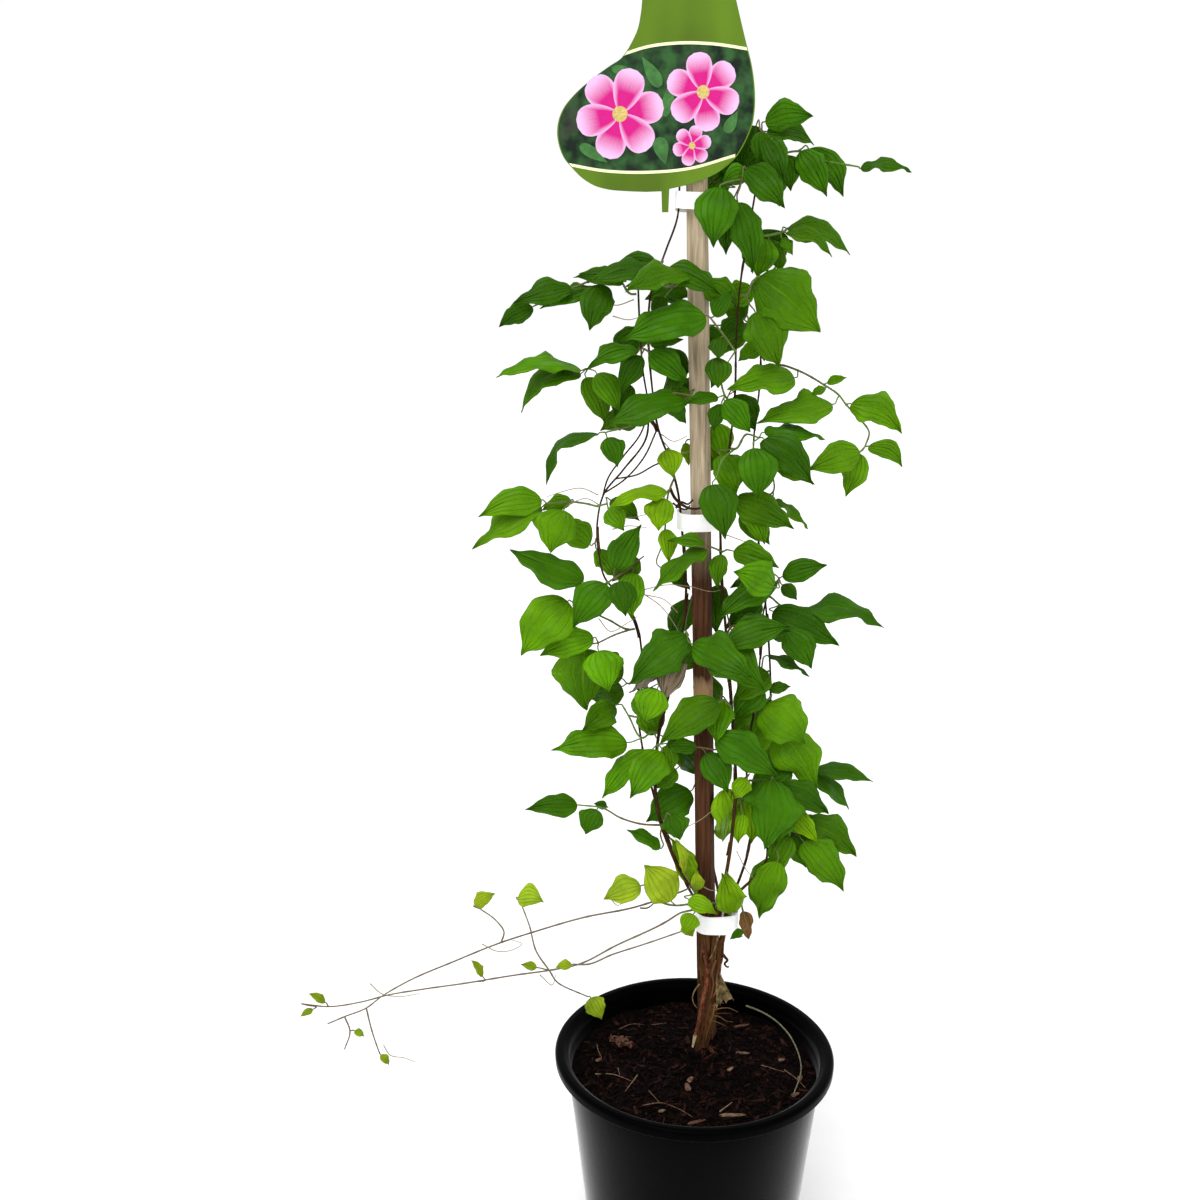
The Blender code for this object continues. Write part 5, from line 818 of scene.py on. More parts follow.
def travelling_frame(route):
    """Two directions across the route at each point, carried along it without twisting."""
    heading = np.gradient(route, axis=0)
    heading /= np.linalg.norm(heading, axis=1)[:, None]
    side = np.zeros_like(route)
    across = np.cross(heading[0], (0.31, 0.87, 0.38))
    for i, run in enumerate(heading):
        across = across - run * (across @ run)
        across = across / np.linalg.norm(across)
        side[i] = across
    return side, np.cross(heading, side)


class Body:
    """Collects closed surfaces: points in centimetres, faces, and values that the materials read."""

    def __init__(self):
        self.points, self.faces, self.kinds, self.places, self.tones = [], [], [], [], []
        self.count = 0

    def add(self, points, faces, places=None, tone=0.5, under=0.0, kind=0):
        """points is N x 3, faces a list of index arrays, places the N x 2 values of the UV map."""
        points = np.asarray(points, float).reshape(-1, 3)
        for group in faces:
            self.faces.append(np.asarray(group, int) + self.count)
            self.kinds.append(np.full(len(group), kind))
        self.points.append(points)
        places = np.zeros((len(points), 2)) if places is None else places
        self.places.append(np.asarray(places).reshape(-1, 2))
        self.tones.append(np.empty((len(points), 2)))
        self.tones[-1][:, 0], self.tones[-1][:, 1] = tone, under
        self.count += len(points)

    def made(self, name, slot, materials, nodes=(), smooth_angle=60):
        """The mesh object, inside the part's box, riding on its body and standing for these nodes of it."""
        mesh = bpy.data.meshes.new(name)
        points = np.clip(np.vstack(self.points) * CM, *FRAME_BOX)
        corners = np.concatenate([group.ravel() for group in self.faces])
        sizes = np.concatenate([np.full(len(group), group.shape[1]) for group in self.faces])
        mesh.vertices.add(len(points))
        mesh.vertices.foreach_set("co", points.astype(np.float32).ravel())
        mesh.loops.add(len(corners))
        mesh.loops.foreach_set("vertex_index", corners.astype(np.int32))
        mesh.polygons.add(len(sizes))
        mesh.polygons.foreach_set("loop_start", (np.cumsum(sizes) - sizes).astype(np.int32))
        mesh.polygons.foreach_set("loop_total", sizes.astype(np.int32))
        mesh.polygons.foreach_set("material_index", np.concatenate(self.kinds).astype(np.int32))
        layer = mesh.uv_layers.new(name="place")
        layer.data.foreach_set("uv", np.vstack(self.places)[corners].astype(np.float32).ravel())
        tones = np.vstack(self.tones)
        for column, label in enumerate(("tone", "under")):
            values = mesh.attributes.new(label, "FLOAT", "POINT")
            values.data.foreach_set("value", tones[:, column].astype(np.float32))
        mesh.update()
        mesh.validate()
        made = placed(name, mesh)
        for material in materials:
            mesh.materials.append(material)
        mesh.shade_smooth()
        mesh.set_sharp_from_angle(angle=math.radians(smooth_angle))
        if nodes:
            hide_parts(*nodes)
        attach(made, BODY)
        return made


def grid_faces(rows, columns, wrap=False):
    """Quads of a grid of points, row by row; wrap joins its last column to its first."""
    i = np.arange(rows - 1)[:, None]
    j = np.arange(columns if wrap else columns - 1)[None, :]
    right = (j + 1) % columns
    quads = np.stack([i * columns + j + 0 * right, (i + 1) * columns + j,
                      (i + 1) * columns + right, i * columns + right], axis=-1)
    return quads.reshape(-1, 4)


def grid_normals(grid):
    """The direction square to a grid of points, at each of them."""
    out = np.cross(np.gradient(grid, axis=0), np.gradient(grid, axis=1))
    return out / np.maximum(np.linalg.norm(out, axis=2), 1e-9)[..., None]


def tube_faces(rows, columns):
    """Faces of a tube of rings, one row to a ring, closed by a face at either end."""
    ring = np.arange(columns)[None, :]
    return [grid_faces(rows, columns, wrap=True)[:, ::-1], ring[:, ::-1], (rows - 1) * columns + ring]


def placed(name, data):
    """A new object in the scene."""
    made = bpy.data.objects.new(name, data)
    bpy.context.scene.collection.objects.link(made)
    return made


def add_tube(body, route, radii, sides=8, relief=None, tone=0.5, kind=0, flat=1.0):
    """A round body along a route, closed at both ends.

    A point is the route's, plus the radius times the cosine and sine of the turn along the two travelling
    directions. relief, from the turn and the length walked, swells the radius. flat squashes it one way.
    """
    side, up = travelling_frame(route)
    turn = around(sides)
    walked = np.append(0.0, np.cumsum(np.linalg.norm(np.diff(route, axis=0), axis=1)))
    radius = np.broadcast_to(np.asarray(radii, float), (len(route),))[:, None] * np.ones(sides)
    if relief is not None:
        radius = radius * relief(turn[None, :], walked[:, None])
    ring = (np.cos(turn)[None, :, None] * side[:, None, :]
            + flat * np.sin(turn)[None, :, None] * up[:, None, :])
    points = route[:, None, :] + radius[..., None] * ring
    places = joined(walked[:, None], turn / (2 * math.pi))
    body.add(points, tube_faces(len(route), sides), places, tone=tone, kind=kind)


def add_shell(body, middle, above, below, places, tone=0.5, kind=0):
    """A thin closed body from a grid of middle points, thickened by above and below along its normal."""
    out = grid_normals(middle)
    rows, columns = middle.shape[:2]
    size = rows * columns
    top = middle + out * np.broadcast_to(above, (rows, columns))[..., None]
    bottom = middle - out * np.broadcast_to(below, (rows, columns))[..., None]
    quads = grid_faces(rows, columns)
    index = np.arange(size).reshape(rows, columns)
    rim = np.concatenate([index[:-1, 0], index[-1, :-1], index[:0:-1, -1], index[0, :0:-1]])
    after = np.roll(rim, -1)
    sides = np.stack([after, rim, rim + size, after + size], axis=1)
    under = np.append(np.zeros(size), np.ones(size))
    body.add(np.vstack([top.reshape(-1, 3), bottom.reshape(-1, 3)]), [quads, quads[:, ::-1] + size, sides],
             np.vstack([places.reshape(-1, 2)] * 2), tone=tone, under=under, kind=kind)


class Finish:
    """A material whose colour, roughness and relief come from nodes."""

    def __init__(self, name, **sockets):
        self.material = bpy.data.materials.new(name)
        self.material.use_nodes = True
        self.tree = self.material.node_tree
        self.shader = self.tree.nodes["Principled BSDF"]
        for socket, value in sockets.items():
            self.shader.inputs[socket.replace("_", " ")].default_value = value

    def node(self, kind, inputs=None, **settings):
        made = self.tree.nodes.new("ShaderNode" + kind)
        for setting, value in settings.items():
            setattr(made, setting, value)
        for socket, value in (inputs or {}).items():
            if isinstance(value, bpy.types.NodeSocket):
                self.tree.links.new(value, made.inputs[socket])
            else:
                made.inputs[socket].default_value = value
        return made

    def place(self, stretch=(1, 1, 1), turn=(0, 0, 0)):
        """Object coordinates, stretched and turned."""
        source = self.node("TexCoord").outputs["Object"]
        return self.node("Mapping", {"Vector": source, "Scale": stretch, "Rotation": turn}).outputs[0]

    def own(self, stretch=(1, 1, 1)):
        """The piece's own UV map, stretched."""
        source = self.node("UVMap", uv_map="place").outputs[0]
        return self.node("Mapping", {"Vector": source, "Scale": stretch}).outputs[0]

    def value(self, label):
        return self.node("Attribute", attribute_name=label).outputs["Fac"]

    def noise(self, scale, detail=3.0, distortion=0.0, place=None):
        """Noise on Object coordinates, or on another place."""
        if place is None:
            place = self.place()
        return self.node("TexNoise", {"Vector": place, "Scale": scale, "Detail": detail,
                                      "Distortion": distortion}).outputs["Fac"]

    def sum(self, operation, first, second=0.0, third=0.0):
        return self.node("Math", {0: first, 1: second, 2: third}, operation=operation).outputs[0]

    def times(self, first, second):
        return self.sum("MULTIPLY", first, second)

    def span(self, value, low, high, start=0.0, end=1.0):
        return self.node("MapRange", {"Value": value, "From Min": low, "From Max": high, "To Min": start,
                                      "To Max": end}, clamp=True).outputs["Result"]

    def blend(self, share, first, second):
        sockets = {0: share, 6: self.colour(first), 7: self.colour(second)}
        return self.node("Mix", sockets, data_type="RGBA").outputs[2]

    def over(self, tint, colour, value, low, high, most=1.0):
        """The tint under this colour, which covers it as the value rises from low to high, at most so far."""
        return self.blend(self.span(value, low, high, 0.0, most), tint, colour)

    def colour(self, value):
        return value if isinstance(value, bpy.types.NodeSocket) else (*value[:3], 1.0)

    def paint(self, colour, *rough):
        """The colour, and where a value's span is given, that for the roughness."""
        self.tree.links.new(colour, self.shader.inputs["Base Color"])
        if rough:
            self.tree.links.new(self.span(*rough), self.shader.inputs["Roughness"])

    def relief(self, height, distance, strength=1.0):
        """Bump of this many centimetres."""
        bump = self.node("Bump", {"Height": height, "Distance": distance * CM, "Strength": strength})
        self.tree.links.new(bump.outputs[0], self.shader.inputs["Normal"])


def shade(colour, *factors):
    """The colour times one factor, or times one for each of its channels."""
    return tuple(np.array(colour[:3]) * factors)


def leaf_finish(name, colour, look, dry=False):
    """Green blade: lines of constant v are its long veins, a cell net its small ones; paler underneath."""
    finish = Finish(name, Specular_IOR_Level=0.07)
    if dry:
        return dry_finish(finish, colour)
    split = finish.node("SeparateXYZ", {0: finish.own()})
    across = finish.sum("ABSOLUTE", split.outputs["Y"])
    veins = finish.sum("PINGPONG", finish.times(across, 3.0), 0.5)
    vein = finish.span(veins, 0.0, 0.13, 1.0, 0.0)
    midrib = finish.span(across, 0.0, 0.06, 1.0, 0.0)
    net = finish.node("TexVoronoi", {"Vector": finish.own((9.0, 3.4, 1.0)), "Scale": 1.6},
                      feature="DISTANCE_TO_EDGE").outputs["Distance"]
    net = finish.span(net, 0.0, 0.09, 1.0, 0.0)
    patches = finish.noise(70.0, 3.0)
    broad = finish.noise(22.0, 2.0)
    tint = finish.blend(finish.value("tone"), shade(colour, 0.50), shade(colour, 1.40))
    tint = finish.over(tint, shade(colour, 2.0, 1.7, 1.5), across, 0.25, 1.0, 0.22)
    tint = finish.over(tint, shade(colour, 1.5, 1.15, 0.8), broad, 0.38, 0.66, 0.6)
    tint = finish.over(tint, shade(colour, 0.5), patches, 0.36, 0.64, 0.55)
    light = np.array(shade(colour, 2.0, 1.6, 1.6)) + (0.02, 0.03, 0.0)
    # Painted shade: the furrows between the long veins are darkened, as though shade lay in them.
    painted_furrow_shade = finish.span(veins, 0.02, 0.24, 0.17, 0.0)
    tint = finish.blend(painted_furrow_shade, tint, shade(colour, 0.42))
    tint = finish.blend(finish.times(vein, 0.22), tint, light)
    tint = finish.blend(finish.times(midrib, 0.40), tint, light)
    tint = finish.blend(finish.times(net, 0.12), tint, light)
    pale = np.array(shade(colour, 1.4, 1.15, 1.4)) + (0.012, 0.018, 0.003)
    tint = finish.blend(finish.times(finish.value("under"), 0.7), tint, pale)
    finish.paint(tint, patches, 0.3, 0.7, look.gloss, look.gloss + 0.14)
    finish.relief(finish.sum("MULTIPLY_ADD", patches, 0.25, finish.times(vein, -0.7)), 0.055)
    return finish.material


def dry_finish(finish, colour):
    """Dead blade: red-brown at tone 0, grey tan at tone 1, with dark streaks along it."""
    streaks = finish.noise(3.0, 4.0, 0.5, place=finish.own((0.8, 5.0, 1.0)))
    tint = finish.blend(finish.value("tone"), (0.210, 0.088, 0.016), colour)
    tint = finish.over(tint, (0.022, 0.014, 0.008), streaks, 0.42, 0.62, 0.85)
    finish.paint(tint, streaks, 0.3, 0.7, 0.8, 0.6)
    finish.relief(streaks, 0.05)
    return finish.material


def stalk_finish(name, green, brown):
    """A smooth stalk, green with brown stretches and fine lines along it."""
    finish = Finish(name, Roughness=0.5, Specular_IOR_Level=0.35)
    share = finish.span(finish.noise(26.0, 2.0), 0.40, 0.62)
    lines = finish.noise(3.0, 2.0, place=finish.own((1.0, 14.0, 1.0)))
    tint = finish.blend(share, green, brown)
    tint = finish.over(tint, shade(brown, 0.5), lines, 0.4, 0.7, 0.4)
    finish.paint(tint)
    finish.relief(lines, 0.02)
    return finish.material


def bark_finish(look):
    """Stringy bark: long streaks from dark to reddish and straw brown, with a fibre relief."""
    finish = Finish("stringy_bark", Specular_IOR_Level=0.06)
    streaks = finish.noise(2.2, 6.0, 0.6, place=finish.own((0.55, 9.0, 1.0)))
    fibres = finish.noise(3.0, 4.0, 0.3, place=finish.own((1.3, 40.0, 1.0)))
    patches = finish.noise(30.0, 3.0)
    tint = finish.blend(finish.span(streaks, 0.42, 0.58), look.bark_dark, look.bark_red)
    tint = finish.over(tint, look.bark_straw, fibres, 0.50, 0.74, 0.75)
    tint = finish.over(tint, shade(look.bark_dark, 0.6), patches, 0.45, 0.7, 0.5)
    tint = finish.blend(finish.times(finish.value("tone"), 0.75), tint, look.bark_straw)
    height = finish.node("SeparateXYZ", {0: finish.place()}).outputs["Z"]
    young = finish.blend(finish.span(streaks, 0.4, 0.6), (0.030, 0.018, 0.008), (0.085, 0.050, 0.020))
    tint = finish.over(tint, young, height, 0.215, 0.30, 0.8)
    # Painted shade: the bark darkens from 16.5 cm down to 12.5 cm, for the shade that lies on the stems' foot
    # near the soil.
    tint = finish.blend(finish.span(height, 0.125, 0.165, 0.6, 0.0), tint, shade(look.bark_dark, 0.7))
    finish.paint(tint, fibres, 0.3, 0.7, 0.95, 0.7)
    finish.relief(finish.sum("ADD", streaks, fibres), 0.12)
    return finish.material


def pot_finish(look, sheen):
    """Black plastic with a faint film of dust, fine moulding streaks and scuffs."""
    finish = Finish("black_plastic", Specular_IOR_Level=0.01, Sheen_Weight=sheen, Sheen_Roughness=0.29)
    dust = finish.noise(34.0, 5.0, 0.4, place=finish.place((1, 1, 0.35)))
    fine = finish.noise(420.0, 3.0)
    specks = finish.noise(210.0, 2.0)
    tint = finish.blend(finish.span(dust, 0.45, 0.8, 0.0, 0.6), look.plastic, look.dust)
    tint = finish.over(tint, shade(look.dust, 2.4), specks, 0.70, 0.76, 0.5)
    streaks = finish.noise(90.0, 2.0, place=finish.place((1, 1, 0.04)))
    finish.paint(tint, finish.sum("ADD", dust, fine), 0.7, 1.3, 0.34, 0.52)
    finish.relief(finish.sum("MULTIPLY_ADD", streaks, 0.6, fine), 0.012, 0.5)
    return finish.material


def wood_finish(look):
    """Sawn softwood: grain stretched along the stake, stained red-brown below and weathered grey above."""
    finish = Finish("sawn_softwood", Specular_IOR_Level=0.10)
    foot, top = stake_axis()
    lean = math.atan2(top[0] - foot[0], top[2] - foot[2])
    place = finish.place((1, 1, 0.035), (0, -lean, 0))
    grain = finish.noise(520.0, 5.0, 1.2, place=place)
    rings = finish.noise(150.0, 3.0, 2.0, place=place)
    height = finish.node("SeparateXYZ", {0: finish.place()}).outputs["Z"]
    wander = finish.noise(60.0, 3.0, place=finish.place((1, 1, 0.3)))
    wander = finish.sum("MULTIPLY_ADD", wander, 0.06, height)
    stain = finish.span(wander, look.stain_top, look.stain_top + 0.045, 1.0, 0.0)
    dry = finish.blend(finish.span(grain, 0.35, 0.65), shade(look.wood_grey, 0.62), look.wood_grey)
    wet = finish.blend(finish.span(grain, 0.35, 0.65), shade(look.wood_red, 0.45), look.wood_red)
    bare = finish.times(finish.span(wander, 0.375, 0.383), finish.span(wander, 0.393, 0.402, 1.0, 0.0))
    stain = finish.sum("MULTIPLY_ADD", bare, -0.5, stain)
    tint = finish.blend(stain, dry, wet)
    tint = finish.blend(finish.times(bare, 0.75), tint, (0.40, 0.225, 0.105))
    tint = finish.over(tint, shade(look.wood_red, 0.7), rings, 0.55, 0.75, 0.6)
    finish.paint(tint, grain, 0.3, 0.7, 0.9, 0.7)
    finish.relief(grain, 0.03)
    return finish.material


def soil_finish(name, dark, light):
    """Bark bits: each bit has its own tone, with coarse speckles over it."""
    finish = Finish(name, Specular_IOR_Level=0.04)
    grit = finish.noise(420.0, 6.0)
    tint = finish.blend(finish.value("tone"), dark, light)
    tint = finish.over(tint, shade(dark, 0.4), grit, 0.42, 0.66, 0.7)
    finish.paint(tint, grit, 0.3, 0.7, 0.95, 0.75)
    finish.relief(grit, 0.06)
    return finish.material


def plain_finish(name, colour, roughness, speckle=0.12, scale=160.0, depth=0.01, **sockets):
    """One colour that varies a little, with a faint relief."""
    finish = Finish(name, **sockets)
    grain = finish.noise(scale, 4.0)
    tint = finish.blend(finish.span(grain, 0.3, 0.7), shade(colour, 1 - speckle), shade(colour, 1 + speckle))
    finish.paint(tint, grain, 0.3, 0.7, roughness, roughness + 0.1)
    finish.relief(grain, depth, 0.6)
    return finish.material


def colour_field(name, description, *default):
    return FloatVectorProperty(name=name, description=description, subtype="COLOR", default=default)


def length_field(name, description, default):
    return FloatProperty(name=name, description=description, subtype="DISTANCE", unit="LENGTH",
                         default=default)


class PotLook(bpy.types.PropertyGroup):
    plastic: colour_field("Plastic", "Colour of the pot", 0.0002, 0.00024, 0.00028)
    dust: colour_field("Dust", "Colour of the dust film", 0.0007, 0.0009, 0.001)
    drain_radius: length_field("Drain hole", "Radius of a drain hole", 0.0045)
    steps: IntProperty(name="Steps", description="Steps round the pot", default=144)


class SoilLook(bpy.types.PropertyGroup):
    chips: IntProperty(name="Chips", description="Number of bark chips on top", default=3800)
    dark: colour_field("Dark bark", "Colour of the darkest bits", 0.001, 0.0004, 0.0003)
    red: colour_field("Red bark", "Colour of the reddest bits", 0.042, 0.0155, 0.0105)
    pale: colour_field("Pale bits", "Colour of chips of bare wood", 0.205, 0.135, 0.085)


class PlantLook(bpy.types.PropertyGroup):
    # Partly painted shade: besides deep green leaves, this colour is given to leaves that fill the foliage's
    # shaded depths.
    dark: colour_field("Dark leaf", "Colour of the deep green leaves", 0.03, 0.119, 0.0002)
    mid: colour_field("Middle leaf", "Colour of most leaves", 0.052, 0.17, 0.0003)
    light: colour_field("Light leaf", "Colour of the fresh green leaves", 0.08, 0.245, 0.0006)
    lime: colour_field("Lime leaf", "Colour of leaves with light behind them", 0.13, 0.3, 0.0012)
    young: colour_field("Young leaf", "Colour of the yellowish leaves on the shoots", 0.2, 0.32, 0.012)
    dead: colour_field("Dead leaf", "Colour of dried leaves", 0.25, 0.225, 0.165)
    gloss: FloatProperty(name="Roughness", description="Lowest roughness of a leaf", default=0.34)
    thickness: length_field("Leaf thickness", "Thickness of a blade", 0.0003)
    vein_depth: length_field("Vein depth", "How deep the long veins lie", 0.00035)
    bark_dark: colour_field("Dark bark", "Colour of the bark's shade", 0.016, 0.006, 0.003)
    bark_red: colour_field("Red bark", "Colour of the bark", 0.205, 0.058, 0.02)
    bark_straw: colour_field("Straw bark", "Colour of peeling bark", 0.345, 0.19, 0.068)


class HolderLook(bpy.types.PropertyGroup):
    wood_grey: colour_field("Weathered wood", "Colour of the stake's upper part", 0.56, 0.445, 0.3)
    wood_red: colour_field("Stained wood", "Colour of the stake's lower part", 0.088, 0.034, 0.014)
    stain_top: length_field("Stain height", "Where the stain ends", 0.47)
    tie: colour_field("Tie", "Colour of the ties", 0.95, 0.95, 0.94)
    card: colour_field("Card", "Ground colour of the card", 0.098, 0.185, 0.008)
    cream: colour_field("Card lines", "Colour of the card's lines", 0.86, 0.87, 0.52)
    petal: colour_field("Printed petal", "Colour of the printed flowers' middle", 0.56, 0.01, 0.2)
    petal_edge: colour_field("Printed petal edge", "Colour of their edges", 0.72, 0.46, 0.72)


class StageLook(bpy.types.PropertyGroup):
    floor: colour_field("Floor", "Colour of the floor", 0.93, 0.93, 0.93)
    sky: FloatProperty(name="Sky", description="Strength of the even light", default=1.0)
    key: FloatProperty(name="Key light", description="Strength of the soft light from above", default=2.2)
    fill: FloatProperty(name="Fill light", description="Power of the lamp at the front", default=6.0)


def pot_profile(inner_rows, outer_rows):
    """The pot's outline as radius and height, its corners rounded by short curves.

    Each corner is replaced by the curve that starts and ends a set way before and after it and leans
    on the corner itself. The rows are the heights of single points on the inner and outer wall.
    """
    def inside(z, reach=0.0):
        return pot_inner_radius(z), z, reach

    skirt = POT_HEIGHT - POT_RIM_SKIRT
    walls = (0.3, skirt - 0.42), (POT_FOOT_RADIUS, POT_TOP_RADIUS - 0.14)
    corners = [
        (0.0, POT_FLOOR, 0.0), (POT_FOOT_RADIUS - 0.30, POT_FLOOR, 0.05),
        inside(POT_FLOOR + 0.12, 0.05), *(inside(z) for z in inner_rows), inside(1.8),
        inside(POT_HEIGHT - 1.1, 0.02),
        (pot_inner_radius(POT_HEIGHT - 1.05) + 0.025, POT_HEIGHT - 1.02, 0.02),
        (pot_inner_radius(POT_HEIGHT - 0.75) + 0.025, POT_HEIGHT - 0.75, 0.02),
        inside(POT_HEIGHT - 0.7, 0.02), inside(POT_HEIGHT - 0.3, 0.1),
        (POT_TOP_RADIUS + 0.14, POT_HEIGHT, 0.1), (POT_RIM_RADIUS - 0.14, POT_HEIGHT, 0.1),
        (POT_RIM_RADIUS, POT_HEIGHT - 0.16, 0.1), (POT_RIM_RADIUS - 0.03, skirt, 0.05),
        (POT_RIM_RADIUS - 0.28, skirt, 0.04), (POT_TOP_RADIUS, skirt + 0.1, 0.05),
        (POT_TOP_RADIUS - 0.14, skirt - 0.42, 0.12),
        *((np.interp(z, *walls), z, 0.0) for z in (1.8, *outer_rows[::-1])),
        (POT_FOOT_RADIUS, 0.3, 0.05), (POT_FOOT_RADIUS - 0.15, 0.0, 0.08), (0.0, 0.0, 0.0),
    ]
    places = np.array([corner[:2] for corner in corners])
    points = [places[0]]
    reaches = [corner[2] for corner in corners[1:]]
    for before, here, after, reach in zip(places[:-2], places[1:-1], places[2:], reaches):
        start = here + unit(before - here) * reach
        end = here + unit(after - here) * reach
        for t in np.linspace(0, 1, 5) if reach else (0.5,):
            points.append((1 - t) ** 2 * start + 2 * t * (1 - t) * here + t ** 2 * end)
    points.append(places[-1])
    return np.array(points)


def pot_inner_radius(z):
    """The inside of the tapered wall."""
    share = (z - POT_FLOOR) / (POT_HEIGHT - POT_FLOOR)
    return POT_FOOT_RADIUS - POT_WALL + share * (POT_TOP_RADIUS - POT_FOOT_RADIUS)


def add_turned(body, profile, steps, split, sides, holes, reach):
    """A profile turned round the upright axis, from one point on the axis to another, outer side last.

    The faces as far as the profile's last point above the height split are of kind 1. The sides are
    five rows of the inner wall and five of the outer wall, upwards. Each hole takes the block of four
    by four faces between them out of both walls: the block's border is moved to a circle of the given
    reach by the mapping (x, y) to (x sqrt(1 - y y / 2), y sqrt(1 - x x / 2)), and faces join the two
    borders through the wall.
    """
    ring = profile[1:-1]
    turn = np.tile(around(steps), (len(ring), 1))
    radius, height = (np.repeat(ring[:, i:i + 1], steps, axis=1) for i in (0, 1))
    quads = grid_faces(len(ring), steps, wrap=True)
    kept = np.ones((len(ring) - 1, steps), bool)
    along = np.array([-2, -1, 0, 1, 2, 2, 2, 2, 2, 1, 0, -1, -2, -2, -2, -2])
    across = np.roll(along, 4)
    x = along / 2 * np.sqrt(1 - (across / 2) ** 2 / 2)
    y = across / 2 * np.sqrt(1 - (along / 2) ** 2 / 2)
    joins = []
    for i in range(holes):
        middle = round(steps * (i + 0.5) / holes)
        columns = (middle + along) % steps
        borders = []
        for rows in sides:
            kept[min(rows):max(rows), (middle + np.arange(-2, 2)) % steps] = False
            border = np.asarray(rows)[across + 2]
            levels = ring[rows, 1]
            turn[border, columns] = 2 * math.pi * middle / steps + x * reach / ring[rows[2], 0]
            height[border, columns] = levels[2] + y * (levels[-1] - levels[2])
            radius[border, columns] = np.interp(height[border, columns], levels, ring[rows, 0])
            borders.append(border * steps + columns)
        inner, outer = borders
        joins.append(np.column_stack([outer, np.roll(outer, -1), np.roll(inner, -1), inner]))
    points = joined(radius * np.cos(turn), radius * np.sin(turn), height)
    quads = quads[kept.ravel()]
    last = (len(ring) - 1) * steps
    ends = [np.arange(steps)[None, :], last + np.arange(steps)[None, ::-1]]
    high = quads.min(axis=1) < np.flatnonzero(ring[:, 1] > split)[-1] * steps
    body.add(points, [quads[high], ends[0]], kind=1)
    body.add(np.empty((0, 3)), [part - body.count for part in (quads[~high], ends[1], *joins)])


class CLEMATIS_OT_pot(bpy.types.Operator):
    """Add the black nursery pot, turned from its profile, with drain holes round the foot"""
    bl_idname = "clematis.pot"
    bl_label = "Nursery pot"

    def execute(self, context):
        look = context.scene.clematis_pot
        body = Body()
        reach = look.drain_radius / CM
        inner_rows, outer_rows = (z + np.linspace(-0.68, 0.68, 5) * reach for z in (0.80, 0.74))
        profile = pot_profile(inner_rows, outer_rows)
        heights = profile[1:-1, 1]
        sides = ([np.flatnonzero(np.isclose(heights, z))[0] for z in inner_rows],
                 [np.flatnonzero(np.isclose(heights, z))[-1] for z in outer_rows])
        split = POT_HEIGHT - POT_RIM_SKIRT - 0.02
        add_turned(body, profile, look.steps, split, sides, DRAIN_HOLES, reach)
        body.made("nursery_pot", "pot_plastic", [pot_finish(look, 0.85), pot_finish(look, 0.18)], ["pot"], 35)
        return {"FINISHED"}


def soil_height(x, y):
    """Level, with a low mound at the stems and lumps all over."""
    mound = SOIL_MOUND * np.exp(-((x - 0.9) ** 2 + (y - 1.5) ** 2) / 9.0)
    points = joined(x, y, 0.0)
    return SOIL_LEVEL + mound + 0.10 * lumps(points, 3.0, 5) + 0.05 * lumps(points, 0.9, 6)


def chip_bodies(body, places, lengths, widths, depths, headings, tilts, tones, seed):
    """Flat chips with ragged ends.

    Each is four five-cornered sections, narrow, wide, wide and narrow, with jitter.
    """
    draw = np.random.default_rng(seed)
    count = len(places)
    stations = np.array([-0.5, -0.3, 0.26, 0.5])
    shares = np.array([0.45, 1.0, 0.9, 0.35])
    lengths, widths, depths, headings, tilts = (values[:, None, None] for values in (
        lengths, widths, depths, headings, tilts))
    turn = around(5)
    along = stations[None, :, None] + draw.uniform(-0.07, 0.07, (count, 4, 5))
    across = shares[None, :, None] * np.cos(turn) * draw.uniform(0.75, 1.1, (count, 4, 5)) / 2
    up = shares[None, :, None] * np.sin(turn) * draw.uniform(0.75, 1.1, (count, 4, 5)) / 2
    along, across, up = along * lengths, across * widths, up * depths
    c, s = np.cos(headings), np.sin(headings)
    points = joined(along * c - across * s, along * s + across * c, up + along * np.sin(tilts))
    points = points + places[:, None, None, :]
    base = np.arange(count)[:, None, None] * 20
    faces = [(part[None] + base).reshape(-1, part.shape[1]) for part in tube_faces(4, 5)]
    body.add(points, faces, tone=np.repeat(tones, 20))


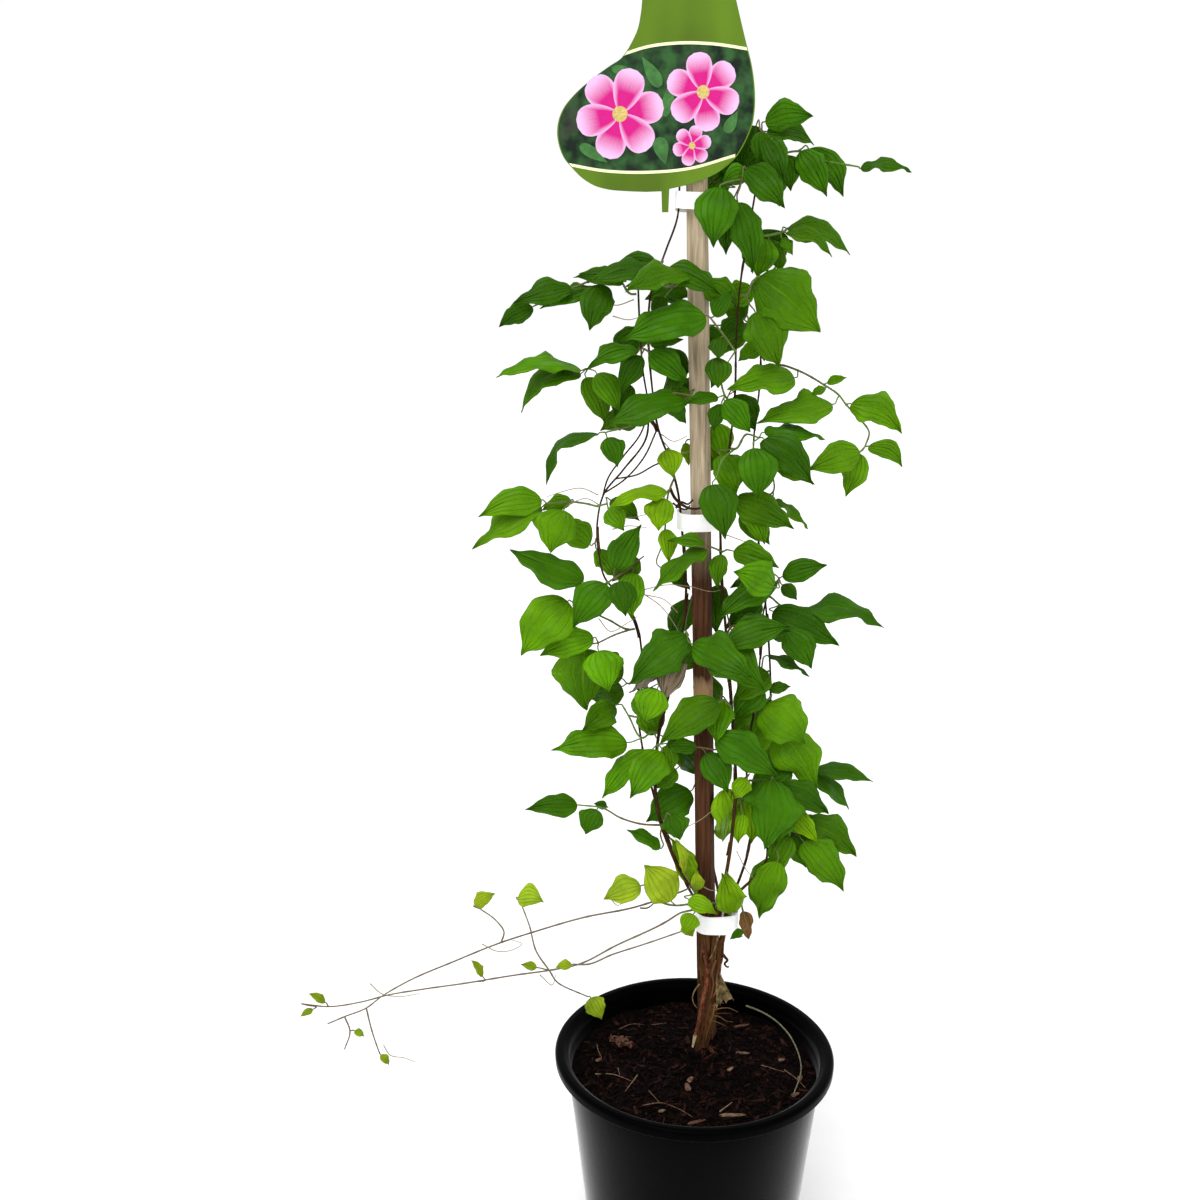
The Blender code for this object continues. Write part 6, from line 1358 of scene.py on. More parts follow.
class CLEMATIS_OT_soil(bpy.types.Operator):
    """Add the bark mix that fills the pot, with chips over its top"""
    bl_idname = "clematis.soil"
    bl_label = "Growing medium"

    def execute(self, context):
        look = context.scene.clematis_soil
        body = Body()
        rings, steps = 56, 150
        top_radius = pot_inner_radius(SOIL_LEVEL) - GAP - 0.02
        reach = np.append(0.05, np.linspace(0.2, top_radius, rings - 1))
        turn = around(steps)
        x, y = reach[:, None] * np.cos(turn), reach[:, None] * np.sin(turn)
        points = joined(x, y, soil_height(x, y))
        heel = POT_FLOOR + 0.6
        sides = [(pot_inner_radius(heel) - GAP, heel), (POT_FOOT_RADIUS - 0.6, POT_FLOOR + GAP)]
        points = np.concatenate([points, [joined(r * np.cos(turn), r * np.sin(turn), z) for r, z in sides]])
        tones = np.clip(0.04 + 0.12 * lumps(points.reshape(-1, 3), 0.5, 9), 0, 1)
        body.add(points, [part[:, ::-1] for part in tube_faces(rings + 2, steps)], tone=tones)
        draw = np.random.default_rng(SEED)
        count = look.chips
        reach = (top_radius - 0.35) * np.sqrt(draw.uniform(0.0, 1.0, count))
        turn = draw.uniform(0, 2 * math.pi, count)
        x, y = reach * np.cos(turn), reach * np.sin(turn)
        size = draw.uniform(0, 1, count) ** 2.8
        lengths = 0.17 + 0.75 * size
        widths = 0.07 + 0.26 * size * draw.uniform(0.4, 1.2, count)
        depths = 0.05 + 0.11 * draw.uniform(0, 1, count)
        places = joined(x, y, soil_height(x, y) + draw.uniform(0.0, 0.10, count))
        tones = draw.beta(0.40, 2.2, count)
        chip_bodies(body, places, lengths, widths, depths, draw.uniform(0, math.pi, count),
                    draw.uniform(-0.3, 0.3, count), tones, SEED + 1)
        body.made("bark_mix", "soil", [soil_finish("bark_bits", look.dark, look.red)], ["soil"], 40)
        return {"FINISHED"}


# Bits on the soil: radius, tone from brown to pale, and the way each runs as x and y
SOIL_TWIGS = table("""
.05 .9 -6.1 -.9 -5 -1.2 -3.9 -1.7
.05 1 -3.5 -1.2 -3.9 -1.9 -4.3 -2.9
.04 .8 -4.7 -.7 -4.6 -1.3
.04 .7 -2.9 -2.9 -2.5 -3.4 -2.3 -3.9
.05 .45 -3.3 -4.3 -2.2 -4 -1.2 -4.5 -.4 -5.2
.07 1 1.2 -4.9 2 -4
.04 .8 5.6 -.5 6.2 -1.7 6.6 -2.5
.04 .75 4.2 -.2 5.6 -.7
.04 .8 -6 2.2 -5.9 1.3 -5.7 .6
.05 .4 -2.4 4.6 -1.4 4.9
.05 .3 .9 5.9 1.9 5.6 2.9 5.9
.04 .5 -4.6 3.9 -3.7 4.6 -2.9 4.8
""")
# The pale stalk that lies curved on the right: x, y and height over the soil
DRY_STALK = in_rows("""
3.96 5.96 .85 4.84 5.52 .7 5.63 4.66 .55 6.23 3.53 .43 6.58 2.02 .35 6.69 -.16 .28 6.25 -2.02 .23 5.75 -3.1 \
.18
""".split())
# Larger chips: x, y, length, width, heading in degrees, tone
LARGE_CHIPS = in_rows("""
1.9 -5.1 1.4 .4 -6 .75 2.2 -1.1 .5 .32 40 .8 -.3 -1.7 .5 .35 70 .6 -.5 -2.4 .7 .4 100 .45 -.2 -5.6 1 .35 15 \
.25 5.6 .6 .4 .3 0 .6 3.1 .9 .9 .2 -12 .5 6.4 -1.6 .6 .4 60 .35 5.9 -3 .5 .35 20 .6 -5.9 .4 .4 .3 30 .5 \
-2.2 -4.9 .4 .3 10 .8 3.4 4.4 1.2 .3 10 .2
""".split(), 6)


class CLEMATIS_OT_litter(bpy.types.Operator):
    """Add the twigs, the straw, the dry stalk, the pale chips and the brown clump that lie on the soil"""
    bl_idname = "clematis.litter"
    bl_label = "Twigs and chips"

    def execute(self, context):
        look = context.scene.clematis_soil
        body = Body()
        for radius, tone, *route in SOIL_TWIGS:
            x, y = in_rows(route, 2).T
            line, share = flowing(joined(x, y, soil_height(x, y) + 0.16), 0.2)
            add_tube(body, line, 0.75 * radius * (1 - 0.5 * share), 6, tone=tone)
        x, y, lift = DRY_STALK.T
        line, share = flowing(joined(x, y, lift + soil_height(x, y)), 0.2)
        add_tube(body, line, 0.062 - 0.030 * share, 8, kind=1)
        x, y, lengths, widths, headings, tones = LARGE_CHIPS.T
        places = joined(x, y, soil_height(x, y) + 0.16)
        chip_bodies(body, places, lengths, widths, np.full(len(x), 0.16), np.radians(headings),
                    np.full(len(x), 0.08), tones, SEED + 3)
        draw = np.random.default_rng(SEED + 4)
        for _ in range(34):
            start = np.array((-4.4, 2.1, 0.0)) + draw.normal(0, 0.24, 3) * (1, 1, 0)
            bend = draw.normal(0, 0.19, (3, 2))
            flat = start[:2] + np.cumsum(np.vstack([np.zeros(2), bend]), axis=0)
            rise = np.array((0.0, 0.35, 0.4, 0.1)) * draw.uniform(0.2, 1.2)
            line, share = flowing(np.column_stack([flat, soil_height(*flat.T) + 0.2 + rise]), 0.12)
            add_tube(body, line, 0.11 * (1 - 0.6 * share), 5, tone=draw.uniform(0.1, 0.5), flat=0.4)
        brown = shade(look.red, 2.0)
        stalk = plain_finish("dry_stalk", (0.125, 0.130, 0.072), 0.8, 0.4, 500.0, 0.03)
        body.made("soil_litter", "soil", [soil_finish("dry_bits", brown, look.pale), stalk], (), 40)
        return {"FINISHED"}


class CLEMATIS_OT_stake(bpy.types.Operator):
    """Add the square sawn stake, slightly uneven along its length"""
    bl_idname = "clematis.stake"
    bl_label = "Wooden stake"

    def execute(self, context):
        look = context.scene.clematis_holder
        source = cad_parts["stake"].data
        corners = np.empty(len(source.vertices) * 3, np.float32)
        source.vertices.foreach_get("co", corners)
        corners = corners.reshape(-1, 3) / CM
        foot, top = stake_axis()
        run = unit(top - foot)
        reach = corners - foot
        flat = reach - (reach @ run)[:, None] * run
        widest = flat[int(np.argmax(np.linalg.norm(flat, axis=1)))]
        diagonal = unit(widest)
        other = np.cross(run, diagonal)
        turn = np.radians(np.array([0, 8, 25, 45, 65, 82]))
        turn = np.concatenate([turn + quarter * math.pi / 2 for quarter in range(4)])
        half = STAKE_SIDE / 2
        off = turn - math.pi / 4
        square = np.minimum(half / np.maximum(np.abs(np.cos(off)), np.abs(np.sin(off))), half * 1.35)
        marks = np.linspace(0, 1, 130)
        line = foot + marks[:, None] * (top - foot)
        ring = np.cos(turn)[:, None] * diagonal + np.sin(turn)[:, None] * other
        points = line[:, None, :] + square[None, :, None] * ring[None]
        uneven = -0.010 + 0.010 * lumps(points * (1, 1, 0.25), 1.2, 21)
        points = points + uneven[..., None] * ring[None]
        body = Body()
        body.add(points, tube_faces(len(marks), len(turn)))
        body.made("square_stake", "stake_wood", [wood_finish(look)], ["stake"], 30)
        return {"FINISHED"}


class CLEMATIS_OT_ties(bpy.types.Operator):
    """Add the three white ties: flat tape bent round the stems, its free end lapped over its start"""
    bl_idname = "clematis.ties"
    bl_label = "Ties"

    def execute(self, context):
        look = context.scene.clematis_holder
        material = plain_finish("white_tape", look.tie, 0.42, 0.03, 220.0, 0.012, Specular_IOR_Level=0.5)
        across = np.linspace(-1, 1, 9)
        for tie in TIES:
            body = Body()
            turn = np.linspace(-0.10, 2 * math.pi + 0.22, 150) - TIE_SEAM
            middle = (tie.low + tie.high) / 2
            half = (tie.high - tie.low) / 2 - 0.02
            seam = 2 * math.pi - TIE_SEAM
            lap = 0.09 * smoothstep(seam - 0.15, seam + 0.02, turn)
            tape_x = tie.half_x - TIE_TAPE + lap
            tape_y = tie.half_y - TIE_TAPE + lap
            x = tie.x + tape_x * power(np.cos(turn))
            y = tie.y + tape_y * power(np.sin(turn))
            sag = 0.05 * np.sin(turn * 2.0 + tie.low)
            z = middle + sag[:, None] + half * across[None, :] * 0.95
            grid = joined(x[:, None], y[:, None], z)
            wrinkle = 0.014 * lumps(grid * (1.0, 1.0, 0.5), 0.9, 31)
            out = (grid - (tie.x, tie.y, 0)) * (1, 1, 0)
            out /= np.linalg.norm(out, axis=2)[..., None]
            grid = grid + out * (wrinkle + 0.012 * (np.abs(across) ** 6)[None, :])[..., None]
            places = joined(turn[:, None], across[None, :])
            add_shell(body, grid, 0.025, 0.025, places)
            body.made("tape_" + tie.name, "tie_plastic", [material], [tie.name], 50)
        return {"FINISHED"}


def card_outline():
    """The card's outline as a smooth closed curve, with its tab's corners left sharp."""
    return np.vstack([flowing(LABEL_OUTLINE[:-4], 0.12)[0], LABEL_OUTLINE[-4:]])


def card_edge(outline, left):
    """The card's left or right edge, as a function that gives x at a height."""
    side = outline[(outline[:, 0] < -1.2) == left]
    side = side[(side[:, 1] > 65.2) & (side[:, 1] < 77.5)]
    side = side[np.argsort(side[:, 1])]
    return lambda z: np.interp(z, side[:, 1], side[:, 0])


# The card's cream lines, x and z: the lower under the printed picture, the upper over it
LOWER_LINE = ((-7.62, 66.22), (-5.6, 65.88), (-3.4, 65.80), (-1.0, 66.00), (1.42, 66.66))
UPPER_LINE = ((-4.62, 71.72), (-3.3, 72.10), (-1.7, 72.28), (0.1, 72.24), (2.02, 71.98))
# Printed flowers: middle x and z, reach, turn in degrees, number of petals
PRINTED_FLOWERS = ((-4.75, 68.75, 2.35, 12, 6), (-0.35, 69.85, 2.0, 40, 6), (-0.9, 67.15, 1.05, 75, 6))
# Printed leaves: stalk end x and z, tip x and z, width
PRINTED_LEAVES = ((-2.6, 70.1, -3.6, 71.6, 0.7), (-2.7, 67.6, -2.3, 66.2, 0.8), (-6.9, 67.2, -5.4, 66.3, 0.6),
                  (-2.4, 68.6, -1.9, 70.7, 0.6), (0.9, 67.8, 1.5, 68.9, 0.6), (-5.2, 71.0, -3.9, 70.9, 0.45))


def add_print(body, grid, layer, places, kind):
    """A printed shape: a thin layer that lies in front of the card, the higher layers further out."""
    front = LABEL_Y - LABEL_THICKNESS / 2 - 0.004 - 0.006 * layer
    add_shell(body, joined(grid[..., 0], front, grid[..., 1]), 0.003, 0.003, places, kind=kind)


class CLEMATIS_OT_card(bpy.types.Operator):
    """Add the plant card with a plain printed design of pink flowers between two cream lines"""
    bl_idname = "clematis.card"
    bl_label = "Plant card"

    def execute(self, context):
        look = context.scene.clematis_holder
        outline = card_outline()
        curve = bpy.data.curves.new("card", "CURVE")
        curve.dimensions = "2D"
        curve.fill_mode = "BOTH"
        curve.extrude = LABEL_THICKNESS / 2 * CM - 0.0001
        curve.bevel_depth = 0.0001
        curve.bevel_resolution = 1
        curve.offset = -0.0001
        spline = curve.splines.new("POLY")
        spline.use_cyclic_u = True
        spline.points.add(len(outline) - 1)
        flat = np.column_stack([outline * CM, np.zeros(len(outline)), np.ones(len(outline))])
        spline.points.foreach_set("co", flat.astype(np.float32).ravel())
        guide = placed("card_guide", curve)
        context.view_layer.update()
        graph = context.evaluated_depsgraph_get()
        mesh = bpy.data.meshes.new_from_object(guide.evaluated_get(graph))
        bpy.data.objects.remove(guide, do_unlink=True)
        upright = np.empty(len(mesh.vertices) * 3, np.float32)
        mesh.vertices.foreach_get("co", upright)
        upright = upright.reshape(-1, 3)
        upright = joined(upright[:, 0], LABEL_Y * CM - upright[:, 2], upright[:, 1])
        mesh.vertices.foreach_set("co", upright.ravel())
        mesh.update()
        card = placed("plant_card", mesh)
        mesh.materials.clear()
        mesh.materials.append(self.ground(look))
        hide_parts("label")
        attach(card, BODY)
        self.add_design(outline, look)
        return {"FINISHED"}

    def ground(self, look):
        """Olive green, darker in soft bands."""
        finish = Finish("printed_card", Roughness=0.32, Specular_IOR_Level=0.25)
        bands = finish.noise(26.0, 2.0, place=finish.place((1, 1, 0.5)))
        finish.paint(finish.over(shade(look.card, 0.72), shade(look.card, 1.2), bands, 0.35, 0.65))
        finish.relief(finish.noise(300.0, 2.0), 0.003, 0.3)
        return finish.material

    def add_design(self, outline, look):
        """The printed picture, its lines, flowers and leaves, as layers on the card's front."""
        left, right = card_edge(outline, True), card_edge(outline, False)
        low, high = flowing(LOWER_LINE, 0.15)[0], flowing(UPPER_LINE, 0.15)[0]
        body = Body()
        t = np.linspace(0, 1, 70)[:, None]
        s = np.linspace(0, 1, 60)[None, :]
        left_z = low[0, 1] + t * (high[0, 1] - low[0, 1])
        right_z = low[-1, 1] + t * (high[-1, 1] - low[-1, 1])
        x = left(left_z) + 0.07 + s * (right(right_z) - left(left_z) - 0.14)
        low_z = np.interp(x[0], low[:, 0], low[:, 1])[None, :]
        high_z = np.interp(x[-1], high[:, 0], high[:, 1])[None, :]
        straight = left_z + s * (right_z - left_z)
        bow = (1 - t) * (low_z - straight[:1]) + t * (high_z - straight[-1:])
        add_print(body, joined(x, straight + bow), 0, joined(s, t), 0)
        for line in (low, high):
            across = np.linspace(-0.075, 0.075, 3)
            z = line[:, 1:] + across
            grid = joined(np.clip(line[:, :1], left(z) + 0.05, right(z) - 0.05), z)
            add_print(body, grid[::-1], 1, np.zeros(grid.shape), 1)
        u = np.linspace(0.02, 0.994, 14)[:, None]
        v = np.linspace(-1, 1, 9)[None, :]
        side_a, side_b = np.meshgrid(np.linspace(-1, 1, 7), np.linspace(-1, 1, 7), indexing="ij")
        for bx, bz, tx, tz, width in PRINTED_LEAVES:
            run = np.array((tx - bx, tz - bz))
            side = np.array((run[1], -run[0])) / np.linalg.norm(run)
            half = width / 2 * leaf_outline(u)
            grid = (bx, bz) + u[..., None] * run + (v * half)[..., None] * side
            add_print(body, grid, 2, joined(u, v), 2)
        for number, (x, z, reach, turn, count) in enumerate(PRINTED_FLOWERS):
            for petal in range(count):
                angle = math.radians(turn + 360 * petal / count)
                run = np.array((math.cos(angle), math.sin(angle))) * reach
                side = np.array((run[1], -run[0])) / reach
                half = 0.52 * reach * u ** 0.8 * np.maximum(1 - u, 0) ** 0.42 * 1.45
                grid = (x, z) + u[..., None] * run + (v * half)[..., None] * side
                add_print(body, grid, 3 + 2 * number + petal % 2, joined(u, v), 3)
            grid = joined(x + 0.17 * reach * side_a * np.sqrt(1 - side_b ** 2 / 2),
                          z + 0.17 * reach * side_b * np.sqrt(1 - side_a ** 2 / 2))
            add_print(body, grid, 5 + 2 * number, np.zeros(grid.shape), 4)
        picture = self.picture_finish()
        cream = plain_finish("cream_print", look.cream, 0.35, 0.04, Specular_IOR_Level=0.5)
        leaf = plain_finish("leaf_print", (0.03, 0.14, 0.02), 0.35, 0.35, 300.0, Specular_IOR_Level=0.5)
        eye = plain_finish("eye_print", (0.55, 0.42, 0.12), 0.4, 0.3, 900.0, Specular_IOR_Level=0.5)
        body.made("card_print", "label_card", [picture, cream, leaf, self.petal_finish(look), eye], (), 30)

    def picture_finish(self):
        """A blurred garden: dark green with softer light and purple-brown spots."""
        finish = Finish("picture_print", Roughness=0.32, Specular_IOR_Level=0.2)
        spots = finish.noise(120.0, 2.0)
        warm = finish.noise(60.0, 1.0)
        tint = finish.blend(finish.span(spots, 0.38, 0.66), (0.006, 0.014, 0.008), (0.030, 0.100, 0.026))
        finish.paint(finish.over(tint, (0.035, 0.012, 0.028), warm, 0.55, 0.75, 0.6))
        return finish.material

    def petal_finish(self, look):
        """Deep pink at the middle of the flower, fading to pale lilac at the petal's rim, finely lined."""
        finish = Finish("petal_print", Roughness=0.32, Specular_IOR_Level=0.2)
        split = finish.node("SeparateXYZ", {0: finish.own()})
        across = finish.sum("ABSOLUTE", split.outputs["Y"])
        lines = finish.noise(4.0, 3.0, place=finish.own((1.0, 9.0, 1.0)))
        rim = finish.span(split.outputs["X"], 0.45, 1.0)
        rim = finish.sum("MAXIMUM", rim, finish.span(across, 0.55, 1.1))
        rim = finish.sum("MULTIPLY_ADD", finish.sum("SUBTRACT", lines, 0.5), 0.5, rim)
        finish.paint(finish.blend(finish.span(rim, 0.05, 0.85), look.petal, look.petal_edge))
        return finish.material


# Loose strands at the bundle and the joints: 0 bark, 1 bare wood, 2 red or 3 torn bark, tone, first and
# last radius, and the points they run through as x, z and depth
STRANDS = table("""
2 .12 .11 .09 1.03 18.77 1.35 .96 17.68 1.12 .81 16.85 .95 .61 15.74 .78 .41 14.63 .66 .23 13.65 .55
1 .8 .105 .06 .23 13.72 .56 .09 12.87 .48
3 .3 .06 .04 1.56 20.54 .92 1.45 20 .95 1.3 19.46 .98 1.06 18.98 1.08
0 .8 .06 .04 1.47 18.91 1.05 1.23 18.09 .98 1.34 17.19 .95 1.2 16.3 .92
2 .35 .07 .04 1.78 19.05 1.15 1.73 18.09 1.08 1.66 17.19 1 1.33 16.37 .9
2 0 .08 .05 .64 19.59 1.05 .88 18.5 1.1 .96 17.26 1 .76 16.3 .85 .71 15.32 .8
0 .9 .055 .03 1.46 15.95 .95 1.35 15.18 .72 1.11 14.28 .6 .88 13.22 .5
0 .9 .04 .02 1.34 15.46 .85 1.91 15.6 .8 2.35 15.6 .75 2.93 15.32 .7
0 .8 .045 .02 1.29 15.11 .8 1.8 14.98 .75 2.18 14.7 .7 2.63 14.63 .7
0 .9 .045 .02 1.23 14.77 .75 1.74 14.56 .7 2.19 14.35 .65
0 .6 .04 .02 1.27 15.74 .9 1.65 15.95 .9 2.03 15.95 .9
3 .4 .05 .03 .46 17.26 1.2 .15 16.78 1.05 .03 16.3 .95 .13 15.88 .85 .33 15.6 .8
0 0 .1 .05 1.83 19.39 1.5 2.03 19.11 1.4 2.19 18.91 1.35 2.01 18.64 1.35 2.17 18.43 1.3 2.29 18.43 1.3
0 .05 .1 .06 -1.76 48.61 1.2 -1.47 48.03 1.05 -.94 47.57 .75 -.36 47.39 .5 .1 47.45 .5
0 .15 .07 .05 -1.4 47.45 1 -1.12 47.8 .85 -.71 47.68 .7 -.43 47.92 .6
0 .1 .06 .04 -1.58 47.74 1.1 -1.17 47.45 .85 -.76 47.39 .65 -.59 47.62 .6
0 .1 .13 .08 -2.9 52.51 1.2 -2.66 52.17 1.15 -2.55 51.83 1.15
0 0 .05 .03 -3.32 22.43 1.3 -2.89 22.43 1.2 -2.52 22.7 1.1 -2.27 23.03 1
""")


class CLEMATIS_OT_stems(bpy.types.Operator):
    """Add the woody stems with stringy, peeling bark and their crown"""
    bl_idname = "clematis.stems"
    bl_label = "Woody stems"

    def execute(self, context):
        look = context.scene.clematis_plant
        draw = np.random.default_rng(SEED + 10)
        body = Body()
        routes = {}
        for name in STEMS:
            way = STEMS[name][1]
            route, share = flowing(way, 0.16)
            route = self.gathered(route)
            marks = np.linspace(0, 1, len(way))
            radii = np.interp(share, marks, stem_radii(name, marks))
            z = route[:, 2]
            radii = radii * (1 - 0.12 * smoothstep(20, 16, z) - 0.28 * smoothstep(21.5, 24, z))
            joints = 0.28 * np.exp(-((z % 5.3 - 2.6) / 0.22) ** 2)
            radii = radii * (1 + joints * smoothstep(22, 26, z))
            add_tube(body, route, radii, 14, self.bark(draw.uniform(0, 6)), tone=draw.uniform(0, 0.5))
            routes[name] = (route, radii)
        self.add_crown(body)
        self.add_peelings(body, routes, draw)
        for route in TWINING:
            line, share = flowing(route, 0.15)
            add_tube(body, line, TWINING_RADIUS * 0.9, 8, tone=0.1)
        for kind, tone, first, last, *route in STRANDS:
            line, share = flowing([seen(*place) for place in in_rows(route)], 0.12)
            radii = first + (last - first) * share
            add_tube(body, line, radii, 8, self.bark(tone), tone=tone, kind=int(kind))
        self.add_sheath(body)
        bare = plain_finish("bare_wood", (0.40, 0.32, 0.16), 0.7, 0.3, 300.0)
        torn = plain_finish("torn_bark", (0.135, 0.098, 0.042), 0.8, 0.7, 330.0, 0.05, Specular_IOR_Level=0.1)
        red = plain_finish("red_bark", (0.120, 0.038, 0.020), 0.8, 0.8, 420.0, 0.06, Specular_IOR_Level=0.05)
        body.made("woody_stems", "stem_bark", [bark_finish(look), bare, red, torn], ["stems"], 75)
        return {"FINISHED"}

    def gathered(self, route):
        """The route drawn towards the middle of the bundle below the low tie."""
        z = route[:, 2]
        tight = 0.36 * smoothstep(22.2, 19.9, z) + 0.26 * smoothstep(19.4, 17.2, z)
        middle = np.column_stack([np.interp(z, (13.0, 15.5, 18.9, 21.3), (0.35, 0.95, 1.28, 1.40)),
                                  np.interp(z, (13.0, 21.3), (0.95, 1.75))])
        route = route.copy()
        route[:, :2] += (middle - route[:, :2]) * tight[:, None]
        return route

    def bark(self, phase):
        """Ridges that wind slowly round a stem, and finer ones that run faster."""
        return lambda turn, walked: (1 + 0.15 * np.sin(3 * turn + 0.55 * walked + phase)
                                     + 0.08 * np.sin(5 * turn - 1.3 * walked + 2 * phase)
                                     + 0.04 * np.sin(1.7 * walked + 4 * phase))

    def add_sheath(self, body):
        """The papery torn bark at the bundle's right: a strip that widens downwards, with a ragged edge."""
        t = np.linspace(0, 1, 16)[:, None]
        v = np.linspace(-1, 1, 9)[None, :]
        x = 1.55 + 0.42 * t + (0.10 + 0.42 * t ** 0.8) * v
        z = 18.4 - 1.9 * t + 0.25 * v * t + 0.22 * np.sin(9 * v + 2) * t ** 4
        middle = joined(x, 1.0 + 0.12 * np.cos(3 * v), z)
        middle[..., 1] += 0.10 * lumps(middle, 0.6, 61)
        middle[..., 0] += 0.06 * lumps(middle, 0.5, 62) * t
        add_shell(body, middle, 0.012, 0.012, joined(t * 2, v * 0.2), kind=3)

    def add_crown(self, body):
        """The knotted foot: a ball with upright ridges."""
        rows, columns = 18, 28
        rise = np.linspace(-math.pi / 2 + 0.06, math.pi / 2 - 0.06, rows)[:, None]
        turn = around(columns)[None, :]
        ball = joined(np.cos(rise) * np.cos(turn), np.cos(rise) * np.sin(turn), np.sin(rise))
        swell = 1 + 0.10 * np.sin(6 * turn + rise) + 0.08 * lumps(ball, 0.8, 41)
        points = np.array(CROWN_CENTRE) + ball * swell[..., None] * np.array(CROWN_HALF)
        body.add(points, tube_faces(rows, columns), joined(rise, turn / 6.3), tone=0.0)

    def add_peelings(self, body, routes, draw):
        """Loose strips of bark that follow a stem and stand off it at their ends."""
        names = ["left", "right_inner", "right_outer", "bow", "right_back", "back"]
        for i in range(170):
            route, radii = routes[names[int(draw.integers(0, 6))]]
            low = draw.uniform(12.8, 21.5) if i < 130 else draw.uniform(24, 45)
            first = int(np.argmin(np.abs(route[:, 2] - low)))
            count = int(draw.integers(5, 15))
            piece = route[first:first + count]
            if len(piece) < 5:
                continue
            side, up = travelling_frame(piece)
            angle = draw.uniform(0, 2 * math.pi)
            out = math.cos(angle) * side + math.sin(angle) * up
            over = -math.sin(angle) * side + math.cos(angle) * up
            t = np.linspace(-1, 1, len(piece))
            most = draw.uniform(0.02, 0.26)
            lift = radii[first] + 0.02 + most * np.abs((t + 0.4 * draw.uniform(-1, 1)) / 1.4) ** 3
            width = draw.uniform(0.04, 0.13) * (1 - 0.5 * t ** 2)
            v = np.linspace(-1, 1, 3)
            middle = (piece + out * lift[:, None])[:, None, :]
            grid = middle + (width[:, None] * v)[..., None] * over[:, None, :]
            places = joined(t[:, None], v[None, :])
            add_shell(body, grid, 0.012, 0.012, places, tone=draw.uniform(0.0, 1.0) ** 2)


# Fine stalks that twine between stems and leaves: x, z and depth of the points they run through
TENDRILS = [in_rows(route) for route in table("""
-3.3 42.6 2 -1.9 42.9 1.4 -.5 42.8 .9 .8 42.5 .9 1.6 42.7 1.3
-3.3 42.4 1.9 -2.2 41.6 1.5 -1.4 40.5 1.3 -.9 39.6 1.2
-3.1 42.3 1.7 -2 42 1.2 -1.2 41.2 .9
-5.9 40.9 1.6 -5.2 40.1 1.4 -4.2 40.6 1.6 -3.6 41 1.9
-5.9 48.2 1.6 -6.9 48.6 1.4 -8 48.4 1.2 -8.9 48.1 1.2
-5.8 47.6 1.6 -6.6 48 1.3 -7.6 47.7 1
-5.2 47.3 1.4 -4.2 46.9 1.2 -3 47.1 1.2
-5.1 46.2 1.4 -4.2 46.4 1.2 -3.1 46.3 1.2
-2.3 51.7 1.1 -1.6 51.3 .9 -.8 51.6 .7
-2.2 51.3 1.1 -1.4 50.6 .9 -.7 50.7 .7
1.5 53.9 .8 2.3 54.5 .9 2.9 55 1
-3.9 59.2 1.1 -5 58.9 1 -5.8 59.3 .9
-5.1 58.3 1 -4.2 58.1 1 -3.4 58.3 1
1.2 46 .6 2.3 45.6 .5 3.1 45.3 .6
-1.7 27.3 1.2 -.7 27.7 1 .4 28.3 .9 1.2 29 .9
2.6 26.2 1.2 3.2 25 1.2 3.9 24.2 1.5
.5 23.9 .8 1.1 23.6 .6 1.9 23.8 .7
-5.2 23.1 1.6 -4.7 22.6 1.4 -4.3 22.9 1.3
2.2 43.2 .9 2.9 43.9 .7 3.3 44.9 .6
-13.2 20 1.8 -12.2 19.5 1.7 -11.3 19.6 1.7 -10.7 20 1.7 -11.4 20.3 1.7
-9.6 17.9 1.8 -8.8 17.2 1.8 -8.6 17.9 1.8
-19.6 13 1.8 -19.2 12.3 1.8 -18.3 12.1 1.8 -17.6 11.8 1.8
-20.3 17.3 1.8 -19.6 16.6 1.8 -18.6 16.4 1.8 -17.2 16.6 1.8
""")]
TENDRIL_RADIUS = 0.032


class CLEMATIS_OT_tendrils(bpy.types.Operator):
    """Add the fine bare stalks that twine from stem to stem"""
    bl_idname = "clematis.tendrils"
    bl_label = "Fine stalks"

    def execute(self, context):
        body = Body()
        for route in TENDRILS:
            line, share = flowing([seen(*place) for place in route], 0.12)
            add_tube(body, line, TENDRIL_RADIUS * (1.1 - 0.5 * share), 6)
        material = stalk_finish("fine_stalk", (0.30, 0.26, 0.14), (0.32, 0.20, 0.15))
        body.made("fine_stalks", "stem_bark", [material], (), 75)
        return {"FINISHED"}


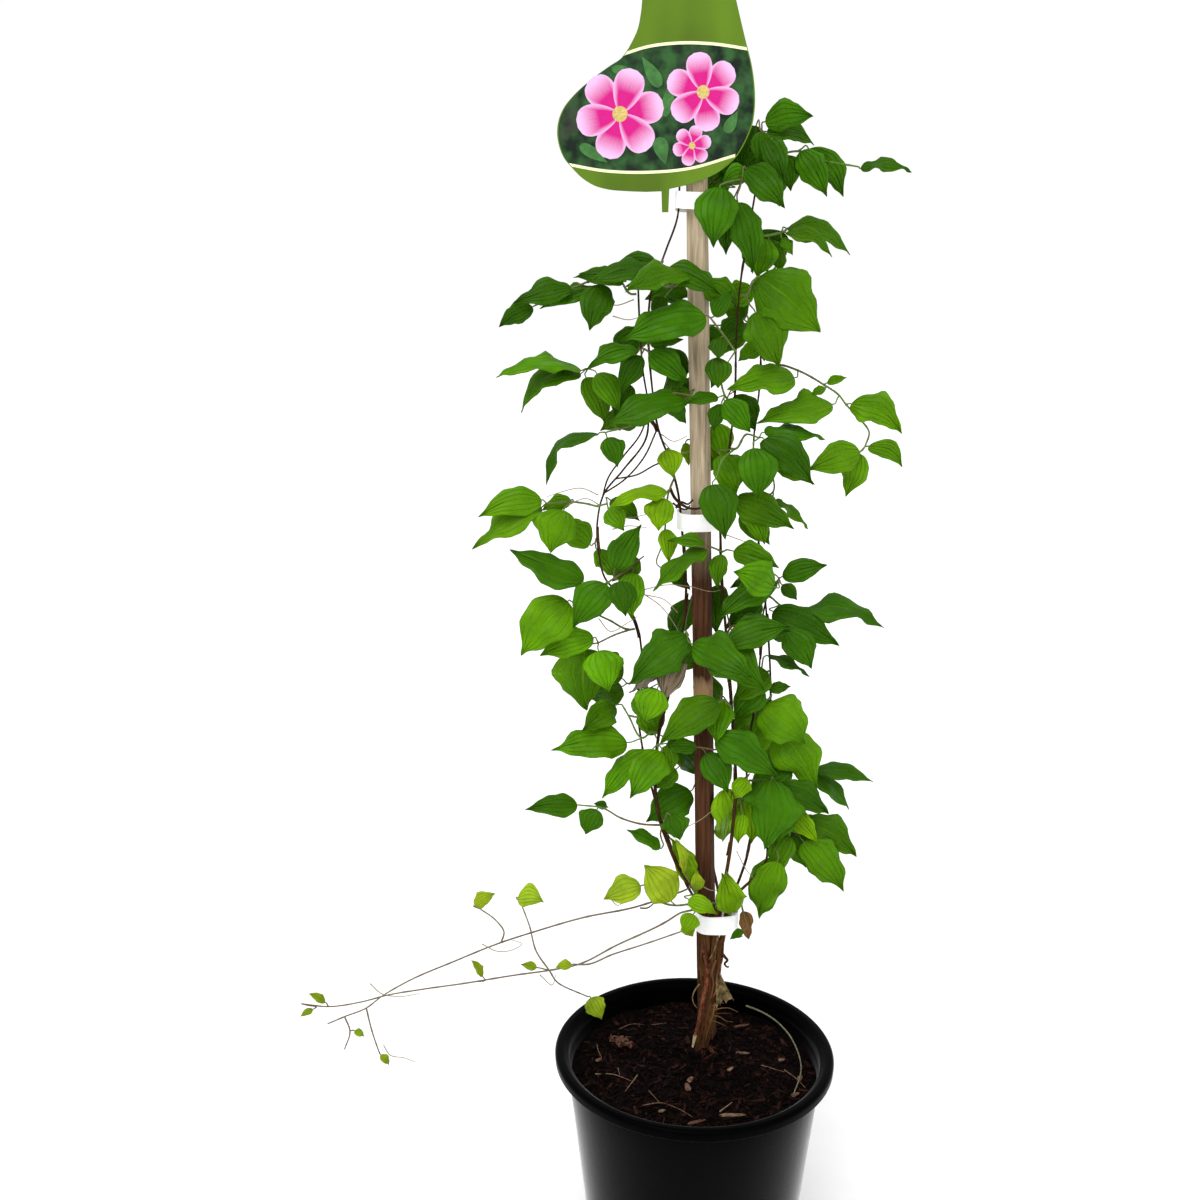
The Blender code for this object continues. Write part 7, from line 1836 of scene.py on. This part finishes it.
def leaf_grid(leaf, rows, columns, look, crumpled):
    """The blade's middle surface in full detail.

    To the blade of the part are added: a tip drawn out to a point, long veins that lie in furrows with
    the tissue swelling between them, and short waves that grow towards the edge.
    """
    u = 0.5 - 0.5 * np.cos(np.linspace(0.09, math.pi - 0.02, rows))
    v = np.linspace(-1, 1, columns)
    middle = blade_points(leaf, u, v)
    length = np.linalg.norm(leaf.tip - leaf.base)
    spine = middle[:, columns // 2][:, None, :]
    slim = 1 - 0.10 * np.exp(-((u - 0.12) / 0.10) ** 2) - 0.26 * np.exp(-((u - 0.90) / 0.08) ** 2)
    side = np.sign(v)[None, :]
    rows_u = u[:, None]
    phase = leaf.phase
    notch = np.sin(10 * rows_u + 2.3 * phase + 2.1 * side) + 0.6 * np.sin(21 * rows_u + 5 * phase - side)
    depth = 0.055 + 0.04 * math.sin(7 * phase) + 0.05 * smoothstep(3.2, 5.0, length)
    lobes = 1 + depth * notch * np.sin(math.pi * rows_u)
    lobes = lobes * (1 + 0.22 * math.sin(11 * phase) * (0.45 - rows_u))
    lobes = lobes * (1 + 0.09 * math.sin(3 * phase) * side)
    middle = spine + (middle - spine) * (slim[:, None] * lobes)[..., None]
    flatter = -0.5 * LEAF_ARCH * length * np.sin(math.pi * u ** 0.85)
    middle = middle + flatter[:, None, None] * leaf.normal
    out = grid_normals(middle)
    facing = 1 if (out * leaf.normal).sum() > 0 else -1
    fade = np.sin(math.pi * u)[:, None] ** 0.5
    swell = np.abs(np.sin(3 * math.pi * np.abs(v)))[None, :] - 0.5
    depth = cm(look.vein_depth) * min(1.0, length / 3.0) * 1.8
    edge = np.abs(v)[None, :] ** 3
    ripple = np.sin(13 * rows_u + 3 * phase + 2 * side) + 0.5 * np.sin(24 * rows_u + phase - side)
    ripple = (0.034 + 0.016 * math.cos(5 * phase)) * length * edge * ripple
    quilt = 0.25 * depth * np.sin(25 * u)[:, None] * (1 - edge)
    height = fade * (depth * swell + quilt + ripple)
    if crumpled:
        height = height + 0.16 * lumps(middle, 0.8, 51) * edge ** 0.3
    middle = middle + facing * height[..., None] * out
    if facing < 0:
        middle = middle[:, ::-1]
        v = v[::-1]
    return middle, u, v


def add_leaf(body, leaf, look, tone, crumpled=False):
    """The blade as a thin closed body with a raised midrib below, and its own stalk."""
    length = np.linalg.norm(leaf.tip - leaf.base)
    rows, columns = 25 if length > 2.6 else 17, 13
    middle, u, v = leaf_grid(leaf, rows, columns, look, crumpled)
    half = cm(look.thickness) / 2
    thin = half * (1 - 0.45 * np.abs(v) ** 2)[None, :] + 0 * u[:, None]
    rib = 0.055 * np.exp(-(v / 0.08) ** 2)[None, :] * (1 - 0.8 * u[:, None]) * min(1.0, length / 3.0)
    places = joined(u[:, None] * length / 4.0, v[None, :])
    add_shell(body, middle, thin, thin + rib, places, tone=tone)
    reach = leaf.base - leaf.hub
    if np.linalg.norm(reach) < 0.12:
        return
    along = unit(leaf.tip - leaf.base)
    end = middle[1, columns // 2] - leaf.normal * (half + 0.01)
    turn = end - along * min(0.35, 0.35 * np.linalg.norm(reach))
    line, share = flowing(np.array([leaf.hub, (leaf.hub + turn) / 2 + 0.04 * leaf.normal, turn, end]), 0.12)
    add_tube(body, line, 0.048 - 0.010 * share, 7, kind=1)


# Leaves that the solids leave out: tint, then a row like those of the fronds' leaves
# The dark ones are partly painted shade: they fill the shaded depths of the foliage, such as behind the card.
EXTRA_LEAVES = table("""
dark 2.7 68.4 1.9 66.1 1.7 1.7 1.3
dark 2.5 67.4 1.1 65.4 1.9 1.9 1.3
dark 2 66.6 -.2 64.9 1.7 2 1.7
dark 2.5 67.1 4.1 64.2 1.9 1 .4
dark 1.3 65.2 -.6 65.2 1.1 2 2.2
dark 4.4 62.8 2.6 60.7 1.9 1.5 .9
mid -.8 60.6 -4.4 59.6 1.3 .2 -.5
mid .1 60.2 1.9 58.7 1.5 0 -.6
light 2.7 59.8 1.3 59 1.4 1 .5
dark -1.1 60 -3.3 59.2 1.5 1.9 1.9
dark -.8 55.2 -3 56.4 1.5 1.9 1.9
dark -.8 54.8 -2.2 53.4 1.5 1.6 1.4
mid 1.4 55.7 .5 54.3 1 1.1 .8
light .8 52.3 1.3 50.3 1.5 1.6 1.2
mid 1.1 50.5 2.1 48.3 1.8 1.6 1
light 2.6 47.6 3.8 45.3 1.4 1.4 1.1
mid -3.4 53.2 -5.8 51.9 1.4 1.7 1.5
mid -.7 54.1 -2.7 52.9 1.4 1.4 1.2
mid 4.4 42.8 2 43.7 2 .4 -.2
dark 1.7 39.3 5.5 40.4 1.6 0 .3
dark -.3 39.3 3.3 37.2 2.1 -.4 -1.1
light -2.4 36.5 -3.1 34.5 1.9 .4 .1
dark -1.7 33.3 .3 31.1 1.6 1.9 1.9
lime -.2 24.2 -1.5 27.1 1.3 1.7 1.5
lime -.6 25.1 .4 24 .8 1.5 1
lime 3 29.7 3.5 26.7 1.8 1.9 1.7
dark 4.6 30.8 4.3 26.3 2.9 1.9 1.3
lime 5.8 28.8 7.6 26.7 1.2 2.2 1.9
lime 2.3 22.1 1.7 24.8 1.7 .4 0
lime -.3 23 1.5 22 1 -.2 -.9
lime 0 22 -.6 20.7 1.1 -.5 -.9
dark 3.1 20.9 2.3 20.3 .5 -.3 -.9
dark -4.5 60.2 -7.3 60.4 .9 1.1 .9
dark -4.1 54.5 -5 52.7 1.3 1.6 1.4
light -3.9 43.6 -3.9 40.8 1.6 1.5 1.1
dark 2.2 58.1 .8 56.9 1.2 1.8 1.6
mid 3.1 56.7 2 55.8 .9 1.5 1.3
mid 4.8 51.6 3.5 48.8 1.6 1.9 1.6
dark 1.2 42.9 1.1 39.9 1.5 2 2
dark 3.7 41.8 1.6 40.2 1.4 1.3 .9
mid 4.2 37.6 2.2 35.7 1.7 1.9 1.5
mid 1.5 35.9 1.2 33.1 1.6 2 1.9
mid 3.2 35.1 2.2 34 .9 1.6 1.3
dark 5.7 31.6 3.2 29.5 1.9 2.4 2.2
lime 1.7 30.2 1.7 26.8 1.7 1.9 2
mid -1.2 31.5 -2.5 30.2 1.3 1.8 1.5
light 5.1 25.5 4.1 22 1.9 1.6 1
mid 5.7 27.5 6.9 25.1 1.8 2 1.6
dark -2.2 43.9 -.5 42.6 .9 1.9 1.8
light 4.4 35.9 3 31.3 2.6 2.6 2.3
dark -.2 57.5 1.3 56.3 1.3 2.6 2.6
mid -3.5 44.4 -5.1 43.1 1.3 1.9 1.7
dark -.5 42 -1.5 39.6 1.6 2.4 2.2
light -2.5 33.7 -3.4 35.9 1.6 1.8 1.7
mid 0 49.7 1.2 51.3 1.5 2.6 2.6
dark 1.9 53.9 3.1 51.9 1.6 2.6 2.4
mid -5.2 47.9 -3.5 46.7 1.1 1.9 1.7
dark -3.6 57.5 -5.2 56.3 1.3 2.1 1.9
""")


def extra_leaves(stalks, leaves):
    """The extra leaves by tint, each on the nearest stalk and bent along the line of sight until clear."""
    hubs = np.vstack([route[1:] for routes in stalks.values() for route in routes])
    crowd = Crowd()
    made_things(crowd)
    for name in STEMS:
        crowd.add(stem_line(name)[0], 0, 0.25)
    crowd.add(hubs, 0, 0.12)
    for frond in leaves.values():
        for leaf in frond:
            crowd.add(leaf_samples(leaf), 0, 0.22)
    found = {}
    for number, (tint, *row) in enumerate(EXTRA_LEAVES):
        leaf, places = bent_leaf(row, hubs, 1.7 * number,
                                 lambda places: crowd.shortfall(places[BLADE], 1, REACH))
        found.setdefault(tint, []).append(leaf)
        crowd.add(places[BLADE], 0, 0.22)
    return found


class CLEMATIS_OT_fronds(bpy.types.Operator):
    """Add every frond: its stalks, and leaflets with veins, waves and drawn-out tips"""
    bl_idname = "clematis.fronds"
    bl_label = "Leafy fronds"

    def execute(self, context):
        look = context.scene.clematis_plant
        finishes = {tint: leaf_finish("leaf_" + tint, getattr(look, tint), look, tint == "dead")
                    for tint in ("dark", "mid", "light", "lime", "young", "dead")}
        green = stalk_finish("green_stalk", (0.10, 0.20, 0.02), (0.12, 0.07, 0.03))
        brown = stalk_finish("brown_stalk", (0.16, 0.13, 0.07), (0.13, 0.08, 0.05))
        draw = np.random.default_rng(SEED + 20)
        stalks, leaves = laid_out()
        for frond in FRONDS:
            body = Body()
            thin = 0.72 if frond.name.startswith("shoot") else 0.85
            for i, route in enumerate(stalks[frond.name]):
                line, share = flowing(route, 0.16)
                radii = STALK_RADIUS + (STALK_END_RADIUS - STALK_RADIUS) * share
                knots = 1 + 0.25 * np.exp(-((share * len(route)) % 1.0 - 0.5) ** 2 / 0.01)
                add_tube(body, line, thin * radii * knots * (1.0 if i == 0 else 0.9), 8, kind=1)
            for leaf in leaves[frond.name]:
                add_leaf(body, leaf, look, draw.uniform(*frond.tones), frond.tint == "dead")
            slot = "dry_leaf" if frond.tint == "dead" else "leaf_" + frond.tint
            stalk = brown if frond.name.startswith("shoot") or frond.tint == "dead" else green
            body.made("fine_" + frond.name, slot, [finishes[frond.colour], stalk], [frond.name], 75)
        for tint, extras in extra_leaves(stalks, leaves).items():
            body = Body()
            for leaf in extras:
                add_leaf(body, leaf, look, draw.uniform(0, 1))
            body.made("more_" + tint + "_leaves", "leaf_" + tint, [finishes[tint], green], (), 75)
        return {"FINISHED"}


def area_lamp(name, place, aim, size, power_in_watts):
    """A large soft lamp that faces a point."""
    data = bpy.data.lights.new(name, "AREA")
    data.shape = "DISK"
    data.size = size
    data.energy = power_in_watts
    lamp = placed(name, data)
    lamp.location = place
    back = np.array(place, float) - np.array(aim, float)
    lamp.rotation_euler = (math.acos(back[2] / np.linalg.norm(back)), 0,
                           math.atan2(back[1], back[0]) + math.pi / 2)


class CLEMATIS_OT_stage(bpy.types.Operator):
    """Add the pale floor, the soft lights and the camera at the photograph's place"""
    bl_idname = "clematis.stage"
    bl_label = "Floor, light and camera"

    def execute(self, context):
        look = context.scene.clematis_stage
        scene = context.scene
        bpy.ops.mesh.primitive_plane_add(size=60.0, location=(0, 0, -0.0004))
        floor = context.object
        floor.name = "studio_floor"
        floor.data.materials.append(plain_finish("pale_floor", look.floor, 0.9, 0.01, 40.0, 0.001,
                                                 Specular_IOR_Level=0.0))
        world = bpy.data.worlds.new("even_light")
        world.use_nodes = True
        nodes, links = world.node_tree.nodes, world.node_tree.links
        nodes["Background"].inputs["Color"].default_value = (1, 1, 1, 1)
        heading = nodes.new("ShaderNodeSeparateXYZ")
        links.new(nodes.new("ShaderNodeTexCoord").outputs["Generated"], heading.inputs[0])
        strength = nodes.new("ShaderNodeMapRange")
        for socket, value in (("From Min", -0.7), ("From Max", 0.15), ("To Min", 0.45 * look.sky),
                              ("To Max", 1.03 * look.sky)):
            strength.inputs[socket].default_value = value
        links.new(heading.outputs["Y"], strength.inputs["Value"])
        links.new(strength.outputs["Result"], nodes["Background"].inputs["Strength"])
        scene.world = world
        data = bpy.data.lights.new("key_lamp", "SUN")
        data.energy = look.key
        data.angle = math.radians(50)
        key = placed("key_lamp", data)
        key.rotation_euler = (math.radians(38), math.radians(-20), 0)
        area_lamp("fill_lamp", (1.0, -1.4, 1.0), (0, 0, 0.35), 0.8, look.fill)
        data = bpy.data.cameras.new("camera")
        data.lens = 37.5
        data.sensor_width = 36.0
        data.clip_start = 0.02
        camera = placed("camera", data)
        camera.location = (-0.0581, -0.702, 0.573)
        camera.rotation_euler = (math.radians(78), 0, 0)
        scene.camera = camera
        scene.view_settings.view_transform = "Standard"
        return {"FINISHED"}


OPERATORS = (CLEMATIS_OT_stage, CLEMATIS_OT_pot, CLEMATIS_OT_soil, CLEMATIS_OT_litter, CLEMATIS_OT_stake,
             CLEMATIS_OT_ties, CLEMATIS_OT_card, CLEMATIS_OT_stems, CLEMATIS_OT_tendrils,
             CLEMATIS_OT_fronds)
LOOKS = {"clematis_pot": PotLook, "clematis_soil": SoilLook, "clematis_plant": PlantLook,
         "clematis_holder": HolderLook, "clematis_stage": StageLook}


class CLEMATIS_PT_panel(bpy.types.Panel):
    """Lists the pieces and their looks"""
    bl_idname = "CLEMATIS_PT_panel"
    bl_label = "Potted clematis"
    bl_space_type = "VIEW_3D"
    bl_region_type = "UI"
    bl_category = "Clematis"

    def draw(self, context):
        for operator in OPERATORS:
            self.layout.operator(operator.bl_idname)
        for label in LOOKS:
            box = self.layout.box()
            look = getattr(context.scene, label)
            for field in look.bl_rna.properties:
                if field.identifier not in ("rna_type", "name"):
                    box.prop(look, field.identifier)


def register():
    for group in LOOKS.values():
        bpy.utils.register_class(group)
    for label, group in LOOKS.items():
        setattr(bpy.types.Scene, label, PointerProperty(type=group))
    for operator in OPERATORS:
        bpy.utils.register_class(operator)
    bpy.utils.register_class(CLEMATIS_PT_panel)


def unregister():
    bpy.utils.unregister_class(CLEMATIS_PT_panel)
    for operator in reversed(OPERATORS):
        bpy.utils.unregister_class(operator)
    for label, group in reversed(LOOKS.items()):
        delattr(bpy.types.Scene, label)
        bpy.utils.unregister_class(group)


def main():
    register()
    bpy.ops.clematis.stage()
    bpy.ops.clematis.pot()
    bpy.ops.clematis.soil()
    bpy.ops.clematis.litter()
    bpy.ops.clematis.stake()
    bpy.ops.clematis.ties()
    bpy.ops.clematis.card()
    bpy.ops.clematis.stems()
    bpy.ops.clematis.tendrils()
    bpy.ops.clematis.fronds()


if __name__ == "__main__":
    main()
